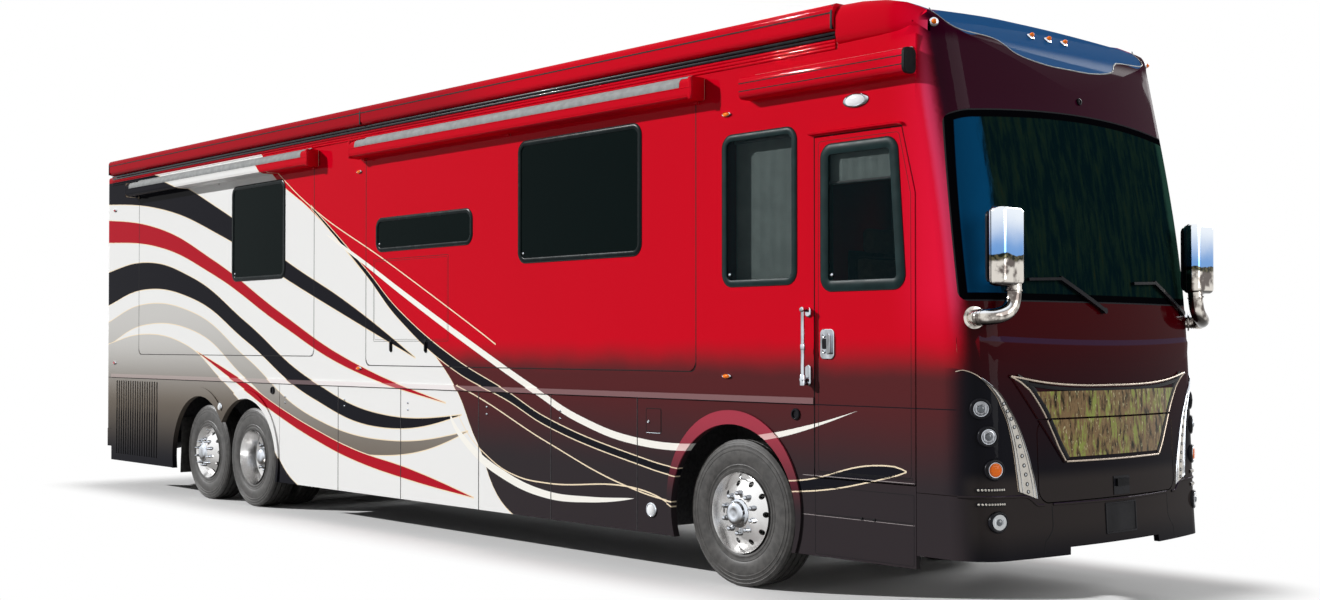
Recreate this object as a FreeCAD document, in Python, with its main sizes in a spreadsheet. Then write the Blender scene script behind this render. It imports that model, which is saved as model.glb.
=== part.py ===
import FreeCAD, Part
import math
import os
import re
import Sketcher
from FreeCAD import Placement, Rotation, Vector

# A 45 ft three-axle motorhome with a rear engine, three slide-out rooms and side-hinged bay doors.
# The frame: +X forward, +Y to the left, +Z up, the origin on the ground under the middle.

# Driving sizes, in millimetres. Heights are above the ground.
SIZES = {
    # Whole vehicle
    "overall_length": 13716,
    "overall_width": 2590,
    "wall": 40,
    "cut_overrun": 60,
    "touch_gap": 0.3,
    "front_overhang": 2327,
    "wheelbase": 7520,
    "tag_spacing": 1114,
    # Heights of the main lines
    "skirt_height": 313,
    "belt_height": 1333,
    "wall_top": 3720,
    "eave_height": 3829,
    "crown_height": 3975,
    "eave_radius": 90,
    "roof_thickness": 50,
    "belt_band": 47,
    "belt_proud": 10,
    # Caps
    "cap_depth": 637,
    "cap_hood_length": 1303,
    "cap_crown": 4008,
    "cap_eave": 3880,
    "cap_eave_radius": 160,
    "nose_radius": 5940,
    "corner_radius": 260,
    "hood_start": 3352,
    "hood_start_setback": 298,
    "hood_bend": 3829,
    "hood_bend_setback": 557,
    "rear_cap_depth": 239,
    "rear_corner_radius": 150,
    "rear_cap_bottom": 700,
    # Bumpers
    "bumper_bottom": 400,
    "bumper_top": 796,
    "bumper_joint": 4,
    "bumper_notch_height": 48,
    "bumper_notch_half": 560,
    "rear_bumper_bottom": 480,
    # Windshield
    "glass_bottom": 2009,
    "glass_side_setback": 323,
    "glass_rake": 144,
    "glass_side_top": 3183,
    "glass_top_slope": 0.52,
    "glass_corner_radius": 70,
    "glass_thickness": 8,
    "window_radius": 90,
    # Grille and the generator door behind the nose
    "flap_half": 780,
    "flap_bottom": 742,
    "flap_top": 1262,
    "flap_radius": 90,
    "flap_gap": 8,
    "grille_proud": 12,
    "grille_top": 1550,
    "grille_top_half": 1010,
    "grille_dip": 70,
    "grille_middle_half": 820,
    "grille_bottom": 985,
    "grille_bottom_half": 545,
    # Lamps
    "lamp_radius": 48,
    "lamp_proud": 14,
    "tail_lamp_width": 130,
    "tail_lamp_height": 420,
    "tail_lamp_bottom": 980,
    "tail_lamp_inset": 190,
    "tail_lamp_proud": 14,
    # Entry door
    "door_seam": 12,
    "door_width": 866,
    "door_bottom": 846,
    "door_height": 2291,
    "door_cut_length": 107,
    "door_cut_height": 422,
    "door_window_rear": 60,
    "door_window_front": 76,
    "door_window_bottom": 2100,
    "door_window_height": 979,
    "door_window_slant": 70,
    "door_gap": 10,
    # Windows
    "near_window_back": 174,
    "near_window_width": 730,
    "near_window_bottom": 2156,
    "near_window_height": 1078,
    "main_window_back": 616,
    "main_window_width": 1579,
    "main_window_bottom": 2423,
    "main_window_height": 1008,
    "slit_window_ahead": 185,
    "slit_window_width": 1593,
    "slit_window_bottom": 2618,
    "slit_window_height": 307,
    "rear_window_back": 607,
    "rear_window_width": 1192,
    "rear_window_bottom": 2430,
    "rear_window_height": 1016,
    # Slide-out rooms
    "slide_gap": 8,
    "slide_depth": 760,
    "slide_top": 3590,
    "slide_radius": 80,
    "front_slide_back": 384,
    "front_slide_length": 4660,
    "front_slide_bottom": 1544,
    "slide_space": 1012,
    "rear_slide_length": 4268,
    "rear_slide_bottom": 1626,
    "left_slide_back": 700,
    "left_slide_length": 8900,
    "runner_width": 60,
    "runner_inset": 300,
    # Awning cases and slide toppers
    "case_depth": 138,
    "case_height": 159,
    "case_radius": 45,
    "case_wall_gap": 7,
    "case_bottom": 3521,
    "case_overhang": 110,
    "cassette_bottom": 3839,
    "cassette_height": 179,
    "cassette_inner": 1180,
    "cassette_outer": 1345,
    "cassette_joint": 6,
    "front_cassette_length": 6104,
    "door_case_bottom": 3461,
    "door_case_length": 1500,
    "door_case_depth": 120,
    # Bay doors
    "bay_gap": 10,
    "bay_front": 1043,
    "bay_rear": 752,
    "barrel_radius": 4,
    "leaf": 3,
    # Wheel arches
    "front_arch_radius": 640,
    "front_arch_height": 530,
    "front_lip_radius": 690,
    "front_lip_height": 583,
    "rear_arch_radius": 700,
    "rear_arch_height": 460,
    "rear_lip_radius": 745,
    "rear_lip_height": 513,
    "lip_proud": 15,
    # Radiator louvres
    "louvre_front": 5252,
    "louvre_length": 1211,
    "louvre_bottom": 400,
    "louvre_height": 897,
    "louvre_slot": 36,
    "louvre_count": 18,
    "louvre_depth": 18,
    # Wheels
    "tyre_radius": 530,
    "tread_half": 128,
    "bead_half": 122,
    "rim_radius": 290,
    "rim_half": 136,
    "rim_lip_depth": 66,
    "dish_radius": 250,
    "rim_shell": 22,
    "hub_radius": 105,
    "hand_hole_radius": 21,
    "hand_hole_circle": 216,
    "hand_hole_depth": 60,
    "hand_hole_count": 10,
    "front_hub_out": 150,
    "dual_dish": 34,
    "track_half": 1082,
    "dual_spacing": 340,
    "tag_track_half": 1070,
    "tag_hub_out": 190,
    # Axles and steering
    "king_pin_half": 900,
    "king_pin_radius": 32,
    "king_pin_gap": 0.05,
    "spindle_radius": 55,
    "fork_depth": 110,
    "fork_height": 70,
    "fork_space": 6,
    "beam_width": 110,
    "beam_height": 100,
    "beam_end": 45,
    "axle_radius": 85,
    "differential_radius": 210,
    "differential_width": 340,
    "spring_radius": 110,
    # Chassis frame
    "rail_inner": 430,
    "rail_width": 75,
    "rail_depth": 240,
    "rail_bottom": 660,
    "ramp_length": 560,
    "ramp_behind": 80,
    "rail_front": 480,
    "rail_rear": 330,
    "cross_width": 90,
    "cross_height": 90,
    # Floor and basement
    "deck_thickness": 40,
    "deck_half": 1252,
    "basement_floor": 330,
    "basement_skin": 30,
    "stair_depth": 300,
    "stair_rise": 240,
    "stair_skin": 40,
    "housing_skin": 15,
    "housing_inner": 545,
    "housing_front_reach": 720,
    "housing_rear_reach": 722,
    "housing_top": 1215,
    "housing_side_bottom": 910,
    # Engine and its lid
    "engine_length": 1300,
    "engine_half": 380,
    "engine_bottom": 520,
    "engine_height": 730,
    "engine_back": 430,
    "engine_foot": 80,
    "lid_half": 800,
    "lid_bottom": 760,
    "lid_top": 1560,
    "lid_gap": 8,
    # Hitch receiver
    "receiver_out": 64,
    "receiver_in": 51,
    "receiver_height": 402,
    "receiver_length": 560,
    "receiver_back": 30,
    "pin_hole_radius": 8.1,
    "pin_hole_back": 45,
    "hanger_width": 60,
    # Generator tray behind the nose
    "tray_half": 400,
    "tray_length": 960,
    "tray_bottom": 746,
    "tray_thickness": 20,
    "generator_length": 760,
    "generator_half": 330,
    "generator_height": 415,
    # Roof units
    "unit_length": 1010,
    "unit_half": 360,
    "unit_rise": 135,
    "unit_radius": 90,
    "unit_sink": 75,
    # Mirrors, wipers and the grab handle
    "mirror_forward": 71,
    "mirror_half": 1120,
    "mirror_depth": 132,
    "mirror_width": 262,
    "mirror_bottom": 2099,
    "mirror_height": 487,
    "mirror_radius": 58,
    "mirror_crown": 36,
    "arm_radius": 50,
    "arm_height": 1905,
    "arm_base": 298,
    "arm_reach": 62,
    "arm_inward": 62,
    "wiper_offset": 12,
    "wiper_depth": 20,
    "wiper_arm_width": 26,
    "wiper_blade_width": 18,
    "wiper_right_base": -76,
    "wiper_left_base": 1040,
    "wiper_base_height": 1961,
    "wiper_elbow_reach": 430,
    "wiper_elbow_rise": 200,
    "wiper_blade_reach": 300,
    "wiper_blade_drop": 10,
    "wiper_spindle": 20,
    "handle_back": 57,
    "handle_bottom": 1462,
    "handle_height": 527,
    "handle_radius": 14,
    "handle_stand": 60,
    # Cab
    "seat_width": 560,
    "seat_depth": 520,
    "seat_height": 1790,
    "seat_cushion": 150,
    "seat_back_height": 800,
    "seat_back_depth": 150,
    "seat_foot": 150,
    "seat_side": 560,
    "seat_back_from_nose": 1500,
    "dash_depth": 480,
    "dash_back": 760,
    "dash_top": 1985,
    "dash_thickness": 200,
    "dash_half": 1150,
    "dash_right": 940,
}

# Places worked out from the driving sizes.
PLACES = {
    "half_length": "overall_length / 2",
    "half_width": "overall_width / 2",
    "inner_half": "half_width - wall",
    "front_axle": "half_length - front_overhang",
    "drive_axle": "front_axle - wheelbase",
    "tag_axle": "drive_axle - tag_spacing",
    "cap_seam": "half_length - cap_depth",
    "hood_seam": "half_length - cap_hood_length",
    "rear_seam": "rear_cap_depth - half_length",
    "door_front": "cap_seam - door_seam",
    "door_rear": "door_front - door_width",
    "door_top": "door_bottom + door_height",
    "front_slide_front": "front_axle - front_slide_back",
    "front_slide_rear": "front_slide_front - front_slide_length",
    "rear_slide_front": "front_slide_rear - slide_space",
    "rear_slide_rear": "rear_slide_front - rear_slide_length",
    "left_slide_front": "front_axle - left_slide_back",
    "left_slide_rear": "left_slide_front - left_slide_length",
    "bays_front": "front_axle - bay_front",
    "bays_rear": "drive_axle + bay_rear",
    "deck_bottom": "belt_height - deck_thickness / 2",
    "deck_top": "deck_bottom + deck_thickness",
    "rail_outer": "rail_inner + rail_width",
    "raised_bottom": "deck_bottom - rail_depth",
    "hinge_line": "half_width - barrel_radius",
    "barrel_clear": "barrel_radius + touch_gap",
    "bay_bottom": "skirt_height",
    "bay_top": "belt_height - bay_gap / 2",
    "glass_lower_x": "half_length - glass_side_setback",
    "glass_upper_x": "glass_lower_x - glass_rake",
    "dual_inner": "track_half - dual_spacing",
    "receiver_rear": "receiver_back - half_length",
    "mirror_x": "half_length - mirror_forward",
    "rear_face": "half_length - tail_lamp_proud",
    "unit_top": "crown_height + unit_rise",
    "unit_base": "crown_height - unit_sink",
}

# Where the bay seams and the crossmembers stand, as shares of the stretch that they divide.
RIGHT_BAY_SHARES = (0, 0.21, 0.41, 0.63, 0.81, 1)
LEFT_BAY_SHARES = (0, 0.33, 0.66, 1)
RAISED_CROSS_SHARES = (0.05, 0.28, 0.5, 0.72, 0.95)
# The nose's centreline: height as a share of the hood's crown, setback as a share of the cap's depth.
NOSE_SHARES = ((0.245, 0.047), (0.38, 0.078), (0.50, 0.126), (0.67, 0.265), (0.836, 0.468), (1.015, 0.69))
# Lamps on each corner: height and turn about the corner, as shares of the bumper's top and a right angle.
LAMP_SHARES = ((1.684, 0.46), (1.468, 0.36), (1.21, 0.27), (0.806, 0.24))
# Roof units along the roof, from the rear.
UNIT_SHARES = (0.14, 0.47, 0.80)

doc = FreeCAD.newDocument("motorhome")
sizes = doc.addObject("Spreadsheet::Sheet", "Sizes")
places = doc.addObject("Spreadsheet::Sheet", "Places")


def expr(text):
    """The text of an expression with each alias given its sheet's name."""
    def with_sheet(match):
        word = match.group(0)
        if word in SIZES:
            return "Sizes." + word
        if word in PLACES:
            return "Places." + word
        return word
    return re.sub(r"[a-z_]+", with_sheet, str(text))


for row, (name, value) in enumerate(SIZES.items(), start=1):
    sizes.set("A%d" % row, name)
    sizes.set("B%d" % row, str(value))
    sizes.setAlias("B%d" % row, name)
doc.recompute()
for row, (name, formula) in enumerate(PLACES.items(), start=1):
    places.set("A%d" % row, name)
    places.setAlias("B%d" % row, name)
for row, (name, formula) in enumerate(PLACES.items(), start=1):
    places.set("B%d" % row, "=" + expr(formula))
doc.recompute()


def num(name):
    """A size or place as a number, for shapes that are worked out here."""
    return float(getattr(sizes if name in SIZES else places, name))


# Parts made of primitives

def box(name, x, y, z):
    """A block between two corners, each coordinate a pair of expressions."""
    block = doc.addObject("Part::Box", name)
    for side, axis, (low, high) in zip(("Length", "Width", "Height"), "xyz", (x, y, z)):
        block.setExpression(side, expr("(%s) - (%s)" % (high, low)))
        block.setExpression("Placement.Base." + axis, expr(low))
    return block


TURNS = {
    "x": Rotation(Vector(0, 1, 0), 90),
    "y": Rotation(Vector(1, 0, 0), -90),
    "z": Rotation(),
}


def cylinder(name, axis, start, radius, length):
    """A cylinder along an axis, from the middle of its first end."""
    rod = doc.addObject("Part::Cylinder", name)
    rod.Placement = Placement(Vector(), TURNS[axis])
    for letter, place in zip("xyz", start):
        rod.setExpression("Placement.Base." + letter, expr(place))
    rod.setExpression("Radius", expr(radius))
    rod.setExpression("Height", expr(length))
    return rod


def join(name, pieces):
    whole = doc.addObject("Part::MultiFuse", name)
    whole.Shapes = pieces
    return whole


def group(name, pieces):
    """Separate solids kept together as one sub-part."""
    whole = doc.addObject("Part::Compound", name)
    whole.Links = pieces
    return whole


def cut(name, base, tools):
    result = doc.addObject("Part::Cut", name)
    result.Base = base
    result.Tool = tools[0] if len(tools) == 1 else join(name + "_tools", tools)
    return result


def common(name, one, other):
    result = doc.addObject("Part::Common", name)
    result.Base = one
    result.Tool = other
    return result


def mirrored(name, source):
    """The same piece on the left side."""
    twin = doc.addObject("Part::Mirroring", name)
    twin.Source = source
    twin.Base = Vector(0, 0, 0)
    twin.Normal = Vector(0, 1, 0)
    return twin


def made(name, shape):
    """A shape worked out with Part's own functions."""
    feature = doc.addObject("Part::Feature", name)
    feature.Shape = shape
    return feature


# Parts made of sketches

def plane_of(body, role):
    return next(item for item in body.Origin.OriginFeatures if item.Role == role)


def sketch_in(body, name, role, offset):
    sketch = body.newObject("Sketcher::SketchObject", name)
    sketch.AttachmentSupport = [(plane_of(body, role), "")]
    sketch.MapMode = "FlatFace"
    sketch.setExpression("AttachmentOffset.Base.z", expr(offset))
    return sketch


def draw_outline(sketch, points):
    """A closed outline whose corners are held at the given expressions."""
    first = sketch.GeometryCount
    spots = [(float(sketch.evalExpression(expr(a))), float(sketch.evalExpression(expr(b)))) for a,
             b in points]
    count = len(spots)
    for index in range(count):
        here, there = spots[index], spots[(index + 1) % count]
        sketch.addGeometry(Part.LineSegment(Vector(here[0], here[1], 0), Vector(there[0], there[1], 0)))
    for index in range(count):
        following = first + (index + 1) % count
        sketch.addConstraint(Sketcher.Constraint("Coincident", first + index, 2, following, 1))
    for index, (point, spot) in enumerate(zip(points, spots)):
        for kind, text, value in (("DistanceX", point[0], spot[0]), ("DistanceY", point[1], spot[1])):
            held = sketch.addConstraint(Sketcher.Constraint(kind, -1, 1, first + index, 1, value))
            sketch.setExpression("Constraints[%d]" % held, expr(text))
    return spots


SIDEWAYS = {"XZ_Plane": (0, 2, 1), "YZ_Plane": (1, 2, 0), "XY_Plane": (0, 1, 2)}


def corner_edges(shape, role, spots):
    """Names of the edges that run through the plate at the given corners."""
    across, up, through = SIDEWAYS[role]
    names = []
    for number, edge in enumerate(shape.Edges, start=1):
        a, b = edge.Vertexes[0].Point, edge.Vertexes[-1].Point
        straight = abs(a[across] - b[across]) < 1e-6 and abs(a[up] - b[up]) < 1e-6
        if straight and abs(a[through] - b[through]) > 1e-6:
            if any(math.hypot(a[across] - u, a[up] - v) < 1e-3 for u, v in spots):
                names.append("Edge%d" % number)
    return names


def plate(name, role, offset, thickness, points, holes=(), radius=None, rounded=(), hole_radius=None):
    """A sheet cut to an outline, with holes, and with corners rounded where they are named."""
    body = doc.addObject("PartDesign::Body", name)
    sketch = sketch_in(body, name + "_outline", role, offset)
    spots = draw_outline(sketch, points)
    hole_spots = []
    for hole in holes:
        hole_spots += draw_outline(sketch, hole)
    pad = body.newObject("PartDesign::Pad", name + "_pad")
    pad.Profile = sketch
    pad.setExpression("Length", expr(thickness))
    doc.recompute()
    base = pad
    for label, size, chosen in (("rounds", radius, [spots[i] for i in rounded]),
                                ("hole_rounds", hole_radius, hole_spots)):
        if size and chosen:
            fillet = body.newObject("PartDesign::Fillet", name + "_" + label)
            fillet.Base = (base, corner_edges(base.Shape, role, chosen))
            fillet.setExpression("Radius", expr(size))
            doc.recompute()
            base = fillet
    return body


def rounded_box(name, x, y, z, axis, radius, keep=None):
    """A block with the edges along one axis rounded, all of them or those that keep picks."""
    body = doc.addObject("PartDesign::Body", name)
    block = body.newObject("PartDesign::AdditiveBox", name + "_block")
    for side, letter, (low, high) in zip(("Length", "Width", "Height"), "xyz", (x, y, z)):
        block.setExpression(side, expr("(%s) - (%s)" % (high, low)))
        block.setExpression("Placement.Base." + letter, expr(low))
    doc.recompute()
    along = "xyz".index(axis)
    names = []
    for number, edge in enumerate(block.Shape.Edges, start=1):
        a, b = edge.Vertexes[0].Point, edge.Vertexes[-1].Point
        if abs(abs(a[along] - b[along]) - edge.Length) < 1e-6:
            if keep is None or keep(edge.CenterOfMass, block.Shape.BoundBox.Center):
                names.append("Edge%d" % number)
    fillet = body.newObject("PartDesign::Fillet", name + "_rounds")
    fillet.Base = (block, names)
    fillet.setExpression("Radius", expr(radius))
    return body


def rectangle(left, bottom, width, height):
    """The corners of an upright rectangle, as expressions."""
    right = "%s + %s" % (left, width)
    top = "%s + %s" % (bottom, height)
    return [(left, bottom), (right, bottom), (right, top), (left, top)]


def turned(name, points):
    """A ring or disc turned about the wheel's axle: points are (outboard, radius), outboard to the right."""
    body = doc.addObject("PartDesign::Body", name)
    sketch = sketch_in(body, name + "_section", "YZ_Plane", "0")
    draw_outline(sketch, [("-(%s)" % out, radius) for out, radius in points])
    turn = body.newObject("PartDesign::Revolution", name + "_turn")
    turn.Profile = sketch
    turn.ReferenceAxis = (sketch, ["H_Axis"])
    turn.Angle = 360
    return body


def place(body, x, y, z):
    for letter, value in zip("xyz", (x, y, z)):
        body.setExpression("Placement.Base." + letter, expr(value))
    return body


parts = {}


def keep(name, piece):
    """Names a finished sub-part."""
    piece.Label = name
    parts[name] = piece
    return piece


# Side walls, one sheet each with the openings for rooms and windows

near_window = rectangle("door_rear - near_window_back - near_window_width", "near_window_bottom",
                        "near_window_width", "near_window_height")
driver_window = [("door_rear + door_window_rear", "near_window_bottom"),
                 ("door_front - door_window_front", "near_window_bottom"),
                 ("door_front - door_window_front - door_window_slant",
                  "near_window_bottom + near_window_height"),
                 ("door_rear + door_window_rear", "near_window_bottom + near_window_height")]


def wall_right():
    corner = "door_front - door_cut_length + door_gap / 2"
    points = [("rear_seam", "belt_height"),
              ("door_rear - door_gap", "belt_height"),
              ("door_rear - door_gap", "door_top + door_gap"),
              (corner, "door_top + door_gap"),
              ("cap_seam", "door_top - door_cut_height - door_gap"),
              ("cap_seam", "wall_top"),
              ("rear_seam", "wall_top")]
    sheet = plate("wall_right_sheet", "XZ_Plane", "inner_half", "wall", points,
                  holes=[near_window], hole_radius="window_radius")
    rooms = [rounded_box(name, (low + " - slide_gap", high + " + slide_gap"),
                         ("-half_width - cut_overrun", "-inner_half + cut_overrun"),
                         (bottom + " - slide_gap", "slide_top + slide_gap"), "y", "slide_radius + slide_gap",
                         keep=lambda middle, centre: middle.z < centre.z)
             for name, low, high, bottom in (
                 ("front_room_opening", "front_slide_rear", "front_slide_front", "front_slide_bottom"),
                 ("rear_room_opening", "rear_slide_rear", "rear_slide_front", "rear_slide_bottom"))]
    opened = cut("wall_right_opened", sheet, rooms)
    band = box("belt_right", ("rear_seam", "door_rear - door_gap"),
               ("-half_width - belt_proud", "-half_width"), ("belt_height", "belt_height + belt_band"))
    return join("wall_right", [opened, band])


def wall_left():
    points = [("rear_seam", "belt_height"), ("cap_seam", "belt_height"),
              ("cap_seam", "wall_top"), ("rear_seam", "wall_top")]
    sheet = plate("wall_left_sheet", "XZ_Plane", "-half_width", "wall", points,
                  holes=[near_window, driver_window], hole_radius="window_radius")
    room = rounded_box("left_room_opening", ("left_slide_rear - slide_gap", "left_slide_front + slide_gap"),
                       ("inner_half - cut_overrun", "half_width + cut_overrun"),
                       ("front_slide_bottom - slide_gap", "slide_top + slide_gap"), "y",
                       "slide_radius + slide_gap", keep=lambda middle, centre: middle.z < centre.z)
    opened = cut("wall_left_opened", sheet, [room])
    band = box("belt_left", ("rear_seam", "cap_seam"), ("half_width", "half_width + belt_proud"),
               ("belt_height", "belt_height + belt_band"))
    return join("wall_left", [opened, band])


keep("side_wall_right", wall_right())
keep("side_wall_left", wall_left())


def window_glass(name, side, outline):
    """A pane that fills its opening, flush with the wall's outer face."""
    offset = "half_width - glass_thickness" if side == "right" else "-half_width"
    return plate(name, "XZ_Plane", offset, "glass_thickness", outline, radius="window_radius",
                 rounded=range(len(outline)))


keep("side_windows", group("side_windows_group", [
    window_glass("near_glass_right", "right", near_window),
    window_glass("near_glass_left", "left", near_window),
    window_glass("driver_glass", "left", driver_window)]))


# Roof, a crowned shell with rounded eaves

def roof_outline(inset):
    half = "(half_width - %s)" % inset
    return [("-" + half, "wall_top"), (half, "wall_top"), (half, "eave_height - %s" % inset),
            ("0", "crown_height - %s" % inset), ("-" + half, "eave_height - %s" % inset)]


def roof_body(name, inset, start, length):
    return plate(name, "YZ_Plane", start, length, roof_outline(inset), radius="eave_radius - %s" % inset,
                 rounded=(2, 4))


roof_outer = roof_body("roof_outer", "0", "rear_seam", "hood_seam - rear_seam")
roof_inner = roof_body("roof_inner", "roof_thickness", "rear_seam - cut_overrun",
                       "hood_seam - rear_seam + 2 * cut_overrun")
keep("roof_shell", cut("roof", roof_outer, [roof_inner]))


def roof_units():
    units = []
    for number, share in enumerate(UNIT_SHARES, start=1):
        middle = "rear_seam + (hood_seam - rear_seam) * %g" % share
        shroud = rounded_box("unit_%d" % number, (middle + " - unit_length / 2",
                                                  middle + " + unit_length / 2"),
                             ("-unit_half", "unit_half"), ("unit_base", "unit_top"), "y", "unit_radius",
                             keep=lambda edge, centre: edge.z > centre.z)
        units.append(cut("unit_%d_seated" % number, shroud, [roof_outer]))
    return group("units", units)


keep("roof_units", roof_units())


def cassette(name, rear, front):
    case = rounded_box(name + "_case", (rear, front), ("-cassette_outer", "-cassette_inner"),
                       ("cassette_bottom", "cassette_bottom + cassette_height"), "x", "case_radius",
                       keep=lambda edge, centre: edge.y < centre.y)
    return cut(name, case, [roof_outer])


def awning_cases():
    split = "hood_seam - front_cassette_length"
    front = cassette("front_cassette", split, "hood_seam - touch_gap")
    rear = cassette("rear_cassette", "rear_seam", split + " - cassette_joint")
    door = rounded_box("door_awning", ("cap_seam - door_case_length", "cap_seam"),
                       ("-half_width - door_case_depth", "-half_width"),
                       ("door_case_bottom", "door_case_bottom + case_height"), "x", "case_radius",
                       keep=lambda edge, centre: edge.y < centre.y)
    return group("awnings", [front, rear, door])


keep("awning_cassettes", awning_cases())


# Front cap: a bowed, raked nose with big corner radii under a rounded hood

def plan_wire(height, nose, inset, rear):
    """The cap's outline seen from above at one height: sides, corner arcs and the bowed front."""
    half = num("half_width") - inset
    corner = num("corner_radius") - inset
    bow = num("nose_radius") - inset
    tip = nose - inset
    middle = tip - bow
    corner_x = middle + math.sqrt((bow - corner) ** 2 - (half - corner) ** 2)
    stretch = bow / (bow - corner)
    tangent = Vector(middle + (corner_x - middle) * stretch, (half - corner) * stretch, height)
    lean = math.atan2(half - corner, corner_x - middle)
    halfway = (math.pi / 2 + lean) / 2
    bend = Vector(corner_x + corner * math.cos(halfway), half - corner + corner * math.sin(halfway), height)
    side = Vector(corner_x, half, height)
    back = Vector(rear, half, height)

    def other(point):
        return Vector(point.x, -point.y, point.z)
    edges = [Part.makeLine(other(back), other(side)),
             Part.Arc(other(side), other(bend), other(tangent)).toShape(),
             Part.Arc(other(tangent), Vector(tip, 0, height), tangent).toShape(),
             Part.Arc(tangent, bend, side).toShape(),
             Part.makeLine(side, back),
             Part.makeLine(back, other(back))]
    return Part.Wire(edges)


def prism(points, start, run):
    """A closed outline of points pushed along a vector."""
    corners = [Vector(*point) + start for point in points]
    return Part.Face(Part.makePolygon(corners + corners[:1])).extrude(run)


def nose_levels():
    bottom = (num("bumper_bottom"), num("half_length"))
    levels = [bottom]
    for height_share, setback_share in NOSE_SHARES:
        levels.append((num("cap_crown") * height_share,
                       num("half_length") - num("cap_depth") * setback_share))
    return levels


def nose_solid(inset, rear):
    """The nose filled in, at an inset from its outer face."""
    wires = [plan_wire(height, nose, inset, rear) for height, nose in nose_levels()]
    body = Part.makeLoft(wires, True, False)
    reach = num("overall_length")
    low = num("bumper_bottom")
    start = Vector(num("half_length") - num("hood_start_setback"), 0, num("hood_start"))
    bend = Vector(num("half_length") - num("hood_bend_setback"), 0, num("hood_bend"))
    end = Vector(num("hood_seam"), 0, num("cap_crown"))
    drop = Vector(0, -num("overall_width"), 0)
    start, bend, end = (point + drop - Vector(inset, 0, inset) for point in (start, bend, end))
    back = Vector(-reach, 0, 0)
    out = Vector(reach, 0, 0)
    floor = low - num("overall_width")
    arc = Part.Arc(start, bend, end).toShape()
    edges = [arc, Part.makeLine(end, end + back),
             Part.makeLine(end + back, Vector(end.x - reach, end.y, floor)),
             Part.makeLine(Vector(end.x - reach, end.y, floor), Vector(start.x + reach, end.y, floor)),
             Part.makeLine(Vector(start.x + reach, end.y, floor), start + out),
             Part.makeLine(start + out, start)]
    side_profile = Part.Face(Part.Wire(edges)).extrude(Vector(0, 2 * num("overall_width"), 0))
    half = num("half_width") - inset
    eave = num("cap_eave") - inset
    crown = num("cap_crown") - inset
    front_profile = prism([(0, -half, floor), (0, half, floor), (0, half, eave), (0, 0, crown),
                           (0, -half, eave)],
                          Vector(-reach, 0, 0), Vector(2 * reach, 0, 0))
    eaves = [edge for edge in front_profile.Edges
             if abs(edge.Vertexes[0].Point.z - eave) < 1 and abs(edge.Vertexes[-1].Point.z - eave) < 1
             and abs(abs(edge.Vertexes[0].Point.x - edge.Vertexes[-1].Point.x)) > reach]
    front_profile = front_profile.makeFillet(num("cap_eave_radius") - inset, eaves)
    return body.common(side_profile).common(front_profile)


nose_outer = nose_solid(0, num("hood_seam"))
nose_inner = nose_solid(num("wall"), num("hood_seam") - num("cut_overrun"))
nose_shell = nose_outer.cut(nose_inner)
nose_room = made("nose_room", nose_inner)


def across(x, z, half, height, depth=None):
    """A block centred on the middle plane, for cutting the nose."""
    length = num("overall_length") if depth is None else depth
    return Part.makeBox(length, 2 * half, height, Vector(x, -half, z))


def glass_cutter():
    """The windshield's edge as a side view, pushed across the nose."""
    low, high = num("glass_bottom"), num("glass_side_top")
    lower, upper = num("glass_lower_x"), num("glass_upper_x")
    ahead = num("half_length") + num("cut_overrun")
    rise = (ahead - upper) * num("glass_top_slope")
    side = num("overall_width")
    solid = prism([(lower, 0, low), (ahead, 0, low), (ahead, 0, high + rise), (upper, 0, high)],
                  Vector(0, -side, 0), Vector(0, 2 * side, 0))
    rounds = []
    for edge in solid.Edges:
        a, b = edge.Vertexes[0].Point, edge.Vertexes[-1].Point
        near = min(abs(a.x - lower), abs(a.x - upper)) < 1
        if near and abs(a.y - b.y) > side:
            rounds.append(edge)
    return solid.makeFillet(num("glass_corner_radius"), rounds)


def flap_cutter(gap):
    """The generator door seen from the front, pushed through the nose."""
    half = num("flap_half") + gap
    low, high = num("flap_bottom") - gap, num("flap_top") + gap
    seam = num("cap_seam")
    block = Part.makeBox(num("cap_depth") * 2, 2 * half, high - low, Vector(seam, -half, low))
    rounds = [edge for edge in block.Edges
              if abs(edge.Vertexes[0].Point.x - edge.Vertexes[-1].Point.x) > 1]
    return block.makeFillet(num("flap_radius") + gap, rounds)


bumper_zone = across(num("cap_seam"), 0, num("overall_width"), num("bumper_top"))
lower_zone = across(num("hood_seam") - num("overall_length"), 0, num("overall_width"),
                    num("wall_top"), num("overall_length") + num("cap_seam") - num("hood_seam"))
glass_solid = glass_cutter()
flap_hole = flap_cutter(num("flap_gap"))

cap_bottom = across(-num("overall_length"), 0, num("overall_width"),
                    num("bumper_top") + num("bumper_joint"), 2 * num("overall_length"))
cap_shape = nose_shell.cut(lower_zone).cut(cap_bottom).cut(glass_solid).cut(flap_hole)
front_cap_skin = made("front_cap_skin", cap_shape)
door_hinge_barrel = cylinder("door_hinge_barrel", "z", ("door_front", "-hinge_line", "door_bottom"),
                             "barrel_radius", "door_height - door_cut_height")
door_hinge_leaf = box("door_hinge_leaf", ("door_front + touch_gap", "door_front + touch_gap + leaf"),
                      ("-hinge_line", "-inner_half + leaf"),
                      ("door_bottom", "door_top - door_cut_height"))
door_hinge_flange = box("door_hinge_flange", ("door_front + touch_gap", "cap_seam + wall"),
                        ("-inner_half - touch_gap", "-inner_half + leaf"),
                        ("door_bottom", "door_top - door_cut_height"))
keep("front_cap", join("front_cap_whole", [front_cap_skin, door_hinge_barrel, door_hinge_leaf,
                                           door_hinge_flange]))
keep("windshield", made("windshield_glass", nose_shell.common(glass_solid)))

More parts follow.
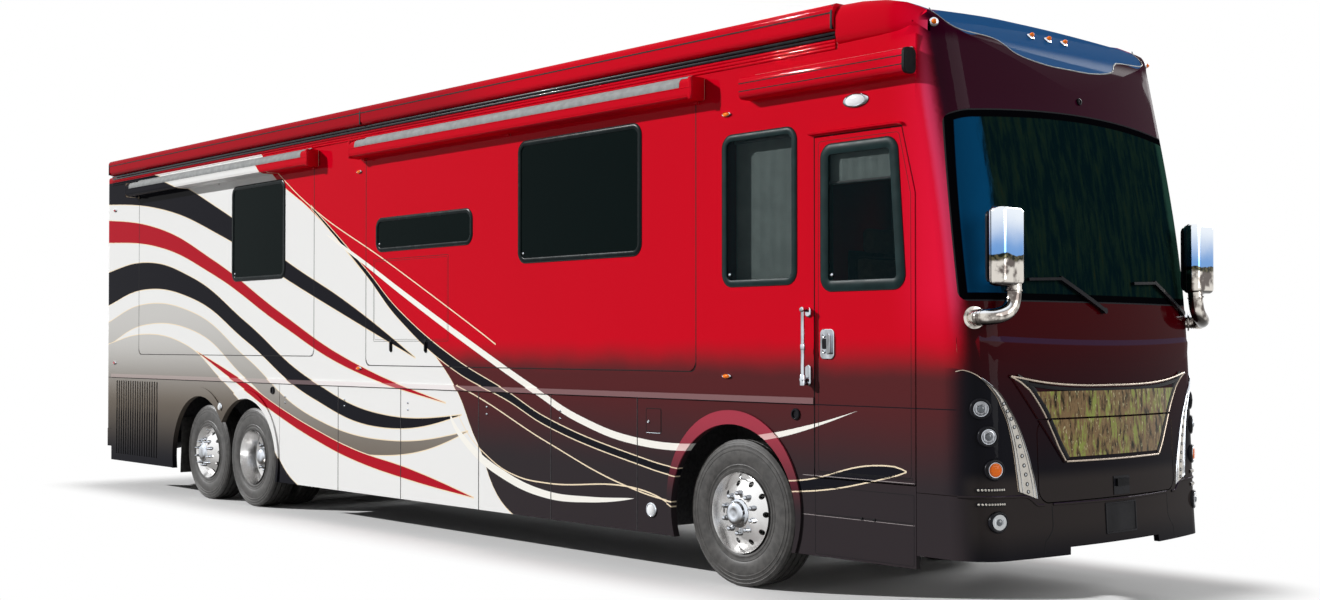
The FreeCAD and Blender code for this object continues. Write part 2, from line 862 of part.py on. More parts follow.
notch = prism([(0, -num("bumper_notch_half"), 0), (0, num("bumper_notch_half"), 0),
               (0, num("bumper_notch_half") - num("bumper_notch_height"),
                num("bumper_bottom") + num("bumper_notch_height")),
               (0, num("bumper_notch_height") - num("bumper_notch_half"),
                num("bumper_bottom") + num("bumper_notch_height"))],
              Vector(num("cap_seam"), 0, 0), Vector(num("overall_length"), 0, 0))
bumper_shape = nose_shell.common(bumper_zone).cut(flap_hole).cut(notch)
keep("front_bumper", made("front_bumper_skin", bumper_shape))

flap_shape = nose_shell.common(flap_cutter(0))
grille_outer = nose_solid(-num("grille_proud"), num("hood_seam"))
grille_skin = grille_outer.cut(nose_outer)


def grille_cutter(low, high):
    """A slice of the grille's trapezoid between two heights."""
    top, dip = num("grille_top"), num("grille_dip")
    whole = prism([(0, -num("grille_top_half"), top), (0, -num("grille_middle_half"), top - dip),
                   (0, num("grille_middle_half"), top - dip), (0, num("grille_top_half"), top),
                   (0, num("grille_bottom_half"), num("grille_bottom")),
                   (0, -num("grille_bottom_half"), num("grille_bottom"))],
                  Vector(num("cap_seam"), 0, 0), Vector(num("overall_length"), 0, 0))
    return whole.common(across(num("cap_seam"), low, num("overall_width"), high - low))


upper_grille = grille_skin.common(grille_cutter(num("flap_top") + num("flap_gap"), num("wall_top")))
lower_grille = grille_skin.common(grille_cutter(0, num("flap_top")))
keep("grille_panel", made("grille_upper", upper_grille))
keep("generator_door", made("generator_flap", flap_shape))
keep("grille_lower", made("grille_lower_panel", lower_grille))


def generator_tray():
    """The tray that carries the generator and the door, run out forward on the frame's runners."""
    rear = "half_length - tray_length"
    tray = box("tray", (rear, "half_length"), ("-tray_half", "tray_half"),
               ("tray_bottom", "tray_bottom + tray_thickness"))
    block = box("generator", (rear, rear + " + generator_length"), ("-generator_half", "generator_half"),
                ("tray_bottom + tray_thickness", "tray_bottom + tray_thickness + generator_height"))
    return common("tray_whole", join("tray_solid", [tray, block]), nose_room)


keep("generator_tray", generator_tray())


# Headlamps and tail lamps

def front_lamps():
    """Round lamps stacked down each corner, square to the corner's curve."""
    lamps = []
    levels = nose_levels()
    for height_share, turn_share in LAMP_SHARES:
        height = num("bumper_top") * height_share
        below = max(level for level in levels if level[0] <= height)
        above = min(level for level in levels if level[0] > height)
        way = (height - below[0]) / (above[0] - below[0])
        nose = below[1] + (above[1] - below[1]) * way
        half, corner, bow = num("half_width"), num("corner_radius"), num("nose_radius")
        centre = nose - bow + math.sqrt((bow - corner) ** 2 - (half - corner) ** 2)
        angle = turn_share * math.pi / 2
        for side in (-1, 1):
            outward = Vector(math.cos(angle), side * math.sin(angle), 0)
            start = Vector(centre, side * (half - corner), height) + outward * (corner - num("wall") / 2)
            lens = Part.makeCylinder(num("lamp_radius"), num("wall") / 2 + num("lamp_proud"), start,
                                     outward)
            lamps.append(lens.cut(nose_outer))
    return Part.makeCompound([lamp.Solids[0] for lamp in lamps])


corner_lamps = made("corner_lamps", front_lamps())


# Rear cap with its lid opening, bumper and lamps

def rear_cap():
    def block(name, inset, front):
        return rounded_box(name, ("-rear_face + %s" % inset, front), ("-half_width + %s" % inset,
                           "half_width - %s" % inset), ("rear_cap_bottom - (%s) * 2" % inset,
                                                        "crown_height"),
                           "z", "rear_corner_radius - %s" % inset,
                           keep=lambda edge, centre: edge.x < centre.x)

    def roof(name, inset):
        outline = roof_outline(inset)
        low = "rear_cap_bottom - (%s) * 2" % inset
        outline[0], outline[1] = (outline[0][0], low), (outline[1][0], low)
        return plate(name, "YZ_Plane", "-rear_face", "rear_cap_depth + (%s)" % inset, outline,
                     radius="eave_radius - %s" % inset, rounded=(2, 4))
    outer = common("rear_cap_outer", block("rear_block", "0", "rear_seam"), roof("rear_roof", "0"))
    inner = common("rear_cap_inner", block("rear_hollow", "wall", "rear_seam + wall"),
                   roof("rear_hollow_roof", "wall"))
    hole = rounded_box("lid_hole", ("-rear_face - cut_overrun", "-rear_face + wall + cut_overrun"),
                       ("-lid_half - lid_gap", "lid_half + lid_gap"), ("lid_bottom - lid_gap",
                                                                       "lid_top + lid_gap"),
                       "x", "flap_radius")
    shell = cut("rear_cap_shell", outer, [inner, hole])
    barrel = cylinder("lid_barrel", "y", ("-rear_face + barrel_radius", "-lid_half / 2",
                                          "lid_top + barrel_radius"),
                      "barrel_radius", "lid_half")
    leaf = box("lid_leaf", ("-rear_face + barrel_radius", "-rear_face + wall"),
               ("-lid_half / 2", "lid_half / 2"),
               ("lid_top + barrel_radius", "lid_top + lid_gap + touch_gap"))
    return join("rear_cap_whole", [shell, barrel, leaf])


keep("rear_cap", rear_cap())


def rear_lid():
    panel = rounded_box("lid_panel", ("-rear_face", "-rear_face + wall"), ("-lid_half", "lid_half"),
                        ("lid_bottom", "lid_top"), "x", "flap_radius - lid_gap")
    notch_cut = cylinder("lid_notch", "y", ("-rear_face + barrel_radius", "-lid_half",
                                            "lid_top + barrel_radius"),
                         "barrel_clear", "2 * lid_half")
    return cut("lid", panel, [notch_cut])


keep("rear_lid", rear_lid())

rear_bumper_outer = rounded_box("rear_bumper_outer", ("-half_length", "rear_seam"),
                                ("-half_width", "half_width"),
                                ("rear_bumper_bottom", "rear_cap_bottom - bumper_joint"), "z",
                                "rear_corner_radius", keep=lambda edge, centre: edge.x < centre.x)
rear_bumper_inner = box("rear_bumper_inner", ("-half_length + wall", "rear_seam + cut_overrun"),
                        ("-half_width + wall", "half_width - wall"),
                        ("rear_bumper_bottom - cut_overrun", "rear_cap_bottom - bumper_joint - wall"))
keep("rear_bumper", cut("rear_bumper_whole", rear_bumper_outer, [rear_bumper_inner]))


def tail_lamps():
    lamps = []
    for name, side in (("right", "-"), ("left", "")):
        lamps.append(rounded_box("tail_" + name, ("-half_length", "-rear_face"),
                                 ("%s(half_width - tail_lamp_inset) - tail_lamp_width / 2" % side,
                                  "%s(half_width - tail_lamp_inset) + tail_lamp_width / 2" % side),
                                 ("tail_lamp_bottom", "tail_lamp_bottom + tail_lamp_height"), "x",
                                 "tail_lamp_width / 3"))
    return group("tail_lamp_pair", lamps)


# Hitch receiver hung under the rear of the frame

def hitch_receiver():
    low = "receiver_height"
    high = "receiver_height + receiver_out"
    tube = box("receiver_tube", ("receiver_rear", "receiver_rear + receiver_length"),
               ("-receiver_out / 2", "receiver_out / 2"), (low, high))
    hollow = box("receiver_hollow", ("receiver_rear - cut_overrun", "receiver_rear + receiver_length / 2"),
                 ("-receiver_in / 2", "receiver_in / 2"),
                 ("receiver_height + (receiver_out - receiver_in) / 2",
                  "receiver_height + (receiver_out + receiver_in) / 2"))
    hole = cylinder("receiver_pin_hole", "y", ("receiver_rear + pin_hole_back", "-receiver_out",
                                               "receiver_height + receiver_out / 2"),
                    "pin_hole_radius", "2 * receiver_out")
    front = "receiver_rear + receiver_length"
    bar = box("receiver_bar", (front + " - receiver_out", front), ("-rail_outer", "rail_outer"),
              (low, high))
    hangers = [box("receiver_hanger_" + name, (front + " - hanger_width", front), span,
                   (high, "rail_bottom"))
               for name, span in (("right", ("-rail_outer", "-rail_inner")),
                                  ("left", ("rail_inner", "rail_outer")))]
    return cut("receiver", join("receiver_solid", [tube, bar] + hangers), [hollow, hole])


keep("hitch_receiver", hitch_receiver())


# Chassis frame: raised between the axles so that the bays pass right through

def rail():
    low, high = "rail_bottom", "rail_bottom + rail_depth"
    rise_rear = "bays_rear - ramp_behind"
    rise_front = "bays_front + ramp_behind"
    front = "half_length - rail_front"
    rear = "rail_rear - half_length"
    points = [(rear, low), (rise_rear + " - ramp_length", low), (rise_rear, "raised_bottom"),
              (rise_front, "raised_bottom"), (rise_front + " + ramp_length", low), (front, low),
              (front, high), (rise_front + " + ramp_length", high), (rise_front, "deck_bottom"),
              (rise_rear, "deck_bottom"), (rise_rear + " - ramp_length", high), (rear, high)]
    return plate("rail_right", "XZ_Plane", "rail_inner", "rail_width", points)


def crossmember(name, x, top):
    return box(name, (x, x + " + cross_width"), ("-rail_outer", "rail_outer"),
               (top + " - cross_height", top))


def chassis():
    right = rail()
    low_top = "rail_bottom + rail_depth"
    members = [crossmember("cross_rear", "rail_rear - half_length", low_top),
               crossmember("cross_tag", "tag_axle - tyre_radius - cross_width", low_top),
               crossmember("cross_between", "(tag_axle + drive_axle - cross_width) / 2", low_top),
               crossmember("cross_front", "half_length - rail_front - cross_width", "rail_bottom"),
               crossmember("cross_axle", "front_axle + tyre_radius", low_top)]
    for number, share in enumerate(RAISED_CROSS_SHARES, start=1):
        members.append(crossmember("cross_raised_%d" % number,
                                   "bays_rear + (bays_front - bays_rear - cross_width) * %g" % share,
                                   "deck_bottom"))
    tray_side = ("-rail_inner", "-tray_half + runner_width")
    right_runner = box("tray_runner", ("half_length - tray_length", "half_length - rail_front"), tray_side,
                       ("tray_bottom - touch_gap - runner_width", "tray_bottom - touch_gap"))
    bracket = box("bumper_bracket", ("half_length - rail_front - cross_width", "half_length"),
                  ("-rail_outer", "-rail_inner"), ("rail_bottom - cross_height", "rail_bottom"))
    right_bracket = common("bumper_bracket_right", bracket, nose_room)
    pairs = [right, right_runner, right_bracket]
    lefts = [mirrored("frame_left_%d" % number, piece) for number, piece in enumerate(pairs)]
    return join("frame", pairs + lefts + members)


keep("chassis_frame", chassis())


# Floor, entry stairs and the runners that carry the rooms

def runners(name, rear, front, bottom, side):
    inner = "half_width - slide_depth"
    span = ("-deck_half", "-(%s)" % inner) if side == "right" else (inner, "deck_half")
    bars = []
    for number, start in enumerate((rear + " + runner_inset", "(%s + %s - runner_width) / 2" % (rear,
                                                                                                front),
                                    front + " - runner_inset - runner_width"), start=1):
        bars.append(box("%s_%d" % (name, number), (start, start + " + runner_width"), span,
                        ("deck_top", bottom + " - touch_gap")))
    return bars


def floor_deck():
    deck = box("deck", ("rear_seam", "cap_seam"), ("-deck_half", "deck_half"), ("deck_bottom", "deck_top"))
    stair_cut = box("stair_cut", ("door_rear", "cap_seam + cut_overrun"),
                    ("-deck_half - cut_overrun", "-deck_half + 2 * stair_depth"),
                    ("deck_bottom - cut_overrun", "deck_top + cut_overrun"))
    opened = cut("deck_opened", deck, [stair_cut])
    stairs = []
    for number in (0, 1):
        start = "-deck_half + %d * stair_depth" % number
        rise = "door_bottom + %d * stair_rise" % number
        stairs.append(box("stair_%d" % number, ("door_rear", "door_front"),
                          (start, "-deck_half + 2 * stair_depth"),
                          (rise, rise + " + stair_skin")))
        stairs.append(box("riser_%d" % number, ("door_rear", "door_front"),
                          ("-deck_half + %d * stair_depth" % (number + 1),
                           "-deck_half + %d * stair_depth + stair_skin" % (number + 1)),
                          (rise, "deck_bottom" if number else rise + " + stair_rise + stair_skin")))
    stairs.append(box("stair_side", ("door_rear - stair_skin", "door_rear"),
                      ("-deck_half", "-deck_half + 2 * stair_depth + stair_skin"), ("door_bottom",
                                                                                    "deck_bottom")))
    stairs.append(box("stair_lip", ("door_rear - stair_skin", "door_front"),
                      ("-deck_half + 2 * stair_depth", "-deck_half + 2 * stair_depth + stair_skin"),
                      ("deck_bottom - stair_skin", "deck_top")))
    bars = runners("runner_front", "front_slide_rear", "front_slide_front", "front_slide_bottom", "right")
    bars += runners("runner_rear", "rear_slide_rear", "rear_slide_front", "rear_slide_bottom", "right")
    bars += runners("runner_left", "left_slide_rear", "left_slide_front", "front_slide_bottom", "left")
    return join("floor", [opened] + stairs + bars)


keep("floor_deck", floor_deck())


# Basement: the bays' floor and bulkheads, with a piano hinge at the front of each door

def bay_seam(shares, index):
    return "bays_rear + (bays_front - bays_rear) * %g" % shares[index]


def luggage_bays():
    low, skin = "basement_floor", "basement_skin"
    inner = "(inner_half - bay_gap / 2)"
    pieces = [box("bay_floor", ("bays_rear", "bays_front"), ("-" + inner, inner),
                  (low, low + " + " + skin))]
    for side, shares in (("right", RIGHT_BAY_SHARES), ("left", LEFT_BAY_SHARES)):
        for index in range(len(shares)):
            seam = bay_seam(shares, index)
            span = ("-" + inner, "0") if side == "right" else ("0", inner)
            outer = ("-" + inner, "-rail_outer") if side == "right" else ("rail_outer", inner)
            x = (seam + " - basement_skin / 2", seam + " + basement_skin / 2")
            pieces.append(box("bulkhead_%s_%d" % (side, index), x, span, (low, "raised_bottom")))
            pieces.append(box("bulkhead_top_%s_%d" % (side, index), x, outer,
                              ("raised_bottom", "deck_bottom")))
            if index:
                axle = seam + " - bay_gap / 2"
                sign = "-" if side == "right" else ""
                pieces.append(cylinder("barrel_%s_%d" % (side, index), "z",
                                       (axle, sign + "hinge_line", "bay_bottom"),
                                       "barrel_radius", "bay_top - bay_bottom"))
                reach = ("-hinge_line", "-" + inner + " + leaf")
                if side == "left":
                    reach = (inner + " - leaf", "hinge_line")
                pieces.append(box("leaf_%s_%d" % (side, index),
                                  (axle + " + touch_gap", axle + " + touch_gap + leaf"), reach,
                                  (low, "deck_bottom")))
    return join("bays", pieces)


def housing(name, rear, front):
    """An inner fender over the tyres: closed above, ahead and behind, and above the axle inside."""
    outer = box(name + "_outer", (rear, front), ("-inner_half", "-housing_inner"),
                ("housing_side_bottom", "housing_top"))
    inner = box(name + "_hollow", (rear + " + housing_skin", front + " - housing_skin"),
                ("-half_width", "-housing_inner - housing_skin"),
                ("housing_side_bottom - cut_overrun", "housing_top - housing_skin"))
    return cut(name, outer, [inner])


def wheel_housings():
    front = housing("housing_front", "front_axle - housing_front_reach", "front_axle + housing_front_reach")
    rear = housing("housing_rear", "tag_axle - housing_rear_reach", "drive_axle + housing_rear_reach")
    return [front, rear, mirrored("housing_front_left", front), mirrored("housing_rear_left", rear)]


keep("luggage_bays", luggage_bays())
keep("wheel_housings", group("wheel_housing_set", wheel_housings()))


def bay_door(name, shares, index, side):
    """One bay's door, hung at its front edge."""
    rear = bay_seam(shares, index) + " + bay_gap / 2"
    front = bay_seam(shares, index + 1) + " - bay_gap / 2"
    y = ("-half_width", "-inner_half") if side == "right" else ("inner_half", "half_width")
    panel = box(name + "_panel", (rear, front), y, ("bay_bottom", "bay_top"))
    sign = "-" if side == "right" else ""
    relief = cylinder(name + "_relief", "z", (front, sign + "hinge_line", "bay_bottom - cut_overrun"),
                      "barrel_clear", "bay_top - bay_bottom + 2 * cut_overrun")
    return cut(name, panel, [relief])


for index in range(len(RIGHT_BAY_SHARES) - 1):
    keep("bay_door_right_%d" % (index + 1), bay_door("bay_right_%d" % (index + 1), RIGHT_BAY_SHARES, index,
                                                     "right"))
for index in range(len(LEFT_BAY_SHARES) - 1):
    keep("bay_door_left_%d" % (index + 1), bay_door("bay_left_%d" % (index + 1), LEFT_BAY_SHARES, index,
                                                    "left"))


# Fender panels with their flared arches

def lip(name, axles, arch_radius, arch_height, lip_radius, lip_height):
    """The flare round the arches: a thin eccentric band that stands proud of the panel."""
    y = "-half_width - lip_proud"
    depth = "lip_proud + wall / 2"
    outer = [cylinder("%s_outer_%d" % (name, number), "y", (axle, y, lip_height), lip_radius, depth)
             for number, axle in enumerate(axles)]
    below = box(name + "_below", ("-half_length", "half_length"),
                ("-half_width - cut_overrun", "-inner_half"),
                ("-half_length", "skirt_height"))
    band = outer[0] if len(outer) == 1 else join(name + "_bands", outer)
    return cut(name, band, [below])


def fender(name, points, axles, arch_radius, arch_height, lip_radius, lip_height, extras=()):
    sheet = plate(name + "_sheet", "XZ_Plane", "inner_half", "wall", points)
    band = lip(name + "_lip", axles, arch_radius, arch_height, lip_radius, lip_height)
    holes = [cylinder("%s_arch_%d" % (name, number), "y", (axle, "-half_width - cut_overrun", arch_height),
                      arch_radius, "wall + 2 * cut_overrun") for number, axle in enumerate(axles)]
    return cut(name, join(name + "_solid", [sheet, band]), holes + list(extras))


def louvres():
    """Upright slots in the radiator's panel."""
    slots = []
    for number in range(SIZES["louvre_count"]):
        x = "-louvre_front - louvre_length + (louvre_length - louvre_slot) * %d / (louvre_count - 1)" % number
        slots.append(box("louvre_%d" % number, (x, x + " + louvre_slot"),
                         ("-half_width - cut_overrun", "-half_width + louvre_depth"),
                         ("louvre_bottom", "louvre_bottom + louvre_height")))
    return slots


FRONT_ARCH = ("front_arch_radius", "front_arch_height", "front_lip_radius", "front_lip_height")
REAR_ARCH = ("rear_arch_radius", "rear_arch_height", "rear_lip_radius", "rear_lip_height")


def fender_panels():
    seam = "bays_front + bay_gap / 2"
    right_points = [(seam, "skirt_height"), ("cap_seam - bumper_joint", "skirt_height"),
                    ("cap_seam - bumper_joint", "door_bottom - door_gap"),
                    ("door_rear - door_gap", "door_bottom - door_gap"),
                    ("door_rear - door_gap", "belt_height"), (seam, "belt_height")]
    left_points = rectangle(seam, "skirt_height", "cap_seam - bumper_joint - (%s)" % seam,
                            "belt_height - skirt_height")
    rear_points = rectangle("rear_seam", "skirt_height", "bays_rear - bay_gap / 2 - rear_seam",
                            "belt_height - skirt_height")
    front_right = fender("fender_front_right", right_points, ["front_axle"], *FRONT_ARCH)
    front_left = mirrored("fender_front_left", fender("fender_front_plain", left_points, ["front_axle"],
                                                      *FRONT_ARCH))
    rear_right = fender("fender_rear_right", rear_points, ["drive_axle", "tag_axle"], *REAR_ARCH,
                        extras=louvres())
    rear_left = mirrored("fender_rear_left", fender("fender_rear_plain", rear_points,
                                                    ["drive_axle", "tag_axle"],
                                                    *REAR_ARCH))
    return group("fenders", [front_right, front_left, rear_right, rear_left])


keep("fender_panels", fender_panels())


# Entry door, hung at its front edge

def entry_door():
    points = [("door_rear", "door_bottom"), ("door_front", "door_bottom"),
              ("door_front", "door_top - door_cut_height"), ("door_front - door_cut_length", "door_top"),
              ("door_rear", "door_top")]
    sheet = plate("entry_door_sheet", "XZ_Plane", "inner_half", "wall", points, holes=[door_window],
                  hole_radius="window_radius")
    relief = cylinder("entry_door_relief", "z", ("door_front", "-hinge_line", "door_bottom - cut_overrun"),
                      "barrel_clear", "door_height - door_cut_height + 2 * cut_overrun")
    return cut("entry_door_whole", sheet, [relief])


door_window = [("door_rear + door_window_rear", "door_window_bottom"),
               ("door_front - door_window_front", "door_window_bottom"),
               ("door_front - door_window_front - door_window_slant",
                "door_window_bottom + door_window_height"),
               ("door_rear + door_window_rear", "door_window_bottom + door_window_height")]
keep("entry_door", entry_door())
keep("entry_door_glass", window_glass("entry_door_pane", "right", door_window))


# Slide-out rooms: open boxes that run on the floor's runners, each with its topper's case

main_window = rectangle("front_slide_front - main_window_back - main_window_width", "main_window_bottom",
                        "main_window_width", "main_window_height")
slit_window = rectangle("front_slide_rear + slit_window_ahead", "slit_window_bottom",
                        "slit_window_width", "slit_window_height")
rear_window = rectangle("rear_slide_front - rear_window_back - rear_window_width", "rear_window_bottom",
                        "rear_window_width", "rear_window_height")
left_windows = [rectangle("left_slide_front - main_window_back - main_window_width", "main_window_bottom",
                          "main_window_width", "main_window_height"),
                rectangle("left_slide_rear + rear_window_back", "rear_window_bottom",
                          "rear_window_width", "rear_window_height")]


def room(name, rear, front, bottom, windows):
    """A room built on the right side."""
    outer = rounded_box(name + "_outer", (rear, front), ("-half_width", "slide_depth - half_width"),
                        (bottom, "slide_top"), "y", "slide_radius",
                        keep=lambda edge, centre: edge.z < centre.z)
    hollow = rounded_box(name + "_hollow", (rear + " + wall", front + " - wall"),
                         ("-inner_half", "slide_depth - half_width + cut_overrun"),
                         (bottom + " + wall", "slide_top - wall"), "y", "slide_radius - wall",
                         keep=lambda edge, centre: edge.z < centre.z)
    cutters = [plate("%s_window_%d" % (name, number), "XZ_Plane", "inner_half - cut_overrun",
                     "wall + 2 * cut_overrun", outline, radius="window_radius", rounded=range(4))
               for number, outline in enumerate(windows)]
    shell = cut(name + "_shell", outer, [hollow] + cutters)
    back = "half_width + case_wall_gap"
    case = rounded_box(name + "_case", (rear + " - case_overhang", front + " + case_overhang"),
                       ("-(%s) - case_depth" % back, "-(%s)" % back), ("case_bottom",
                                                                       "case_bottom + case_height"),
                       "x", "case_radius", keep=lambda edge, centre: edge.y < centre.y)
    flange = box(name + "_case_flange", (rear + " + wall", front + " - wall"),
                 ("-(%s)" % back, "-half_width"),
                 ("case_bottom", "slide_top"))
    return join(name, [shell, flange, case])


def panes(name, windows):
    glass = [window_glass("%s_%d" % (name, number), "right", outline) for number,
             outline in enumerate(windows)]
    return glass[0] if len(glass) == 1 else group(name, glass)


keep("slide_front_right", room("room_front", "front_slide_rear", "front_slide_front", "front_slide_bottom",
                               [main_window, slit_window]))
keep("slide_front_right_glass", panes("room_front_glass", [main_window, slit_window]))
keep("slide_rear_right", room("room_rear", "rear_slide_rear", "rear_slide_front", "rear_slide_bottom",
                              [rear_window]))
keep("slide_rear_right_glass", panes("room_rear_glass", [rear_window]))
keep("slide_left", mirrored("room_left", room("room_left_plain", "left_slide_rear", "left_slide_front",
                                              "front_slide_bottom", left_windows)))
keep("slide_left_glass", mirrored("room_left_panes", panes("room_left_glass", left_windows)))


# Wheels: tyre and rim sections turned about the axle

TYRE = [("bead_half", "rim_radius"), ("tread_half", "tyre_radius"),
        ("-tread_half", "tyre_radius"), ("-bead_half", "rim_radius")]


def hand_holes(name, rim, inner_end):
    """A ring of round holes through a wheel's disc, down to inner_end behind its middle."""
    holes = []
    for number in range(SIZES["hand_hole_count"]):
        turn = 2 * math.pi * number / SIZES["hand_hole_count"]
        holes.append(cylinder("%s_hole_%d" % (name, number), "y",
                              ("hand_hole_circle * (%.6f)" % math.cos(turn), "-tag_hub_out",
                               "hand_hole_circle * (%.6f)" % math.sin(turn)),
                              "hand_hole_radius", "tag_hub_out + %s" % inner_end))
    return cut(name, rim, holes)


def steer_rim(name, hub_out):
    """A wheel whose disc is near its outer face, with a hub that stands out of it."""
    disc = turned(name + "_disc", [("-rim_half / 2", "0"), (hub_out, "0"), (hub_out, "hub_radius"),
                                   ("rim_lip_depth", "dish_radius"), ("rim_half", "rim_radius"),
                                   ("-rim_half", "rim_radius"),
                                   ("rim_lip_depth - rim_shell", "dish_radius - rim_shell"),
                                   ("-rim_half / 2", "hub_radius")])
    return hand_holes(name, disc, "rim_half")


def dual_rim(name):
    """Two rims bolted back to back, the outer one a deep dish."""
    back = "-dual_spacing - rim_half"
    drum = turned(name + "_drum", [(back, "0"), ("0", "0"), ("0", "hub_radius"),
                                   ("-dual_dish", "hub_radius"), ("-dual_dish", "dish_radius"),
                                   ("rim_half", "rim_radius"), (back, "rim_radius")])
    return hand_holes(name, drum, "dual_dish + hand_hole_depth")


def wheel_set(label, axle, half, rim):
    tyre = place(turned("tyre_%s_shape" % label, TYRE), axle, "-" + half, "tyre_radius")
    place(rim, axle, "-" + half, "tyre_radius")
    return tyre, rim


front_tyre, front_rim = wheel_set("front", "front_axle", "track_half",
                                  steer_rim("front_rim_shape", "front_hub_out"))
tag_tyre, tag_rim = wheel_set("tag", "tag_axle", "tag_track_half",
                              steer_rim("tag_rim_shape", "tag_hub_out"))
drive_tyre, drive_rim = wheel_set("drive", "drive_axle", "track_half", dual_rim("drive_rim_shape"))
inner_tyre = place(turned("tyre_inner_shape", TYRE), "drive_axle", "-dual_inner", "tyre_radius")
drive_tyres = group("drive_tyres", [drive_tyre, inner_tyre])
for name, piece in (("tyre_front", front_tyre), ("rim_front", front_rim), ("tyre_tag", tag_tyre),
                    ("rim_tag", tag_rim), ("tyre_drive", drive_tyres), ("rim_drive", drive_rim)):
    keep(name + "_right", piece)
    keep(name + "_left", mirrored(name + "_mirrored", piece))


# Axles, with the steering knuckles on their king pins

def knuckle():
    """The stub axle: a block on the king pin, carrying the wheel's spindle."""
    low, high = "tyre_radius - fork_height", "tyre_radius + fork_height"
    block = box("knuckle_block", ("front_axle - fork_depth / 2", "front_axle + fork_depth / 2"),
                ("-king_pin_half - fork_depth / 2", "-king_pin_half + fork_depth / 2"), (low, high))
    bore = cylinder("knuckle_bore", "z", ("front_axle", "-king_pin_half", low + " - cut_overrun"),
                    "king_pin_radius + king_pin_gap", "2 * fork_height + 2 * cut_overrun")
    spindle = cylinder("knuckle_spindle", "y", ("front_axle", "-track_half + rim_half / 2 + touch_gap",
                                                "tyre_radius"),
                       "spindle_radius",
                       "track_half - rim_half / 2 - touch_gap - king_pin_half - fork_depth / 3")
    return cut("knuckle", join("knuckle_solid", [block, spindle]), [bore])


right_knuckle = knuckle()
keep("knuckle_right", right_knuckle)
keep("knuckle_left", mirrored("knuckle_mirrored", right_knuckle))


def front_axle():
    """A beam with a fork at each end round the knuckle, and its air springs."""
    low = "tyre_radius - fork_height - fork_space - beam_height"
    beam = box("front_beam", ("front_axle - beam_width / 2", "front_axle + beam_width / 2"),
               ("-king_pin_half - beam_end", "king_pin_half + beam_end"), (low, low + " + beam_height"))
    pieces = [beam]
    for side, sign in (("right", "-"), ("left", "")):
        middle = "%sking_pin_half" % sign
        pieces.append(cylinder("king_pin_" + side, "z", ("front_axle", middle, low),
                               "king_pin_radius",
                               "beam_height + 2 * fork_space + 2 * fork_height + fork_space"))
        seat = "%s(rail_inner + rail_width / 2)" % sign
        pieces.append(cylinder("front_spring_" + side, "z", ("front_axle", seat, low + " + beam_height"),
                               "spring_radius", "rail_bottom - (%s + beam_height)" % low))
    return join("front_axle_whole", pieces)




def rear_axles():
    pieces = []
    for name, axle, end in (("drive", "drive_axle", "track_half - dual_spacing - rim_half"),
                            ("tag", "tag_axle", "tag_track_half - rim_half / 2")):
        tube = cylinder(name + "_tube", "y", (axle, "-(%s) + touch_gap" % end, "tyre_radius"),
                        "axle_radius", "2 * (%s) - 2 * touch_gap" % end)
        assembly = [tube]
        if name == "drive":
            assembly.append(cylinder("differential", "y", (axle, "-differential_width / 2", "tyre_radius"),
                                     "differential_radius", "differential_width"))
        for side, sign in (("right", "-"), ("left", "")):
            seat = "%s(rail_inner + rail_width / 2)" % sign
            assembly.append(cylinder("%s_spring_%s" % (name, side), "z", (axle, seat, "tyre_radius"),
                                     "spring_radius", "rail_bottom - tyre_radius"))
        pieces.append(join(name + "_axle", assembly))
    return pieces


keep("axles", group("axle_set", [front_axle()] + rear_axles()))


def engine():
    """The engine as one plain block on feet that reach the rails."""
    rear = "engine_back - half_length"
    block = box("engine_mass", (rear, rear + " + engine_length"), ("-engine_half", "engine_half"),
                ("engine_bottom", "engine_bottom + engine_height"))
    feet = box("engine_feet", (rear + " + engine_length / 3", rear + " + engine_length / 3 + engine_foot"),
               ("-rail_inner", "rail_inner"), ("rail_bottom + engine_foot",
                                               "rail_bottom + 2 * engine_foot"))
    return join("engine", [block, feet])


keep("engine_block", engine())


# Cab: two seats, the dashboard and the steering wheel

def seat(name, side):
    rear = "half_length - seat_back_from_nose"
    y = ("%sseat_side - seat_width / 2" % side, "%sseat_side + seat_width / 2" % side)
    foot_y = ("%sseat_side - seat_foot / 2" % side, "%sseat_side + seat_foot / 2" % side)
    middle = rear + " + seat_depth / 2"
    cushion = rounded_box(name + "_cushion", (rear, rear + " + seat_depth"), y,
                          ("seat_height - seat_cushion", "seat_height"), "y", "seat_cushion / 3")
    back = rounded_box(name + "_back", (rear + " - seat_back_depth", rear), y,
                       ("seat_height - seat_cushion", "seat_height + seat_back_height"), "y",
                       "seat_back_depth / 3")
    foot = box(name + "_foot", (middle + " - seat_foot / 2", middle + " + seat_foot / 2"), foot_y,
               ("deck_top", "seat_height - seat_cushion"))
    return join(name, [cushion, back, foot])


keep("cab_seats", group("seats", [seat("seat_left", ""), seat("seat_right", "-")]))


def dashboard():
    front = "half_length - dash_back + dash_depth"
    shelf = rounded_box("dash_shelf", ("half_length - dash_back", "half_length"),
                        ("-dash_right", "dash_half"),
                        ("dash_top - dash_thickness", "dash_top"), "y", "dash_thickness / 4",
                        keep=lambda edge, centre: edge.x < centre.x)
    pedestal = box("dash_pedestal", (front + " - dash_depth / 3", front), ("0", "dash_half / 2"),
                   ("deck_bottom", "dash_top - dash_thickness"))
    return common("dash", join("dash_solid", [shelf, pedestal]), nose_room)


keep("dashboard", dashboard())


# Mirrors, wipers and the grab handle

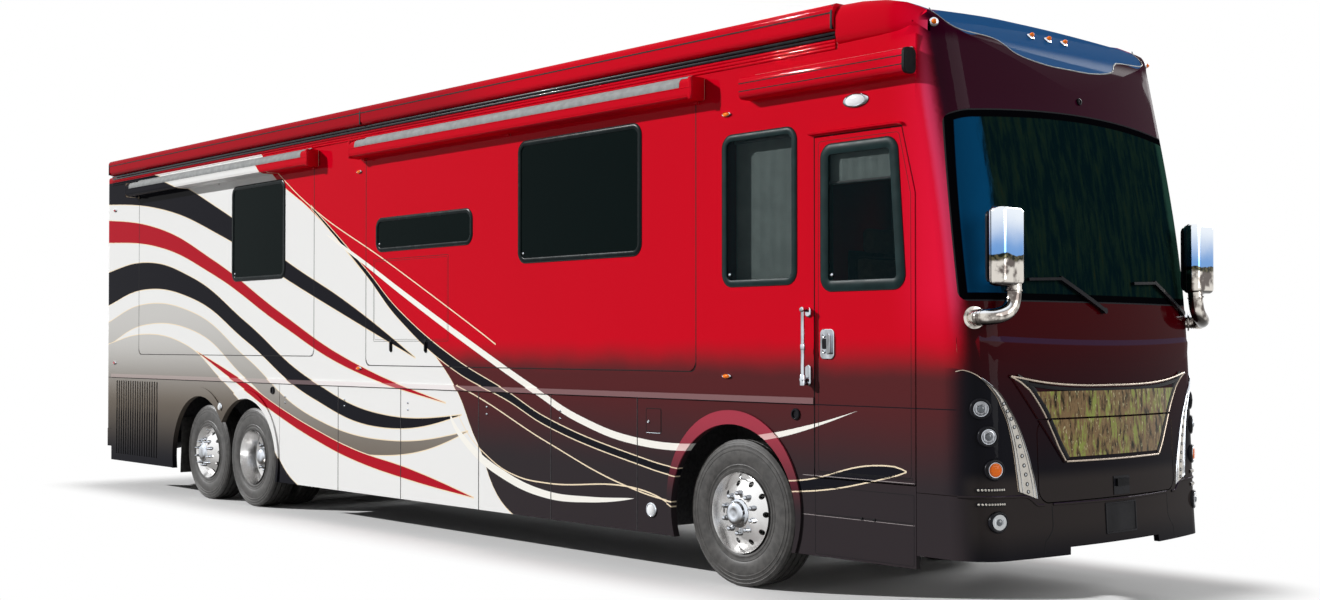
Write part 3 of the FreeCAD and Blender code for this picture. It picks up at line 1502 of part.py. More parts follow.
def mirror():
    """A rounded head on an arm that sweeps out of the cap's corner and up into it."""
    depth, width, height = num("mirror_depth"), num("mirror_width"), num("mirror_height")
    ahead, half, low = num("mirror_x"), num("mirror_half"), num("mirror_bottom")
    block = Part.makeBox(depth, width, height, Vector(ahead - depth / 2, -half - width / 2, low))
    uprights = [edge for edge in block.Edges if edge.BoundBox.ZLength > height / 2]
    head = block.makeFillet(num("mirror_radius"), uprights)
    rims = [edge for edge in head.Edges if edge.BoundBox.ZLength < num("cut_overrun") / 10]
    head = head.makeFillet(num("mirror_crown"), rims)
    foot_x = num("half_length") - num("arm_base")
    side, reach, radius = num("half_width"), num("arm_reach"), num("arm_radius")
    foot = num("arm_height")
    into = half - num("arm_inward")
    points = [Vector(foot_x, -side + 2 * reach, foot),
              Vector(foot_x + reach, -side + reach, foot),
              Vector((foot_x + reach + ahead) / 2, -side + reach / 2, foot),
              Vector(ahead - radius / 2, -(side + half) / 2, foot + radius / 8),
              Vector(ahead + radius / 5, -(half + into) / 2, (2 * foot + low) / 3),
              Vector(ahead + radius / 5, -into, low),
              Vector(ahead + radius / 5, -into, low + radius)]
    curve = Part.BSplineCurve()
    curve.interpolate(points)
    spine = Part.Wire([curve.toShape()])
    ring = Part.Wire([Part.makeCircle(radius, points[0], curve.tangent(curve.FirstParameter)[0])])
    arm = spine.makePipeShell([ring], True, True).cut(nose_outer)
    arm_solid = made("mirror_arm", max(arm.Solids, key=lambda solid: solid.Volume))
    return join("mirror", [made("mirror_head", head), arm_solid])


right_mirror = mirror()
keep("mirrors", group("mirror_pair", [right_mirror, mirrored("mirror_left", right_mirror)]))


def grab_handle():
    x = "door_rear - handle_back"
    out = "-half_width - handle_stand"
    bar = cylinder("handle_bar", "z", (x, out, "handle_bottom"), "handle_radius", "handle_height")
    posts = [cylinder("handle_post_%d" % number, "y", (x, out, height), "handle_radius", "handle_stand")
             for number, height in enumerate(("handle_bottom + handle_radius",
                                              "handle_bottom + handle_height - handle_radius"))]
    return join("handle", [bar] + posts)


keep("grab_handle", grab_handle())


def wiper(base):
    """One arm and its blade, lying along the glass, on a spindle through the cap under it."""
    layer = nose_solid(-num("wiper_offset") - num("wiper_depth"), num("hood_seam")).cut(
        nose_solid(-num("wiper_offset"), num("hood_seam")))
    height = num("wiper_base_height")
    elbow = (base - num("wiper_elbow_reach"), height + num("wiper_elbow_rise"))
    tip = (elbow[0] - num("wiper_blade_reach"), elbow[1] - num("wiper_blade_drop"))
    solid = None
    for start, end, width in (((base, height), elbow, num("wiper_arm_width")),
                              (elbow, tip, num("wiper_blade_width"))):
        run = Vector(0, end[0] - start[0], end[1] - start[1]).normalize() * (width / 2)
        across_run = Vector(0, -run.z, run.y)
        ends = [Vector(0, start[0], start[1]) - run, Vector(0, end[0], end[1]) + run]
        corners = [ends[0] - across_run, ends[1] - across_run, ends[1] + across_run, ends[0] + across_run]
        bar = layer.common(prism([(0, corner.y, corner.z) for corner in corners],
                                 Vector(num("cap_seam"), 0, 0), Vector(num("overall_length"), 0, 0)))
        solid = bar if solid is None else solid.fuse(bar)
    spindle = Part.makeCylinder(num("wiper_spindle"), num("overall_length"),
                                Vector(num("cap_seam"), base, height), Vector(1, 0, 0))
    ring = nose_solid(-num("wiper_offset") - num("wiper_depth"), num("hood_seam")).cut(nose_outer)
    return solid.fuse(ring.common(spindle))


wipers = [wiper(num("wiper_right_base")), wiper(num("wiper_left_base"))]
keep("wipers", made("wiper_pair", Part.makeCompound([solid for piece in wipers for solid in piece.Solids])))
keep("lamps", group("lamp_set", [corner_lamps, tail_lamps()]))


# Check every object, then write one file for each sub-part

doc.recompute()
for item in doc.Objects:
    if "Invalid" in item.State or "Error" in item.State:
        raise RuntimeError("%s is %s" % (item.Label, item.State))
for name, piece in parts.items():
    if piece.Shape.isNull() or not piece.Shape.isValid():
        raise RuntimeError("the shape of %s is null or not valid" % name)
os.makedirs("parts", exist_ok=True)
for name, piece in parts.items():
    piece.Shape.exportStep(os.path.join("parts", name + ".step"))
print("%d sub-parts written" % len(parts))
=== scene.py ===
# %% [markdown]
# A long bus-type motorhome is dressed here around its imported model. The model's solids give every
# panel, wheel and window its true place, so this file only adds finishes and fine pieces to them.
# All lengths are metres: +X is forward, +Y is the vehicle's left, and the ground is at Z = 0.

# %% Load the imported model
import math

import bmesh
import bpy
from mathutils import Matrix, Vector
from mathutils.bvhtree import BVHTree


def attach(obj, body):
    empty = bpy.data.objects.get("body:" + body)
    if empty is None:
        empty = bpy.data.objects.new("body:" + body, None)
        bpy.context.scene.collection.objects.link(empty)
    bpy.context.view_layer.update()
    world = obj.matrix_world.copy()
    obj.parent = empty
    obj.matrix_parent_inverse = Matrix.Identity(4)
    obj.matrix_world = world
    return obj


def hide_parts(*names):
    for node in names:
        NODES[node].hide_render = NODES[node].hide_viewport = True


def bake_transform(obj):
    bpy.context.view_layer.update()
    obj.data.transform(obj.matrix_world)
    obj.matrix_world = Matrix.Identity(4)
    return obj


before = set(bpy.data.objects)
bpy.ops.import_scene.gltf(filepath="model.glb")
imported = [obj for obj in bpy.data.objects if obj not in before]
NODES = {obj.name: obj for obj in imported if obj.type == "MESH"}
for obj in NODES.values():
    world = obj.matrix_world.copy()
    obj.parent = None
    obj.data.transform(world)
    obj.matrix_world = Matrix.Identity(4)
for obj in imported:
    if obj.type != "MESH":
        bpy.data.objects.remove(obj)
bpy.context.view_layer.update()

# %% [markdown]
# The camera stands where the photographer stood: at the right front corner, at eye height. Its place
# and focal length were worked out from the wheels and seams, which are known sizes, so the drawn
# vehicle and the real one fill the frame alike. The small shift moves the picture without tilting it.

# %% Camera
PHOTO_WIDTH, PHOTO_HEIGHT = 1320, 600
FOCAL_PIXELS = 1582.0
CENTRE_PIXEL = (659.2, 322.7)
EYE = (12.7076, -9.1351, 1.7367)
HEADING = math.radians(138.8326)
UPWARD = math.radians(0.7993)
SENSOR = 36.0

camera = bpy.data.objects.new("camera", bpy.data.cameras.new("camera"))
camera.data.sensor_width = SENSOR
camera.data.lens = SENSOR * FOCAL_PIXELS / PHOTO_WIDTH
camera.data.shift_x = (PHOTO_WIDTH / 2 - CENTRE_PIXEL[0]) / PHOTO_WIDTH
camera.data.shift_y = (CENTRE_PIXEL[1] - PHOTO_HEIGHT / 2) / PHOTO_WIDTH
camera.location = EYE
camera.rotation_euler = (math.pi / 2 + UPWARD, 0, HEADING - math.pi / 2)
bpy.context.scene.collection.objects.link(camera)
bpy.context.scene.camera = camera
print("lens %.1f mm" % camera.data.lens)

# %% [markdown]
# Shader maths reads best as sums. A Wire wraps one output of a node, and adding, taking away or
# multiplying two of them adds the Math nodes that do it. Every other node comes from node(), which
# sets what kind of node it is first and its sockets after.

# %% Wires for shader maths


def plug(socket, value):
    """Sets a socket to a number or colour, or links a wire to it."""
    if isinstance(value, Wire):
        socket.id_data.links.new(value.socket, socket)
    elif isinstance(value, tuple) and len(value) == 3 and socket.type == "RGBA":
        socket.default_value = (*value, 1)
    else:
        socket.default_value = value


class Wire:
    """One output of a shader node, for use in Python sums."""

    def __init__(self, socket):
        self.socket = socket

    def node(self, kind, values, settings=None, output=0):
        """A new node in the same tree: its settings first, then its sockets' values or links."""
        made = self.socket.id_data.nodes.new(kind)
        for name, value in (settings or {}).items():
            setattr(made, name, value)
        for key, value in values.items():
            plug(made.inputs[key], value)
        return Wire(made.outputs[output])

    def maths(self, operation, *values):
        return self.node("ShaderNodeMath", dict(enumerate(values)), {"operation": operation})

    def __add__(self, other):
        return self.maths("ADD", self, other)

    __radd__ = __add__

    def __sub__(self, other):
        return self.maths("SUBTRACT", self, other)

    def __rsub__(self, other):
        return self.maths("SUBTRACT", other, self)

    def __mul__(self, other):
        return self.maths("MULTIPLY", self, other)

    __rmul__ = __mul__

    def __truediv__(self, other):
        return self.maths("DIVIDE", self, other)

    def __abs__(self):
        return self.maths("ABSOLUTE", self)

    def least(self, other):
        return self.maths("MINIMUM", self, other)

    def most(self, other):
        return self.maths("MAXIMUM", self, other)

    def rise(self, low, high):
        """0 below low and 1 above high, smooth between."""
        return self.node("ShaderNodeMapRange", {0: self, 1: low, 2: high, 3: 0.0, 4: 1.0},
                         {"interpolation_type": "SMOOTHSTEP"})

    def spans(self, low, full, fading, high):
        """Rises from 0 at low to 1 at full, and falls again from fading to high."""
        return self.rise(low, full) * (1.0 - self.rise(fading, high))

    def mix(self, without, fully):
        """The colour that this factor gives between two others."""
        return self.node("ShaderNodeMix", {0: self, 6: without, 7: fully}, {"data_type": "RGBA"}, 2)

    def noise(self, scale, detail=2.0, roughness=0.5):
        """A cloud pattern on this position."""
        return self.node("ShaderNodeTexNoise",
                         {"Vector": self, "Scale": scale, "Detail": detail, "Roughness": roughness})

    def split(self):
        """The x, y and z of this position."""
        x = self.node("ShaderNodeSeparateXYZ", {0: self})
        return x, Wire(x.socket.node.outputs[1]), Wire(x.socket.node.outputs[2])


# %% [markdown]
# A finish is one Principled shader. What is the same all over the surface is set on its sockets
# here; what changes from place to place is wired in by each finish's own function.

# %% A new finish
PLAIN_SHINE = 0.05


def finish(name, colour, roughness=0.5, metallic=0.0, **more):
    """A material with its constant values. More values are sockets' names with _ for spaces."""
    material = bpy.data.materials.new(name)
    material.use_nodes = True
    shader = material.node_tree.nodes["Principled BSDF"]
    plug(shader.inputs["Base Color"], colour)
    shader.inputs["Roughness"].default_value = roughness
    shader.inputs["Metallic"].default_value = metallic
    shader.inputs["Specular IOR Level"].default_value = PLAIN_SHINE
    for socket, value in more.items():
        plug(shader.inputs[socket.replace("_", " ")], value)
    return material


def wire_in(material, socket, value):
    plug(material.node_tree.nodes["Principled BSDF"].inputs[socket], value)


def place_in(material, output=3):
    """The object position, or with output 1 the object normal, as a wire."""
    coordinates = material.node_tree.nodes.new("ShaderNodeTexCoord")
    return Wire(coordinates.outputs[output])


def bumps(material, height, distance, strength=1.0):
    """Sends a height in metres to the shader as a bump."""
    wire_in(material, "Normal",
            height.node("ShaderNodeBump", {"Height": height, "Distance": distance, "Strength": strength}))


# %% [markdown]
# The paint is one coat over some thirty panels, so it can't be laid panel by panel: a stripe has to
# run on over a door's gap. It reads the object position instead, which every panel shares, and each
# band is the space between two curves of height along the vehicle. Behind the last axle the curves
# go on round the rear corners, so that the plain sweeping ribbons meet across the back.

# %% Curves and bands of the paint
WRAP_REAR, WRAP_FRONT = -8.4, 7.0
HIGHEST = 4.5
SOFT_EDGE = 0.0015
CREAM = (0.86, 0.72, 0.52)
PINSTRIPE = 0.009


def curve(along, points, low=WRAP_REAR, high=WRAP_FRONT, top=HIGHEST):
    """A height that runs smoothly through the points (along, height)."""
    made = along.node("ShaderNodeFloatCurve", {1: (along - low) / (high - low)})
    mapping = made.socket.node.mapping
    line = mapping.curves[0]
    for number, (position, height) in enumerate(points):
        spot = ((position - low) / (high - low), height / top)
        if number < 2:
            line.points[number].location = spot
        else:
            line.points.new(*spot)
    mapping.update()
    return made * top


def band(colour, along, height, top, bottom, fill, edge=PINSTRIPE, edge_colour=CREAM):
    """Lays a band between two curves over the colour so far, with a thin outline round it."""
    start, end = top[0][0], top[-1][0]
    depth = (curve(along, top) - height).least(height - curve(along, bottom))
    depth = depth.least(along - start).least(end - along)
    if edge:
        colour = (depth + edge).rise(-SOFT_EDGE, SOFT_EDGE).mix(colour, edge_colour)
    return depth.rise(-SOFT_EDGE, SOFT_EDGE).mix(colour, fill)


def line(colour, along, height, points, width, fill, widths=None):
    """Lays a stripe along one curve. Its width is even, or tapers through (along, width) points."""
    half = curve(along, widths, top=0.2) * 0.5 if widths else width / 2
    depth = half - abs(height - curve(along, points))
    depth = depth.least(along - points[0][0]).least(points[-1][0] - along)
    return depth.rise(-SOFT_EDGE, SOFT_EDGE).mix(colour, fill)


# %% [markdown]
# The colours fade from candy red at the windows through brown to near black at the skirt, with an
# airbrushed, slightly cloudy edge. The white field ends at a long diagonal, and ribbons in black,
# silver, taupe and red sweep down from the rear and taper out along the bays.

# %% The coach's colours
CANDY_RED = (0.56, 0.001, 0.012)
BROWN = (0.088, 0.017, 0.019)
CHARCOAL = (0.03, 0.024, 0.027)
PEARL = (0.8, 0.8, 0.79)
INK = (0.008, 0.008, 0.012)
SILVER = (0.56, 0.55, 0.53)
TAUPE = (0.16, 0.135, 0.11)
DEEP_RED = (0.42, 0.006, 0.018)
VISOR_SKY_REFLECTION = (0.02, 0.105, 0.29)
CAP_MAROON = (0.058, 0.001, 0.003)
CAP_PLUM = (0.036, 0.002, 0.013)
SKY_SHEEN = (0.045, 0.022, 0.065)
TRIM_BEIGE = (0.46, 0.38, 0.29)
LIP_HIGHLIGHT = (0.55, 0.06, 0.1)
PILLAR_HIGHLIGHT = (0.8, 0.008, 0.05)
EDGE_GLINT = (0.45, 0.4, 0.4)
CORNER_HIGHLIGHT = (0.85, 0.12, 0.3)
BUMPER_GREY_AND_SHEEN = (0.044, 0.036, 0.034)
REAR_CORNER = -6.7
HALF_WIDTH = 1.295

WHITE_EDGE = [(-8.4, 4.3), (-3.4, 4.2), (-2.3, 3.44), (-1.58, 3.08), (-0.51, 2.39), (0.053, 2.03),
              (0.63, 1.67), (1.02, 1.34), (1.35, 0.88), (2.05, 0.25), (7.0, 0.1)]
FLOOR_LINE = [(-8.4, 0.1), (7.0, 0.1)]
RIBBONS = [
    # top curve, bottom curve, fill
    ([(-8.4, 4.05), (-6.9, 3.98), (-5.2, 3.72), (-3.6, 3.22), (-2.0, 2.56), (-0.9, 2.16), (0.35, 1.62)],
     [(-8.4, 3.55), (-6.9, 3.5), (-5.2, 3.34), (-3.6, 2.94), (-2.0, 2.38), (-0.9, 2.02), (0.35, 1.62)],
     INK),
    ([(-8.4, 3.36), (-6.9, 3.3), (-5.3, 3.12), (-3.8, 2.68), (-2.2, 2.06), (-0.8, 1.58), (0.85, 1.22)],
     [(-8.4, 3.06), (-6.9, 3.02), (-5.3, 2.9), (-3.8, 2.52), (-2.2, 1.94), (-0.8, 1.5), (0.85, 1.22)],
     DEEP_RED),
    ([(-8.4, 2.46), (-6.9, 2.62), (-5.6, 2.72), (-4.4, 2.52), (-3.0, 1.98), (-1.5, 1.36), (-0.2, 1.08),
      (1.1, 1.12)],
     [(-8.4, 2.02), (-6.9, 2.2), (-5.6, 2.4), (-4.4, 2.28), (-3.0, 1.78), (-1.5, 1.19), (-0.2, 0.96),
      (1.1, 1.12)], INK),
    ([(-8.4, 1.74), (-6.9, 1.98), (-5.6, 2.22), (-4.4, 2.12), (-3.0, 1.6), (-1.5, 1.0), (-0.2, 0.84),
      (1.2, 0.98)],
     [(-8.4, 1.5), (-6.9, 1.7), (-5.6, 1.98), (-4.4, 1.92), (-3.0, 1.38), (-1.5, 0.8), (-0.2, 0.7),
      (1.2, 0.98)], SILVER),
]
LOWER_REAR = [(-8.4, 1.55), (-6.9, 1.72), (-5.6, 1.86), (-4.6, 1.76), (-3.6, 1.36), (-2.6, 0.86),
              (-1.62, 0.25), (7.0, 0.1)]
RED_SWOOSH = ([(-4.2, 1.66), (-3.0, 1.33), (-2.29, 1.1), (-1.46, 0.88), (-0.7, 0.72), (0.24, 0.6),
               (1.29, 0.41)], [(-4.2, 1.66), (-3.0, 1.25), (-2.29, 1.01), (-1.46, 0.78), (-0.7, 0.62),
                               (0.24, 0.5), (1.29, 0.41)])
INK_SLIVER = ([(-1.58, 3.13), (-0.51, 2.45), (0.08, 2.05), (1.03, 1.6), (1.79, 1.34), (2.36, 1.13),
               (3.47, 0.885), (3.97, 0.815), (5.12, 0.8), (6.0, 0.95), (6.13, 0.925)],
              [(-1.58, 3.11), (-0.51, 2.4), (0.08, 1.97), (1.03, 1.5), (1.79, 1.27), (2.36, 1.07),
               (3.47, 0.833), (3.97, 0.76), (5.12, 0.735), (6.0, 0.885), (6.13, 0.925)])
WHITE_STRIPE = [(-1.3, 2.84), (-0.51, 2.505), (0.08, 2.24), (1.39, 1.68), (2.18, 1.362), (2.81, 1.132),
                (3.47, 1.001), (4.12, 0.985), (4.83, 1.086), (5.12, 1.139), (5.72, 1.3)]
WHITE_STRIPE_WIDTHS = [(-1.3, 0.0), (-0.2, 0.05), (1.4, 0.062), (4.1, 0.052), (5.0, 0.04), (5.45, 0.016),
                       (5.72, 0.0)]
LOW_SWOOSH = [(0.9, 1.14), (1.14, 0.91), (1.7, 0.648), (2.36, 0.51), (2.89, 0.511), (3.45, 0.56)]
LOW_SWOOSH_WIDTHS = [(0.9, 0.03), (1.3, 0.075), (2.36, 0.06), (2.9, 0.045), (3.45, 0.0)]
HIGH_PINSTRIPE = [(-2.3, 3.53), (-1.47, 3.07), (-0.23, 2.555), (0.67, 2.165), (1.37, 1.855), (1.62, 1.74)]
LOW_PINSTRIPES = ([(1.03, 1.38), (1.4, 1.271), (2.36, 0.936), (3.47, 0.626), (3.97, 0.56)],
                  [(1.06, 1.113), (1.45, 0.806), (1.94, 0.634), (2.36, 0.605), (3.47, 0.639),
                   (3.94, 0.51)],)
RAIL_RED = (0.36, 0.004, 0.012)
HORN_LINE = [(0.6, 0.83), (0.8, 0.88), (0.97, 0.92), (1.11, 0.95), (1.25, 1.0), (1.35, 1.06), (1.44, 1.12),
             (1.526, 1.2), (1.56, 1.236), (1.579, 1.267), (1.6, 1.3)]
VISOR_LINE = [(0.0, 3.6), (0.28, 3.605), (0.55, 3.65), (0.72, 3.74), (1.08, 3.77), (1.2, 3.93)]
CLOUD_SCALE, CLOUD_SHIFT = 2.3, 0.09
FADE_MAROON, FADE_DARK = (1.5, 1.8), (0.75, 1.45)
WRAP_START = 0.06
LOWER_FADE, LOWER_SILVER, RIBBON_FADE = (0.35, 1.25), (1.0, 1.9), (0.5, 2.2)
STRIPE_WHITE = (0.88, 0.86, 0.8)
print("ribbons", len(RIBBONS), "and stripes", 2 + 1 + len(LOW_PINSTRIPES))

# %% [markdown]
# First the sides are painted: the fade, the white field, the ribbons, and the long stripes on top.
# Each call lays one band over the colour so far, so the order of the lines is the painter's order.

# %% Paint of the sides


def side_colour(x, y, height, misty):
    """The fade from red to dark, the white field, the ribbons and the stripes."""
    round_rear = (-1 * x).rise(-REAR_CORNER, -REAR_CORNER + WRAP_START)
    along = x - round_rear * (HALF_WIDTH ** 2 - y * y) * (0.5 / HALF_WIDTH)
    red = misty.rise(*FADE_MAROON).mix(misty.rise(*FADE_DARK).mix(CHARCOAL, BROWN), CANDY_RED)
    lower = height.rise(*LOWER_SILVER).mix(height.rise(*LOWER_FADE).mix(INK, TAUPE), SILVER)
    silver = height.rise(*RIBBON_FADE).mix(TAUPE, SILVER)
    colour = band(red, along, height, WHITE_EDGE, FLOOR_LINE, PEARL)
    for top, bottom, fill in RIBBONS:
        colour = band(colour, along, height, top, bottom, silver if fill == SILVER else fill)
    colour = band(colour, along, height, LOWER_REAR, FLOOR_LINE, lower)
    colour = band(colour, along, height, *RED_SWOOSH, DEEP_RED)
    colour = band(colour, along, height, *INK_SLIVER, INK)
    for points in LOW_PINSTRIPES:
        colour = line(colour, along, height, points, PINSTRIPE * 1.2, CREAM)
    colour = line(colour, along, height, HIGH_PINSTRIPE, PINSTRIPE * 1.3, CREAM)
    for points, widths in ((WHITE_STRIPE, WHITE_STRIPE_WIDTHS), (LOW_SWOOSH, LOW_SWOOSH_WIDTHS)):
        colour = line(colour, along, height, points, 0, STRIPE_WHITE, widths)
    return colour


# %% [markdown]
# The nose has colours of its own: maroon that darkens to plum above the screen, a visor panel in a
# painted blue sky reflection, a black horn round each row of lamps and a grey bumper, its grey partly a
# painted reflection. A factor that looks at the object's normal tells the nose from the sides, and the
# corners between them get a painted pinkish highlight.

# %% Paint of the nose
NOSE_TURN, NOSE_START = (0.22, 0.66), (6.22, 6.24)
CAP_FADE, CAP_DARK, PLUM_FADE = (1.25, 1.95), (0.85, 1.35), (2.3, 3.3)
CAP_INK = (0.02, 0.006, 0.01)
LOW_NOSE = (0.36, 0.62, 0.86, 0.96)
CORNER_TURN = (0.12, 0.3, 0.36, 0.6)


def nose_base(colour, x, side, height, misty, front):
    """The maroon cap, the visor panel in a painted blue sky reflection, the rail over the rooms and the
    black horns.
    """
    cap = misty.rise(*CAP_FADE).mix(misty.rise(*CAP_DARK).mix(INK, CAP_INK), CAP_MAROON)
    colour = front.mix(colour, misty.rise(*PLUM_FADE).mix(cap, CAP_PLUM))
    # The visor's blue is a painted reflection of the sky on its dark panel.
    visor = (height - curve(side, VISOR_LINE, 0.0, 1.3)).rise(0.0, 0.004) * x.rise(5.98, 6.0)
    colour = (visor * (1.2 - side).rise(0.0, 0.01)).mix(colour, VISOR_SKY_REFLECTION)
    head_rail = height.rise(3.745, 3.755) * (x * -1).rise(-2.2, -0.6)
    colour = head_rail.mix(colour, RAIL_RED)
    horn = (side - curve(height, HORN_LINE, 0.0, 2.0, 2.0)).rise(0.0, 0.004) * x.rise(6.4, 6.62)
    return (horn * height.spans(0.8, 0.806, 1.585, 1.6)).mix(colour, INK)


def nose_lights(colour, x, side, height, misty, front, facing_x, facing_z):
    """Painted highlights on pillar and corner, a painted reflection in the bumper's grey, a painted sky
    sheen on what faces up.
    """
    # A painted highlight brightens the red of the pillar beside the nose.
    pillar_highlight = x.rise(5.95, 6.45) * (1.0 - front) * misty.rise(1.6, 2.1) * side.rise(1.05, 1.15)
    colour = (pillar_highlight * 0.6).mix(colour, PILLAR_HIGHLIGHT)
    # A painted pinkish highlight along the corner where the side turns into the nose.
    corner = facing_x.spans(*CORNER_TURN) * x.rise(6.2, 6.3) * misty.rise(1.7, 2.2)
    colour = (corner * 0.3).mix(colour, CORNER_HIGHLIGHT)
    # The bumper's dark grey, lightened in part as a painted reflection of the sky.
    colour = (front * height.spans(*LOW_NOSE) * 0.8).mix(colour, BUMPER_GREY_AND_SHEEN)
    # A painted sheen of the sky on the nose's faces that lean upwards.
    sheen = front * facing_z.rise(0.16, 0.42) * (1.0 - height.rise(3.1, 3.4))
    return sheen.mix(colour, SKY_SHEEN)


print("nose colours from x", NOSE_START[1])

# %% [markdown]
# Small features are painted by their place too: a painted highlight on the moulded rail along the side,
# with a dark line under it, a painted highlight on the lips of the front wheel arches, and two painted
# highlight lines under the entry door. What faces inwards is not paint at all but beige trim, or black
# below the floor.

# %% Painted trims, and the inside
SIDE_RAIL, UNDER_RAIL = (1.334, 1.337, 1.376, 1.38), (1.3285, 1.33, 1.335, 1.3365)
RAIL_HIGHLIGHT = (0.9, 0.62, 0.64)
FRONT_HUB = (4.531, 0.53)
ARCH_LIP = (0.62, 0.63, 0.735, 0.745)
DOORWAY = (5.22, 5.24, 6.2, 6.21)
GLINT_HEIGHTS = (0.851, 0.584)


def side_trims(colour, x, side, height):
    """Painted highlights on the moulded rail, the lips of the front arches and two lines under the door; a
    dark line under the rail.
    """
    # A painted highlight lightens the moulded rail along the side.
    pale = colour.node("ShaderNodeMix", {0: 0.16, 6: colour, 7: RAIL_HIGHLIGHT}, {"data_type": "RGBA"}, 2)
    colour = (height.spans(*SIDE_RAIL) * side.rise(1.296, 1.299)).mix(colour, pale)
    colour = (height.spans(*UNDER_RAIL) * side.rise(1.28, 1.29)).mix(colour, INK)
    past_x, past_z = x - FRONT_HUB[0], height - FRONT_HUB[1]
    # A painted highlight on the lip round each front wheel arch.
    lip = height.maths("SQRT", past_x * past_x + past_z * past_z).spans(*ARCH_LIP) * side.rise(1.297, 1.299)
    colour = (lip * height.rise(0.55, 1.25) * 0.62).mix(colour, LIP_HIGHLIGHT)
    # Two painted highlights along the edges under the entry door.
    in_door = x.spans(*DOORWAY) * side.rise(1.27, 1.28)
    for low in GLINT_HEIGHTS:
        colour = (in_door * height.spans(low, low + 0.001, low + 0.004,
                                         low + 0.005) * 0.7).mix(colour, EDGE_GLINT)
    return colour


def coach_colour(position, normal):
    """The paint's colour at a place on the outside, and the trim's on the inside."""
    x, y, height = position.split()
    facing_x, facing_y, facing_z = normal.split()
    side = abs(y)
    misty = height + (position.noise(CLOUD_SCALE, 4.0) - 0.5) * CLOUD_SHIFT
    front = facing_x.rise(*NOSE_TURN) * x.rise(*NOSE_START)
    colour = nose_base(side_colour(x, y, height, misty), x, side, height, misty, front)
    colour = side_trims(colour, x, side, height)
    colour = nose_lights(colour, x, side, height, misty, front, facing_x, facing_z)
    outward = facing_y * y + facing_x * x * abs(x).rise(5.2, 5.4) * 0.5
    inside = height.rise(0.9, 1.0).mix(INK, TRIM_BEIGE)
    return outward.rise(-0.4, -0.2).most(height.rise(3.68, 3.69)).mix(inside, colour)


CLEAR_COAT = 0.16


def coach_paint():
    """Paint under clear coat, with the faint waves of large panels. The visor panel is matt."""
    material = finish("coach_paint", CANDY_RED, roughness=0.45, Coat_Weight=CLEAR_COAT, Coat_Roughness=0.03,
                      Coat_IOR=1.34, Specular_IOR_Level=0.0)
    position = place_in(material)
    wire_in(material, "Base Color", coach_colour(position, place_in(material, 1)))
    x, _, height = position.split()
    wire_in(material, "Coat Weight", CLEAR_COAT - height.rise(3.66, 3.74) * x.rise(5.98, 6.05) * 0.15)
    bumps(material, position.noise(1.7, 1.0), 0.0015)
    return material


COACH_PAINT = coach_paint()
print("coach paint", len(COACH_PAINT.node_tree.nodes), "nodes")

# %% [markdown]
# The other finishes are white roof coat, black chassis paint, rubber, polished aluminium and chrome,
# tinted glass, and the plain plastics and leather of the cab. Each drifts a little in colour and
# gloss, as real ones do, at the real scale.

# %% Plain finishes


def cloudy(name, colour, roughness, scale, spread=0.12, relief=0.0, metallic=0.0, **more):
    """A finish whose colour and gloss drift a little, with an optional fine relief."""
    material = finish(name, colour, roughness, metallic, **more)
    position = place_in(material)
    cloud = position.noise(scale, 4.0)
    wire_in(material, "Base Color", cloud.rise(0.3, 0.7).mix(tuple(c * (1 - spread) for c in colour),
                                                             tuple(c * (1 + spread) for c in colour)))
    wire_in(material, "Roughness", roughness + (cloud - 0.5) * 0.2)
    if relief:
        bumps(material, position.noise(scale * 6, 3.0), relief)
    return material


ROOF_WHITE = cloudy("roof_white", (0.72, 0.72, 0.7), 0.42, 3.0, 0.05, 0.0004)


def roof_coat():
    """White coating on top, and the side's paint on the roof's upright edge."""
    material = finish("roof_coat", (0.72, 0.72, 0.7), 0.42, Coat_Weight=0.3)
    position = place_in(material)
    x, y, height = position.split()
    mottled = position.noise(3.0, 4.0).rise(0.3, 0.7).mix((0.68, 0.68, 0.66), (0.75, 0.75, 0.74))
    wire_in(material, "Base Color", height.rise(3.832, 3.838).mix(RAIL_RED, mottled))
    bumps(material, position.noise(18.0, 3.0), 0.0004)
    return material


ROOF_COAT = roof_coat()
CHASSIS_BLACK = cloudy("chassis_black", (0.022, 0.022, 0.024), 0.48, 6.0, 0.3, 0.0006)
CAST_GREY = cloudy("cast_grey", (0.09, 0.09, 0.095), 0.55, 14.0, 0.25, 0.001, 0.5)
TYRE_RUBBER = cloudy("tyre_rubber", (0.04, 0.038, 0.036), 0.46, 22.0, 0.35, 0.0003, Specular_IOR_Level=0.35)
SEAL_RUBBER = cloudy("seal_rubber", (0.01, 0.01, 0.011), 0.5, 30.0, 0.2)
BLACK_TRIM = cloudy("black_trim", (0.008, 0.008, 0.011), 0.3, 18.0, 0.2, 0.0, Coat_Weight=0.12)


# %% [markdown]
# Metal has little colour of its own and lives from what it mirrors. A studio is emptier than a street,
# so the metals here carry a painted reflection: pale where they face up and deep where they face down.
# The mirror heads also carry painted sky and ground reflections, fixed to the object by height, and so
# seen alike from every side.

# %% Bright metals


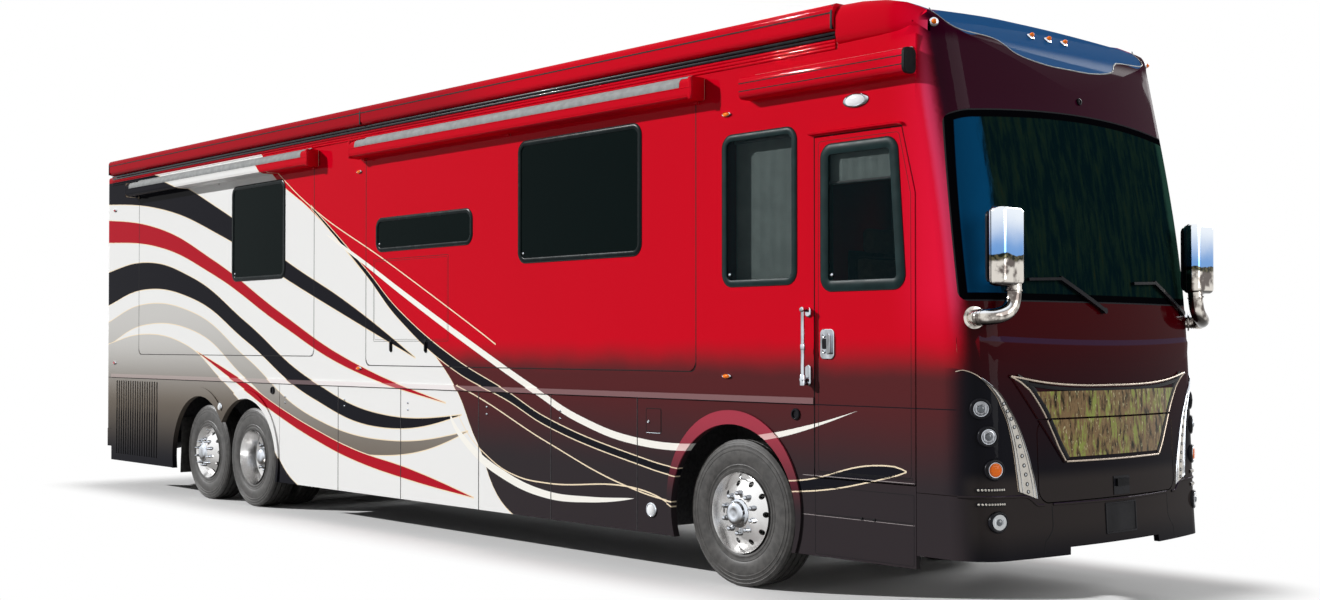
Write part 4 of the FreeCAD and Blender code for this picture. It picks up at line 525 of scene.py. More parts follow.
def polished(name, pale, deep, roughness, scale, spread, edge):
    """Bright metal in a painted reflection: pale where it faces up or ahead, deep where it faces down, with
    soft streaks.
    """
    material = finish(name, pale, roughness, 1.0)
    position = place_in(material)
    facing_x, facing_y, facing_z = place_in(material, 1).split()
    drawn = position.node("ShaderNodeVectorMath", {0: position, 1: (1.0, 1.0, 0.45)},
                          {"operation": "MULTIPLY"})
    # The colour is a painted reflection, set by the way the surface faces and broken by streaks.
    streaks = (drawn.noise(scale, 4.0) - 0.5) * spread
    tone = facing_z + facing_x * 0.16 + abs(facing_y) * 0.1 - 0.1 + streaks
    wire_in(material, "Base Color", tone.rise(-edge, edge).mix(deep, pale))
    wire_in(material, "Roughness", roughness + (position.noise(scale * 7, 2.0) - 0.5) * 0.06)
    return material


CHROME = polished("chrome", (0.8, 0.85, 0.92), (0.09, 0.085, 0.08), 0.07, 13.0, 0.75, 0.34)
POLISHED_ALLOY = polished("polished_alloy", (0.95, 0.95, 0.95), (0.46, 0.45, 0.44), 0.2, 7.0, 0.9, 0.6)
PLATE_WHITE = cloudy("blank_plate", (0.7, 0.7, 0.69), 0.4, 30.0, 0.05)


def mirror_chrome():
    """Chrome of the mirror heads in a painted reflection: sky tones above, a dark line at eye height,
    ground tones below.
    """
    material = finish("mirror_chrome", (0.8, 0.85, 0.92), 0.07, 1.0)
    position = place_in(material)
    height = position.split()[2] + (position.noise(7.0, 3.0) - 0.5) * 0.07
    facing_z = place_in(material, 1).split()[2]
    # Painted reflections of ground, trees and sky, set by height and by the way the surface faces.
    ground = position.noise(11.0, 4.0).rise(0.42, 0.58).mix((0.13, 0.11, 0.1), (0.7, 0.66, 0.6))
    mirrored_trees = position.noise(40.0, 4.0).rise(0.4, 0.6).mix((0.01, 0.014, 0.01), (0.1, 0.09, 0.05))
    sky = height.rise(2.3, 2.56).mix((0.16, 0.34, 0.68), (0.84, 0.9, 0.97))
    colour = height.rise(2.283, 2.29).mix(height.rise(2.24, 2.262).mix(ground, mirrored_trees), sky)
    colour = facing_z.rise(0.35, 0.6).mix(colour, (0.88, 0.92, 0.97))
    colour = (facing_z * -1).rise(0.3, 0.6).mix(colour, (0.045, 0.04, 0.036))
    wire_in(material, "Base Color", colour)
    wire_in(material, "Roughness", 0.05 + position.noise(60.0, 2.0) * 0.05)
    return material


MIRROR_CHROME = mirror_chrome()
MIRROR_FACE = finish("mirror_face", (0.9, 0.9, 0.9), 0.02, 1.0)
print("finishes so far", len(bpy.data.materials))

# %% [markdown]
# Hide, cloth, plastic and planks hardly shine, and what tells them apart is their grain. Soft clouds of
# noise shift the colour a little, and where the last number is given, they raise a fine bump too.

# %% Cab and cloth finishes
BAY_LINER = cloudy("bay_liner", (0.1, 0.1, 0.105), 0.85, 40.0, 0.2, 0.0008)
FLOOR_WOOD = cloudy("floor_wood", (0.3, 0.2, 0.12), 0.4, 5.0, 0.3, 0.0003)
DASH_PLASTIC = cloudy("dash_plastic", (0.028, 0.024, 0.022), 0.55, 60.0, 0.2, 0.0005)
SEAT_LEATHER = cloudy("seat_leather", (0.42, 0.33, 0.24), 0.5, 45.0, 0.12, 0.0008)
SHADE_CLOTH = cloudy("shade_cloth", (0.62, 0.76, 0.73), 0.85, 9.0, 0.08)
TOPPER_CLOTH = cloudy("topper_cloth", (0.3, 0.31, 0.31), 0.8, 16.0, 0.12, 0.0003)

# %% [markdown]
# Tinted glass on a coach is nearly black by day. The panes are thin solids, so a high Alpha does for
# the tint and costs no refraction. The windshield has a black border and a gasket, found by measuring
# how far a place is from the screen's edges, and painted reflections: streaks like leaves mirrored in
# it, a blue tone in its right corner and a green one in its left.

# %% Glass and lenses
SCREEN_LOW, SCREEN_TOP, SCREEN_SLOPE, SCREEN_LEAN = (6.535, 2.009), (6.391, 3.183), 0.52, 0.1227
TO_TOP_EDGE = 0.887


def tinted_glass(name, colour, alpha):
    """A dark pane: mostly opaque, so that only strong shapes behind it show."""
    material = finish(name, colour, 0.03, Specular_IOR_Level=0.02)
    position = place_in(material)
    wire_in(material, "Alpha", alpha + (position.noise(0.8, 1.0) - 0.5) * 0.06)
    return material


def screen_glass():
    """The windshield: nearly black with painted reflections of leaves and corner tints, a solid border and
    a thin gasket along its edge.
    """
    material = finish("screen_glass", (0.003, 0.006, 0.009), 0.03, Specular_IOR_Level=0.0)
    x, y, height = place_in(material).split()
    from_side = x - (SCREEN_LOW[0] - (height - SCREEN_LOW[1]) * SCREEN_LEAN)
    from_top = (SCREEN_TOP[1] + (x - SCREEN_TOP[0]) * SCREEN_SLOPE - height) * TO_TOP_EDGE
    edge = from_side.least(from_top).least(height - SCREEN_LOW[1])
    border = 1.0 - edge.rise(0.05, 0.056)
    gasket = 1.0 - edge.rise(0.008, 0.01)
    drawn = place_in(material).node("ShaderNodeVectorMath", {0: place_in(material), 1: (1.0, 9.0, 1.6)},
                                    {"operation": "MULTIPLY"})
    # Painted reflections of leaves, streaked across the glass.
    leaf_reflection = drawn.noise(2.2, 6.0, 0.7)
    tint = leaf_reflection.rise(0.4, 0.62).mix((0.002, 0.01, 0.013), (0.008, 0.021, 0.015))
    tint = leaf_reflection.rise(0.6, 0.72).mix(tint, (0.016, 0.021, 0.01))
    # Painted reflections in the side corners: blue on the right, green on the left.
    corner = abs(y) + (leaf_reflection - 0.5) * 0.16
    corner_reflection = y.rise(0.0, 0.1).mix((0.003, 0.065, 0.165), (0.02, 0.06, 0.044))
    tint = corner.rise(0.99, 1.05).mix(tint, corner_reflection)
    wire_in(material, "Base Color", gasket.mix(border.mix(tint, (0.002, 0.002, 0.003)),
                                               (0.035, 0.035, 0.038)))
    wire_in(material, "Alpha", 0.988 + border * 0.012)
    wire_in(material, "Roughness", 0.03 + gasket * 0.4)
    return material


WINDOW_GLASS = tinted_glass("window_glass", (0.002, 0.006, 0.006), 0.955)
CAB_GLASS = tinted_glass("cab_glass", (0.004, 0.01, 0.012), 0.42)
SCREEN_GLASS = screen_glass()
CLEAR_LENS = finish("clear_lens", (0.75, 0.78, 0.8), 0.08, Coat_Weight=1.0)
AMBER_LENS = finish("amber_lens", (1.0, 0.2, 0.004), 0.12, Coat_Weight=0.3)
RED_LENS = finish("red_lens", (0.5, 0.01, 0.015), 0.12, Coat_Weight=1.0)
print("finishes so far", len(bpy.data.materials))

# %% [markdown]
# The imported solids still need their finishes. A dictionary says by name which one a solid gets, and
# names that come in sets, such as those of the tyres, are told by how they start or end.

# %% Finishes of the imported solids
PAINTED = ("side_wall_right", "side_wall_left", "awning_cassettes", "front_cap", "rear_cap",
           "fender_panels", "front_bumper", "entry_door", "rear_lid", "slide_front_right",
           "slide_rear_right", "slide_left", "rear_bumper", "generator_door")
NODE_FINISH = {
    "roof_shell": ROOF_COAT, "roof_units": ROOF_WHITE, "windshield": SCREEN_GLASS,
    "side_windows": CAB_GLASS,
    "entry_door_glass": CAB_GLASS, "grille_panel": COACH_PAINT, "grille_lower": COACH_PAINT,
    "lamps": CLEAR_LENS, "mirrors": MIRROR_CHROME, "grab_handle": CHROME,
    "cab_seats": SEAT_LEATHER, "dashboard": DASH_PLASTIC, "floor_deck": FLOOR_WOOD,
    "engine_block": CAST_GREY,
    "wipers": BLACK_TRIM, "luggage_bays": BAY_LINER, "wheel_housings": BAY_LINER,
}


def dress(name):
    """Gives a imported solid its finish."""
    if name in PAINTED or name.startswith("bay_door"):
        chosen = COACH_PAINT
    elif name in NODE_FINISH:
        chosen = NODE_FINISH[name]
    elif name.endswith("_glass"):
        chosen = WINDOW_GLASS
    elif name.startswith("tyre"):
        chosen = TYRE_RUBBER
    elif name.startswith("rim"):
        chosen = POLISHED_ALLOY
    else:
        chosen = CHASSIS_BLACK
    slots = NODES[name].data.materials
    slots.clear()
    slots.append(chosen)


for name in NODES:
    dress(name)
print("dressed", len(NODES), "solids")

# %% [markdown]
# Every added piece is a closed mesh. It starts as an empty bmesh, a few builders add solids to it, and
# piece() makes the object: it smooths soft edges, keeps hard ones and fixes it to its body. Most
# pieces ride on the coach, and most finishes belong to one material slot of the part's record.

# %% From a bmesh to a piece
SLOT_OF = {"seal_rubber": "black_trim", "dash_plastic": "black_trim", "pale_bead": "chrome",
           "champagne_trim": "chrome", "mirror_chrome": "chrome", "mirror_face": "chrome",
           "mirror_insert": "chrome", "chassis_grey": "frame_steel", "roof_coat": "roof_white",
           "seat_piping": "seat_leather", "lamp_bowl": "lamp_lens"}
PIECES = []


def slot_of(one):
    """The record's slot for a finish: its name without Blender's number, unless listed or a lens."""
    name = one.name.split(".")[0]
    return "lamp_lens" if name.endswith("_lens") or name == "strip_white" else SLOT_OF.get(name, name)


def settle(name, mesh, body, slot, crisp):
    """Links a mesh as an object, with soft edges smooth and hard ones sharp. A mesh given no body stays
    unattached.
    """
    mesh.shade_smooth()
    mesh.set_sharp_from_angle(angle=math.radians(crisp))
    made = bpy.data.objects.new(name, mesh)
    bpy.context.scene.collection.objects.link(made)
    if body:
        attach(made, body)
    PIECES.append(name)
    return made


def piece(name, solid, finishes, body="coach", slot=None, crisp=35.0):
    """Makes an object of a finished bmesh, with one finish or a list of them."""
    bmesh.ops.recalc_face_normals(solid, faces=solid.faces)
    mesh = bpy.data.meshes.new(name)
    solid.to_mesh(mesh)
    solid.free()
    finishes = finishes if isinstance(finishes, list) else [finishes]
    for one in finishes:
        mesh.materials.append(one)
    return settle(name, mesh, body, slot or slot_of(finishes[0]), crisp)


def tell(what):
    """Prints what a cell has made, and the count of pieces by then."""
    print(what, "-", len(PIECES), "pieces so far")


# %% [markdown]
# Rings of points joined by quads give tubes, frames and turned parts alike, so skin() is the base of
# all the builders here. turned() works like a lathe, swept() pushes an outline along a path, and
# block() is a box with eased edges.

# %% Mesh builders


def skin(solid, rings, closed=False, material=0):
    """Joins rings of points with quads, and closes the two ends where the rings don't run round."""
    rows = [[solid.verts.new(point) for point in ring] for ring in rings]
    faces = [] if closed else [solid.faces.new(rows[0]), solid.faces.new(rows[-1])]
    for low, high in zip(rows, rows[1:] + (rows[:1] if closed else [])):
        for n in range(len(low)):
            after = (n + 1) % len(low)
            faces.append(solid.faces.new((low[n], low[after], high[after], high[n])))
    for face in faces:
        face.material_index = material


def turned(solid, profile, centre, out, steps=48, closed=False, material=0):
    """Turns (radius, along) points about the axis that runs out of centre."""
    out = Vector(out).normalized()
    side = out.orthogonal().normalized()
    up = out.cross(side)
    spokes = [side * math.cos(math.tau * n / steps) + up * math.sin(math.tau * n / steps)
              for n in range(steps)]
    skin(solid, [[Vector(centre) + out * along + spoke * radius for spoke in spokes]
                 for radius, along in profile], closed, material)


def swept(solid, path, section, closed=False, up=None, material=0):
    """Pushes an (across, above) outline along a path. With up, the outline's top keeps facing that way."""
    path = [Vector(point) for point in path]
    count = len(path)
    facing = Vector(up) if up else None
    rings = []
    for n, point in enumerate(path):
        before = path[n - 1] if n or closed else point
        after = path[(n + 1) % count] if n + 1 < count or closed else point
        run = (after - before).normalized()
        if facing is None:
            facing = run.orthogonal()
        above = (facing - run * facing.dot(run)).normalized()
        if not up:
            facing = above
        across = run.cross(above)
        rings.append([point + across * a + above * b for a, b in section])
    skin(solid, rings, closed, material)


def circle(radius, steps=8):
    return [(radius * math.cos(math.tau * n / steps), radius * math.sin(math.tau * n / steps))
            for n in range(steps)]


def rounded(corners, radius, steps=6):
    """A flat outline with each corner rounded."""
    points = []
    for n, corner in enumerate(corners):
        corner = Vector(corner)
        back = (Vector(corners[n - 1]) - corner).normalized()
        on = (Vector(corners[(n + 1) % len(corners)]) - corner).normalized()
        half = back.angle(on) / 2
        centre = corner + (back + on).normalized() * radius / math.sin(half)
        start = corner + back * radius / math.tan(half) - centre
        end = corner + on * radius / math.tan(half) - centre
        points += [tuple(centre + start.lerp(end, step / steps).normalized() * radius)
                   for step in range(steps + 1)]
    return points


def block(solid, low, high, soft=0.004, material=0, segments=2):
    """A box between two corners with its edges rounded."""
    verts = bmesh.ops.create_cube(solid, size=1.0)["verts"]
    for vert in verts:
        vert.co = [low[i] + (vert.co[i] + 0.5) * (high[i] - low[i]) for i in range(3)]
    for face in {face for vert in verts for face in vert.link_faces}:
        face.material_index = material
    edges = list({edge for vert in verts for edge in vert.link_edges})
    bmesh.ops.bevel(solid, geom=edges, offset=soft, segments=segments, profile=0.5, affect="EDGES")


def smooth_path(points, steps=6):
    """Points along a soft curve through the given ones."""
    points = [Vector(point) for point in points]
    ends = [points[0] * 2 - points[1]] + points + [points[-1] * 2 - points[-2]]
    out = []
    for n in range(1, len(ends) - 2):
        a, b, c, d = ends[n - 1:n + 3]
        for step in range(steps):
            t = step / steps
            out.append(0.5 * (2 * b + (c - a) * t + (2 * a - 5 * b + 4 * c - d) * t * t
                              + (3 * b - a - 3 * c + d) * t ** 3))
    return out + [points[-1]]


print("builders: skin, turned, swept, block, and circle, rounded and smooth_path for outlines")

# %% [markdown]
# What repeats is made once and stood on points by Geometry Nodes. A small mesh holds the points and an
# attribute with the direction that each copy faces. The tree turns the copies, makes them real and
# gives them their material, and the result is taken out of the modifier as one plain mesh.

# %% Copies on points


def repeated(name, spots, template, finish_used):
    """One plain mesh of copies of a small one. spots are (place, facing) pairs."""
    carrier = bpy.data.meshes.new(name + "_spots")
    carrier.from_pydata([place for place, facing in spots], [], [])
    facings = carrier.attributes.new("facing", "FLOAT_VECTOR", "POINT")
    for n, (place, facing) in enumerate(spots):
        facings.data[n].vector = facing
    holder = bpy.data.objects.new(name, carrier)
    bpy.context.scene.collection.objects.link(holder)
    tree = bpy.data.node_groups.new(name + "_rows", "GeometryNodeTree")
    tree.interface.new_socket("Geometry", in_out="INPUT", socket_type="NodeSocketGeometry")
    size = tree.interface.new_socket("Size", in_out="INPUT", socket_type="NodeSocketFloat")
    turn = tree.interface.new_socket("Turn", in_out="INPUT", socket_type="NodeSocketFloat")
    shape = tree.interface.new_socket("Shape", in_out="INPUT", socket_type="NodeSocketObject")
    tree.interface.new_socket("Geometry", in_out="OUTPUT", socket_type="NodeSocketGeometry")
    nodes, links = tree.nodes, tree.links
    entry, exit_ = nodes.new("NodeGroupInput"), nodes.new("NodeGroupOutput")
    facing_read = nodes.new("GeometryNodeInputNamedAttribute")
    facing_read.data_type = "FLOAT_VECTOR"
    facing_read.inputs["Name"].default_value = "facing"
    align = nodes.new("FunctionNodeAlignRotationToVector")
    align.axis = "Z"
    links.new(facing_read.outputs["Attribute"], align.inputs["Vector"])
    spin = nodes.new("FunctionNodeRotateRotation")
    spin.rotation_space = "LOCAL"
    angles = nodes.new("ShaderNodeCombineXYZ")
    links.new(entry.outputs["Turn"], angles.inputs["Z"])
    links.new(align.outputs[0], spin.inputs[0])
    links.new(angles.outputs[0], spin.inputs[1])
    source = nodes.new("GeometryNodeObjectInfo")
    links.new(entry.outputs["Shape"], source.inputs["Object"])
    stand = nodes.new("GeometryNodeInstanceOnPoints")
    links.new(entry.outputs["Geometry"], stand.inputs["Points"])
    links.new(source.outputs["Geometry"], stand.inputs["Instance"])
    links.new(spin.outputs[0], stand.inputs["Rotation"])
    links.new(entry.outputs["Size"], stand.inputs["Scale"])
    real = nodes.new("GeometryNodeRealizeInstances")
    links.new(stand.outputs[0], real.inputs[0])
    coat = nodes.new("GeometryNodeSetMaterial")
    coat.inputs["Material"].default_value = finish_used
    links.new(real.outputs[0], coat.inputs[0])
    links.new(coat.outputs[0], exit_.inputs[0])
    shape_mesh = bpy.data.meshes.new(name + "_shape")
    bmesh.ops.recalc_face_normals(template, faces=template.faces)
    template.to_mesh(shape_mesh)
    template.free()
    shape_object = bpy.data.objects.new(name + "_shape", shape_mesh)
    modifier = holder.modifiers.new("rows", "NODES")
    modifier.node_group = tree
    modifier[size.identifier] = 1.0
    modifier[turn.identifier] = 0.0
    modifier[shape.identifier] = shape_object
    bpy.context.view_layer.update()
    baked = bpy.data.meshes.new_from_object(holder.evaluated_get(bpy.context.evaluated_depsgraph_get()))
    bpy.data.objects.remove(holder)
    bpy.data.objects.remove(shape_object)
    baked.name = name
    return baked


def repeated_piece(name, spots, template, finish_used, body="coach", slot=None):
    """The copies as one piece on its body."""
    return settle(name, repeated(name, spots, template, finish_used), body, slot or slot_of(finish_used),
                  35.0)


def studs(name, spots, profile, steps, finish_used, body="coach", closed=False):
    """Copies of one small turned shape, such as a nut, a screw or a diode."""
    template = bmesh.new()
    turned(template, profile, (0, 0, 0), (0, 0, 1), steps=steps, closed=closed)
    repeated_piece(name, spots, template, finish_used, body)


print("repeats: repeated_piece for any shape, studs for turned ones")

# %% [markdown]
# Each tyre is one closed outline turned about its axle: a flat crown with four deep grooves, a
# shoulder, a bulging wall with raised rings, and the bead on the rim. A turned outline keeps the
# tyre truly round, and shifting every second step of the groove edges gives them their fine zigzag.

# %% Tyres
FRONT_AXLE, DRIVE_AXLE, TAG_AXLE, HUB_HEIGHT = 4.531, -2.989, -4.103, 0.53
TRACK, TAG_TRACK, DUAL_TRACK = 1.082, 1.07, 0.742
TYRE_STEPS = 112
GROOVES, GROOVE_HALF, GROOVE_DEPTH, ZIGZAG = (-0.084, -0.029, 0.029, 0.084), 0.0055, 0.013, 0.0022
WALL = [(0.291, 0.1135), (0.296, 0.1225), (0.306, 0.1265), (0.318, 0.1265), (0.322, 0.1235),
        (0.334, 0.1245), (0.338, 0.1275), (0.346, 0.1285), (0.35, 0.1265), (0.362, 0.1305), (0.4, 0.1335),
        (0.432, 0.1335), (0.446, 0.1325), (0.449, 0.1345), (0.455, 0.1343), (0.458, 0.1318), (0.474, 0.13),
        (0.477, 0.1318), (0.483, 0.1312), (0.486, 0.1282), (0.5, 0.1258), (0.503, 0.1268), (0.509, 0.124),
        (0.516, 0.1195)]
TREAD_EDGE, CROWN = (0.5255, 0.1145), 0.53


def tyre_outline():
    """(radius, along, zigzag) from the outer bead over the crown to the inner bead."""
    points = [(radius, along, 0.0) for radius, along in WALL + [TREAD_EDGE]]
    for groove in sorted(GROOVES, reverse=True):
        top = CROWN - 0.0035 * (groove / 0.11) ** 2
        points += [(top, groove + GROOVE_HALF, ZIGZAG),
                   (top - GROOVE_DEPTH, groove + GROOVE_HALF * 0.6, ZIGZAG),
                   (top - GROOVE_DEPTH, groove - GROOVE_HALF * 0.6, ZIGZAG),
                   (top, groove - GROOVE_HALF, ZIGZAG)]
    points += [(radius, -along, 0.0) for radius, along in reversed(WALL + [TREAD_EDGE])]
    return points


def add_tyre(solid, axle, track, side):
    """One tyre about the point (axle, side * track) at hub height."""
    outline = tyre_outline()
    rings = []
    for n in range(TYRE_STEPS):
        turn = math.tau * n / TYRE_STEPS
        shift = 1 if n % 2 else -1
        rings.append([Vector((axle + radius * math.cos(turn), side * (track + along + shift * zigzag),
                              HUB_HEIGHT + radius * math.sin(turn))) for radius, along, zigzag in outline])
    skin(solid, rings, closed=True)


def make_tyres(label, axle, tracks):
    for word, side in (("right", -1), ("left", 1)):
        solid = bmesh.new()
        for track in tracks:
            add_tyre(solid, axle, track, side)
        tyre = piece("tyre_%s_%s_tread" % (label, word), solid, TYRE_RUBBER, "wheel_%s_%s" % (label, word),
                     crisp=28)
        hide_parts("tyre_%s_%s" % (label, word))


make_tyres("front", FRONT_AXLE, (TRACK,))
make_tyres("drive", DRIVE_AXLE, (TRACK, DUAL_TRACK))
make_tyres("tag", TAG_AXLE, (TAG_TRACK,))
tell("tyres")

# %% [markdown]
# Ten chrome nut covers stand round each hub: one shape, and one list of places. The rearmost axle of
# this kind of coach has long pointed covers, and the other two have short ones.

# %% Wheel nuts, hub caps and valve stems
NUT_CIRCLE = 0.143
NUT_COUNT = 10
SHORT_NUT = [(0.021, -0.012), (0.021, 0.012), (0.0175, 0.02), (0.0165, 0.04), (0.012, 0.046),
             (0.004, 0.048)]
LONG_NUT = [(0.021, -0.012), (0.021, 0.014), (0.0165, 0.022), (0.013, 0.048), (0.006, 0.07),
            (0.0015, 0.078)]


def make_wheel_trim(label, axle, track, nut_base, nut, cap):
    """nut_base and the cap's profile are measured outwards from the wheel's middle."""
    for word, side in (("right", -1), ("left", 1)):
        body, out = "wheel_%s_%s" % (label, word), Vector((0, side, 0))
        hub = Vector((axle, side * track, HUB_HEIGHT))
        spots = []
        for n in range(NUT_COUNT):
            turn = math.tau * (n + 0.5) / NUT_COUNT
            spots.append((hub + out * nut_base + Vector((math.cos(turn), 0, math.sin(turn))) * NUT_CIRCLE,
                          out))
        studs("nuts_%s_%s" % (label, word), spots, nut, 12, CHROME, body)
        solid = bmesh.new()
        turned(solid, cap, hub, out, steps=56)
        piece("hub_cap_%s_%s" % (label, word), solid, CHROME, body, crisp=50)
        solid = bmesh.new()
        stem = hub + Vector((0.0, 0, 0.236))
        swept(solid,
              [stem + out * (nut_base - 0.055), stem + out * (nut_base - 0.03) + Vector((0, 0, 0.004)),
               stem + out * (nut_base - 0.012) + Vector((0, 0, 0.012))], circle(0.0045))
        turned(solid, [(0.0062, 0), (0.0062, 0.014), (0.004, 0.017)], stem + out * (nut_base - 0.014)
               + Vector((0, 0, 0.0115)), out + Vector((0, 0, 0.35)), steps=10)
        piece("valve_%s_%s" % (label, word), solid, CHROME, body)


FRONT_CAP = [(0.106, 0.112), (0.106, 0.152), (0.098, 0.16), (0.088, 0.161), (0.084, 0.166), (0.082, 0.186),
             (0.074, 0.196), (0.04, 0.203), (0.036, 0.2), (0.012, 0.201), (0.003, 0.201)]
TAG_CAP = [(0.106, 0.11), (0.106, 0.192), (0.1, 0.196), (0.088, 0.197), (0.084, 0.2), (0.08, 0.206),
           (0.06, 0.214), (0.03, 0.2165), (0.003, 0.217)]
DRIVE_CAP = [(0.108, -0.03), (0.108, 0.004), (0.1, 0.01), (0.092, 0.011), (0.089, 0.04), (0.08, 0.052),
             (0.05, 0.06), (0.02, 0.062), (0.003, 0.062)]
make_wheel_trim("front", FRONT_AXLE, TRACK, 0.128, SHORT_NUT, FRONT_CAP)
make_wheel_trim("tag", TAG_AXLE, TAG_TRACK, 0.15, LONG_NUT, TAG_CAP)
make_wheel_trim("drive", DRIVE_AXLE, TRACK, -0.034, SHORT_NUT, DRIVE_CAP)
tell("wheels dressed")

# %% [markdown]
# Every window is a flush pane in a dark frame. The frame is one outline swept round the pane with a
# bevelled cross-section, and a thin rubber bead seals its outer edge. A pale roller shade hangs a
# hand's breadth behind the glass: a real sheet of cloth with slight waves, between two bars.

# %% Window frames, beads and shades
SIDE_PLANE = 1.295
CORNER = 0.09
FRAME_FINISH = cloudy("frame_enamel", (0.009, 0.021, 0.022), 0.36, 12.0, 0.15)
DARK_FRAME = cloudy("dark_frame", (0.004, 0.008, 0.009), 0.25, 12.0, 0.15)
PALE_BEAD = cloudy("pale_bead", (0.32, 0.34, 0.34), 0.4, 20.0, 0.15)
SHADE_DEPTH, DOOR_SHADE_DEPTH = 0.115, 0.045
FOLDS, FOLD_DEPTH, CLOTH_THICK = 24, 0.0022, 0.0012
BLIND = {"cab": SHADE_CLOTH, "room": cloudy("room_shade", (0.24, 0.32, 0.3), 0.85, 9.0, 0.08)}


def on_side(points, side, out=0.0):
    """(x, z) points as places on a side wall, lifted outwards."""
    return [Vector((x, side * (SIDE_PLANE + out), z)) for x, z in points]


def shrunk(points, by):
    """A smooth outline moved inwards."""
    middle = sum((Vector(p) for p in points), Vector((0, 0))) / len(points)
    out = []
    for n, point in enumerate(points):
        before, after = Vector(points[n - 1]), Vector(points[(n + 1) % len(points)])
        run = (after - before).normalized()
        inward = Vector((-run.y, run.x))
        if inward.dot(middle - Vector(point)) < 0:
            inward.negate()
        out.append(tuple(Vector(point) + inward * by))
    return out


def window(name, corners, side, body, width, frame_finish, blind, blind_span):
    """Frame, bead, shade and catch. blind_span gives the shade's x and z reach as shares of the window."""
    outline = rounded(corners, CORNER)
    facing = (0, side, 0)
    solid = bmesh.new()
    middle_line = shrunk(outline, width / 2 - 0.004)
    half = width / 2
    swept(solid, on_side(middle_line, side),
          [(-half, -0.002), (-half, 0.0045), (-half + 0.004, 0.007), (half - 0.008, 0.0075), (half, 0.0035),
           (half, -0.002)], closed=True, up=facing)
    piece("frame_" + name, solid, [frame_finish], body, "black_trim")
    solid = bmesh.new()
    swept(solid, on_side(shrunk(outline, -0.005), side, 0.001), circle(0.0042), closed=True, up=facing)
    piece("bead_" + name, solid, SEAL_RUBBER, body, "tyre_rubber")
    xs, zs = [x for x, z in corners], [z for x, z in corners]
    low_x, high_x = (min(xs) + (max(xs) - min(xs)) * share for share in blind_span[:2])
    low_z, high_z = (min(zs) + (max(zs) - min(zs)) * share for share in blind_span[2:])
    plane = SIDE_PLANE - (DOOR_SHADE_DEPTH if body == "entry_door" else SHADE_DEPTH)
    front = [(low_x + (high_x - low_x) * n / FOLDS, plane + FOLD_DEPTH * math.sin(n * 1.7))
             for n in range(FOLDS + 1)]
    ring = front + [(x, y - CLOTH_THICK) for x, y in reversed(front)]
    solid = bmesh.new()
    skin(solid, [[Vector((x, side * y, z)) for x, y in ring]
                 for z in (low_z, (low_z + high_z) / 2, high_z)])
    cloth = piece("shade_" + name, solid, BLIND[blind], body, "seat_leather", crisp=60)
    high_x - low_x
    high_z - low_z
    solid = bmesh.new()
    for z, size in ((low_z, 0.011), (high_z, 0.016)):
        swept(solid, [(low_x - 0.01, side * plane, z), (high_x + 0.01, side * plane, z)], circle(size, 12))
    piece("shade_bars_" + name, solid, PALE_BEAD, body)
    solid = bmesh.new()
    turned(solid, [(0.011, -0.004), (0.011, 0.004), (0.008, 0.007), (0.002, 0.008)],
           (min(xs) + width + 0.028, side * (SIDE_PLANE + 0.001), min(zs) + width + 0.035), facing,
           steps=16)
    piece("catch_" + name, solid, CHROME, body)


# %% [markdown]
# The windows differ only in their corners, their body and the width of their frame. The driver's and
# the door's have a slanted front edge, and their shades are drawn only part of the way.

# %% All windows


def box_corners(x0, x1, z0, z1):
    return [(x0, z0), (x1, z0), (x1, z1), (x0, z1)]


NEAR_WINDOW = box_corners(4.439, 5.169, 2.156, 3.234)
DOOR_WINDOW = [(5.403, 2.1), (6.133, 2.1), (6.063, 3.079), (5.403, 3.079)]
DRIVER_WINDOW = [(5.403, 2.156), (6.133, 2.156), (6.063, 3.234), (5.403, 3.234)]
MAIN_WINDOW = box_corners(1.952, 3.531, 2.423, 3.431)
SLIT_WINDOW = box_corners(-0.328, 1.265, 2.618, 2.925)
REAR_WINDOW = box_corners(-3.324, -2.132, 2.43, 3.446)
LEFT_MAIN_WINDOW = box_corners(1.636, 3.215, 2.423, 3.431)
LEFT_REAR_WINDOW = box_corners(-4.462, -3.27, 2.43, 3.446)
FULL = (0.03, 0.97, 0.03, 0.97)
window("near_right", NEAR_WINDOW, -1, "coach", 0.046, FRAME_FINISH, "cab", FULL)
window("near_left", NEAR_WINDOW, 1, "coach", 0.046, FRAME_FINISH, "cab", FULL)
window("driver", DRIVER_WINDOW, 1, "coach", 0.07, FRAME_FINISH, "cab", (0.05, 0.86, 0.72, 0.97))
window("door", DOOR_WINDOW, -1, "entry_door", 0.07, FRAME_FINISH, "cab", (0.06, 0.84, 0.74, 0.95))
window("main_right", MAIN_WINDOW, -1, "slide_front_right", 0.04, DARK_FRAME, "room", FULL)
window("slit_right", SLIT_WINDOW, -1, "slide_front_right", 0.034, DARK_FRAME, "room", FULL)
window("rear_right", REAR_WINDOW, -1, "slide_rear_right", 0.04, DARK_FRAME, "room", FULL)
window("main_left", LEFT_MAIN_WINDOW, 1, "slide_left", 0.04, DARK_FRAME, "room", FULL)
window("rear_left", LEFT_REAR_WINDOW, 1, "slide_left", 0.04, DARK_FRAME, "room", FULL)
tell("windows framed")

# %% [markdown]
# Over each room runs a rolled fabric topper in a painted case. It is a thin closed sheet with a
# shallow sag between its two edges.

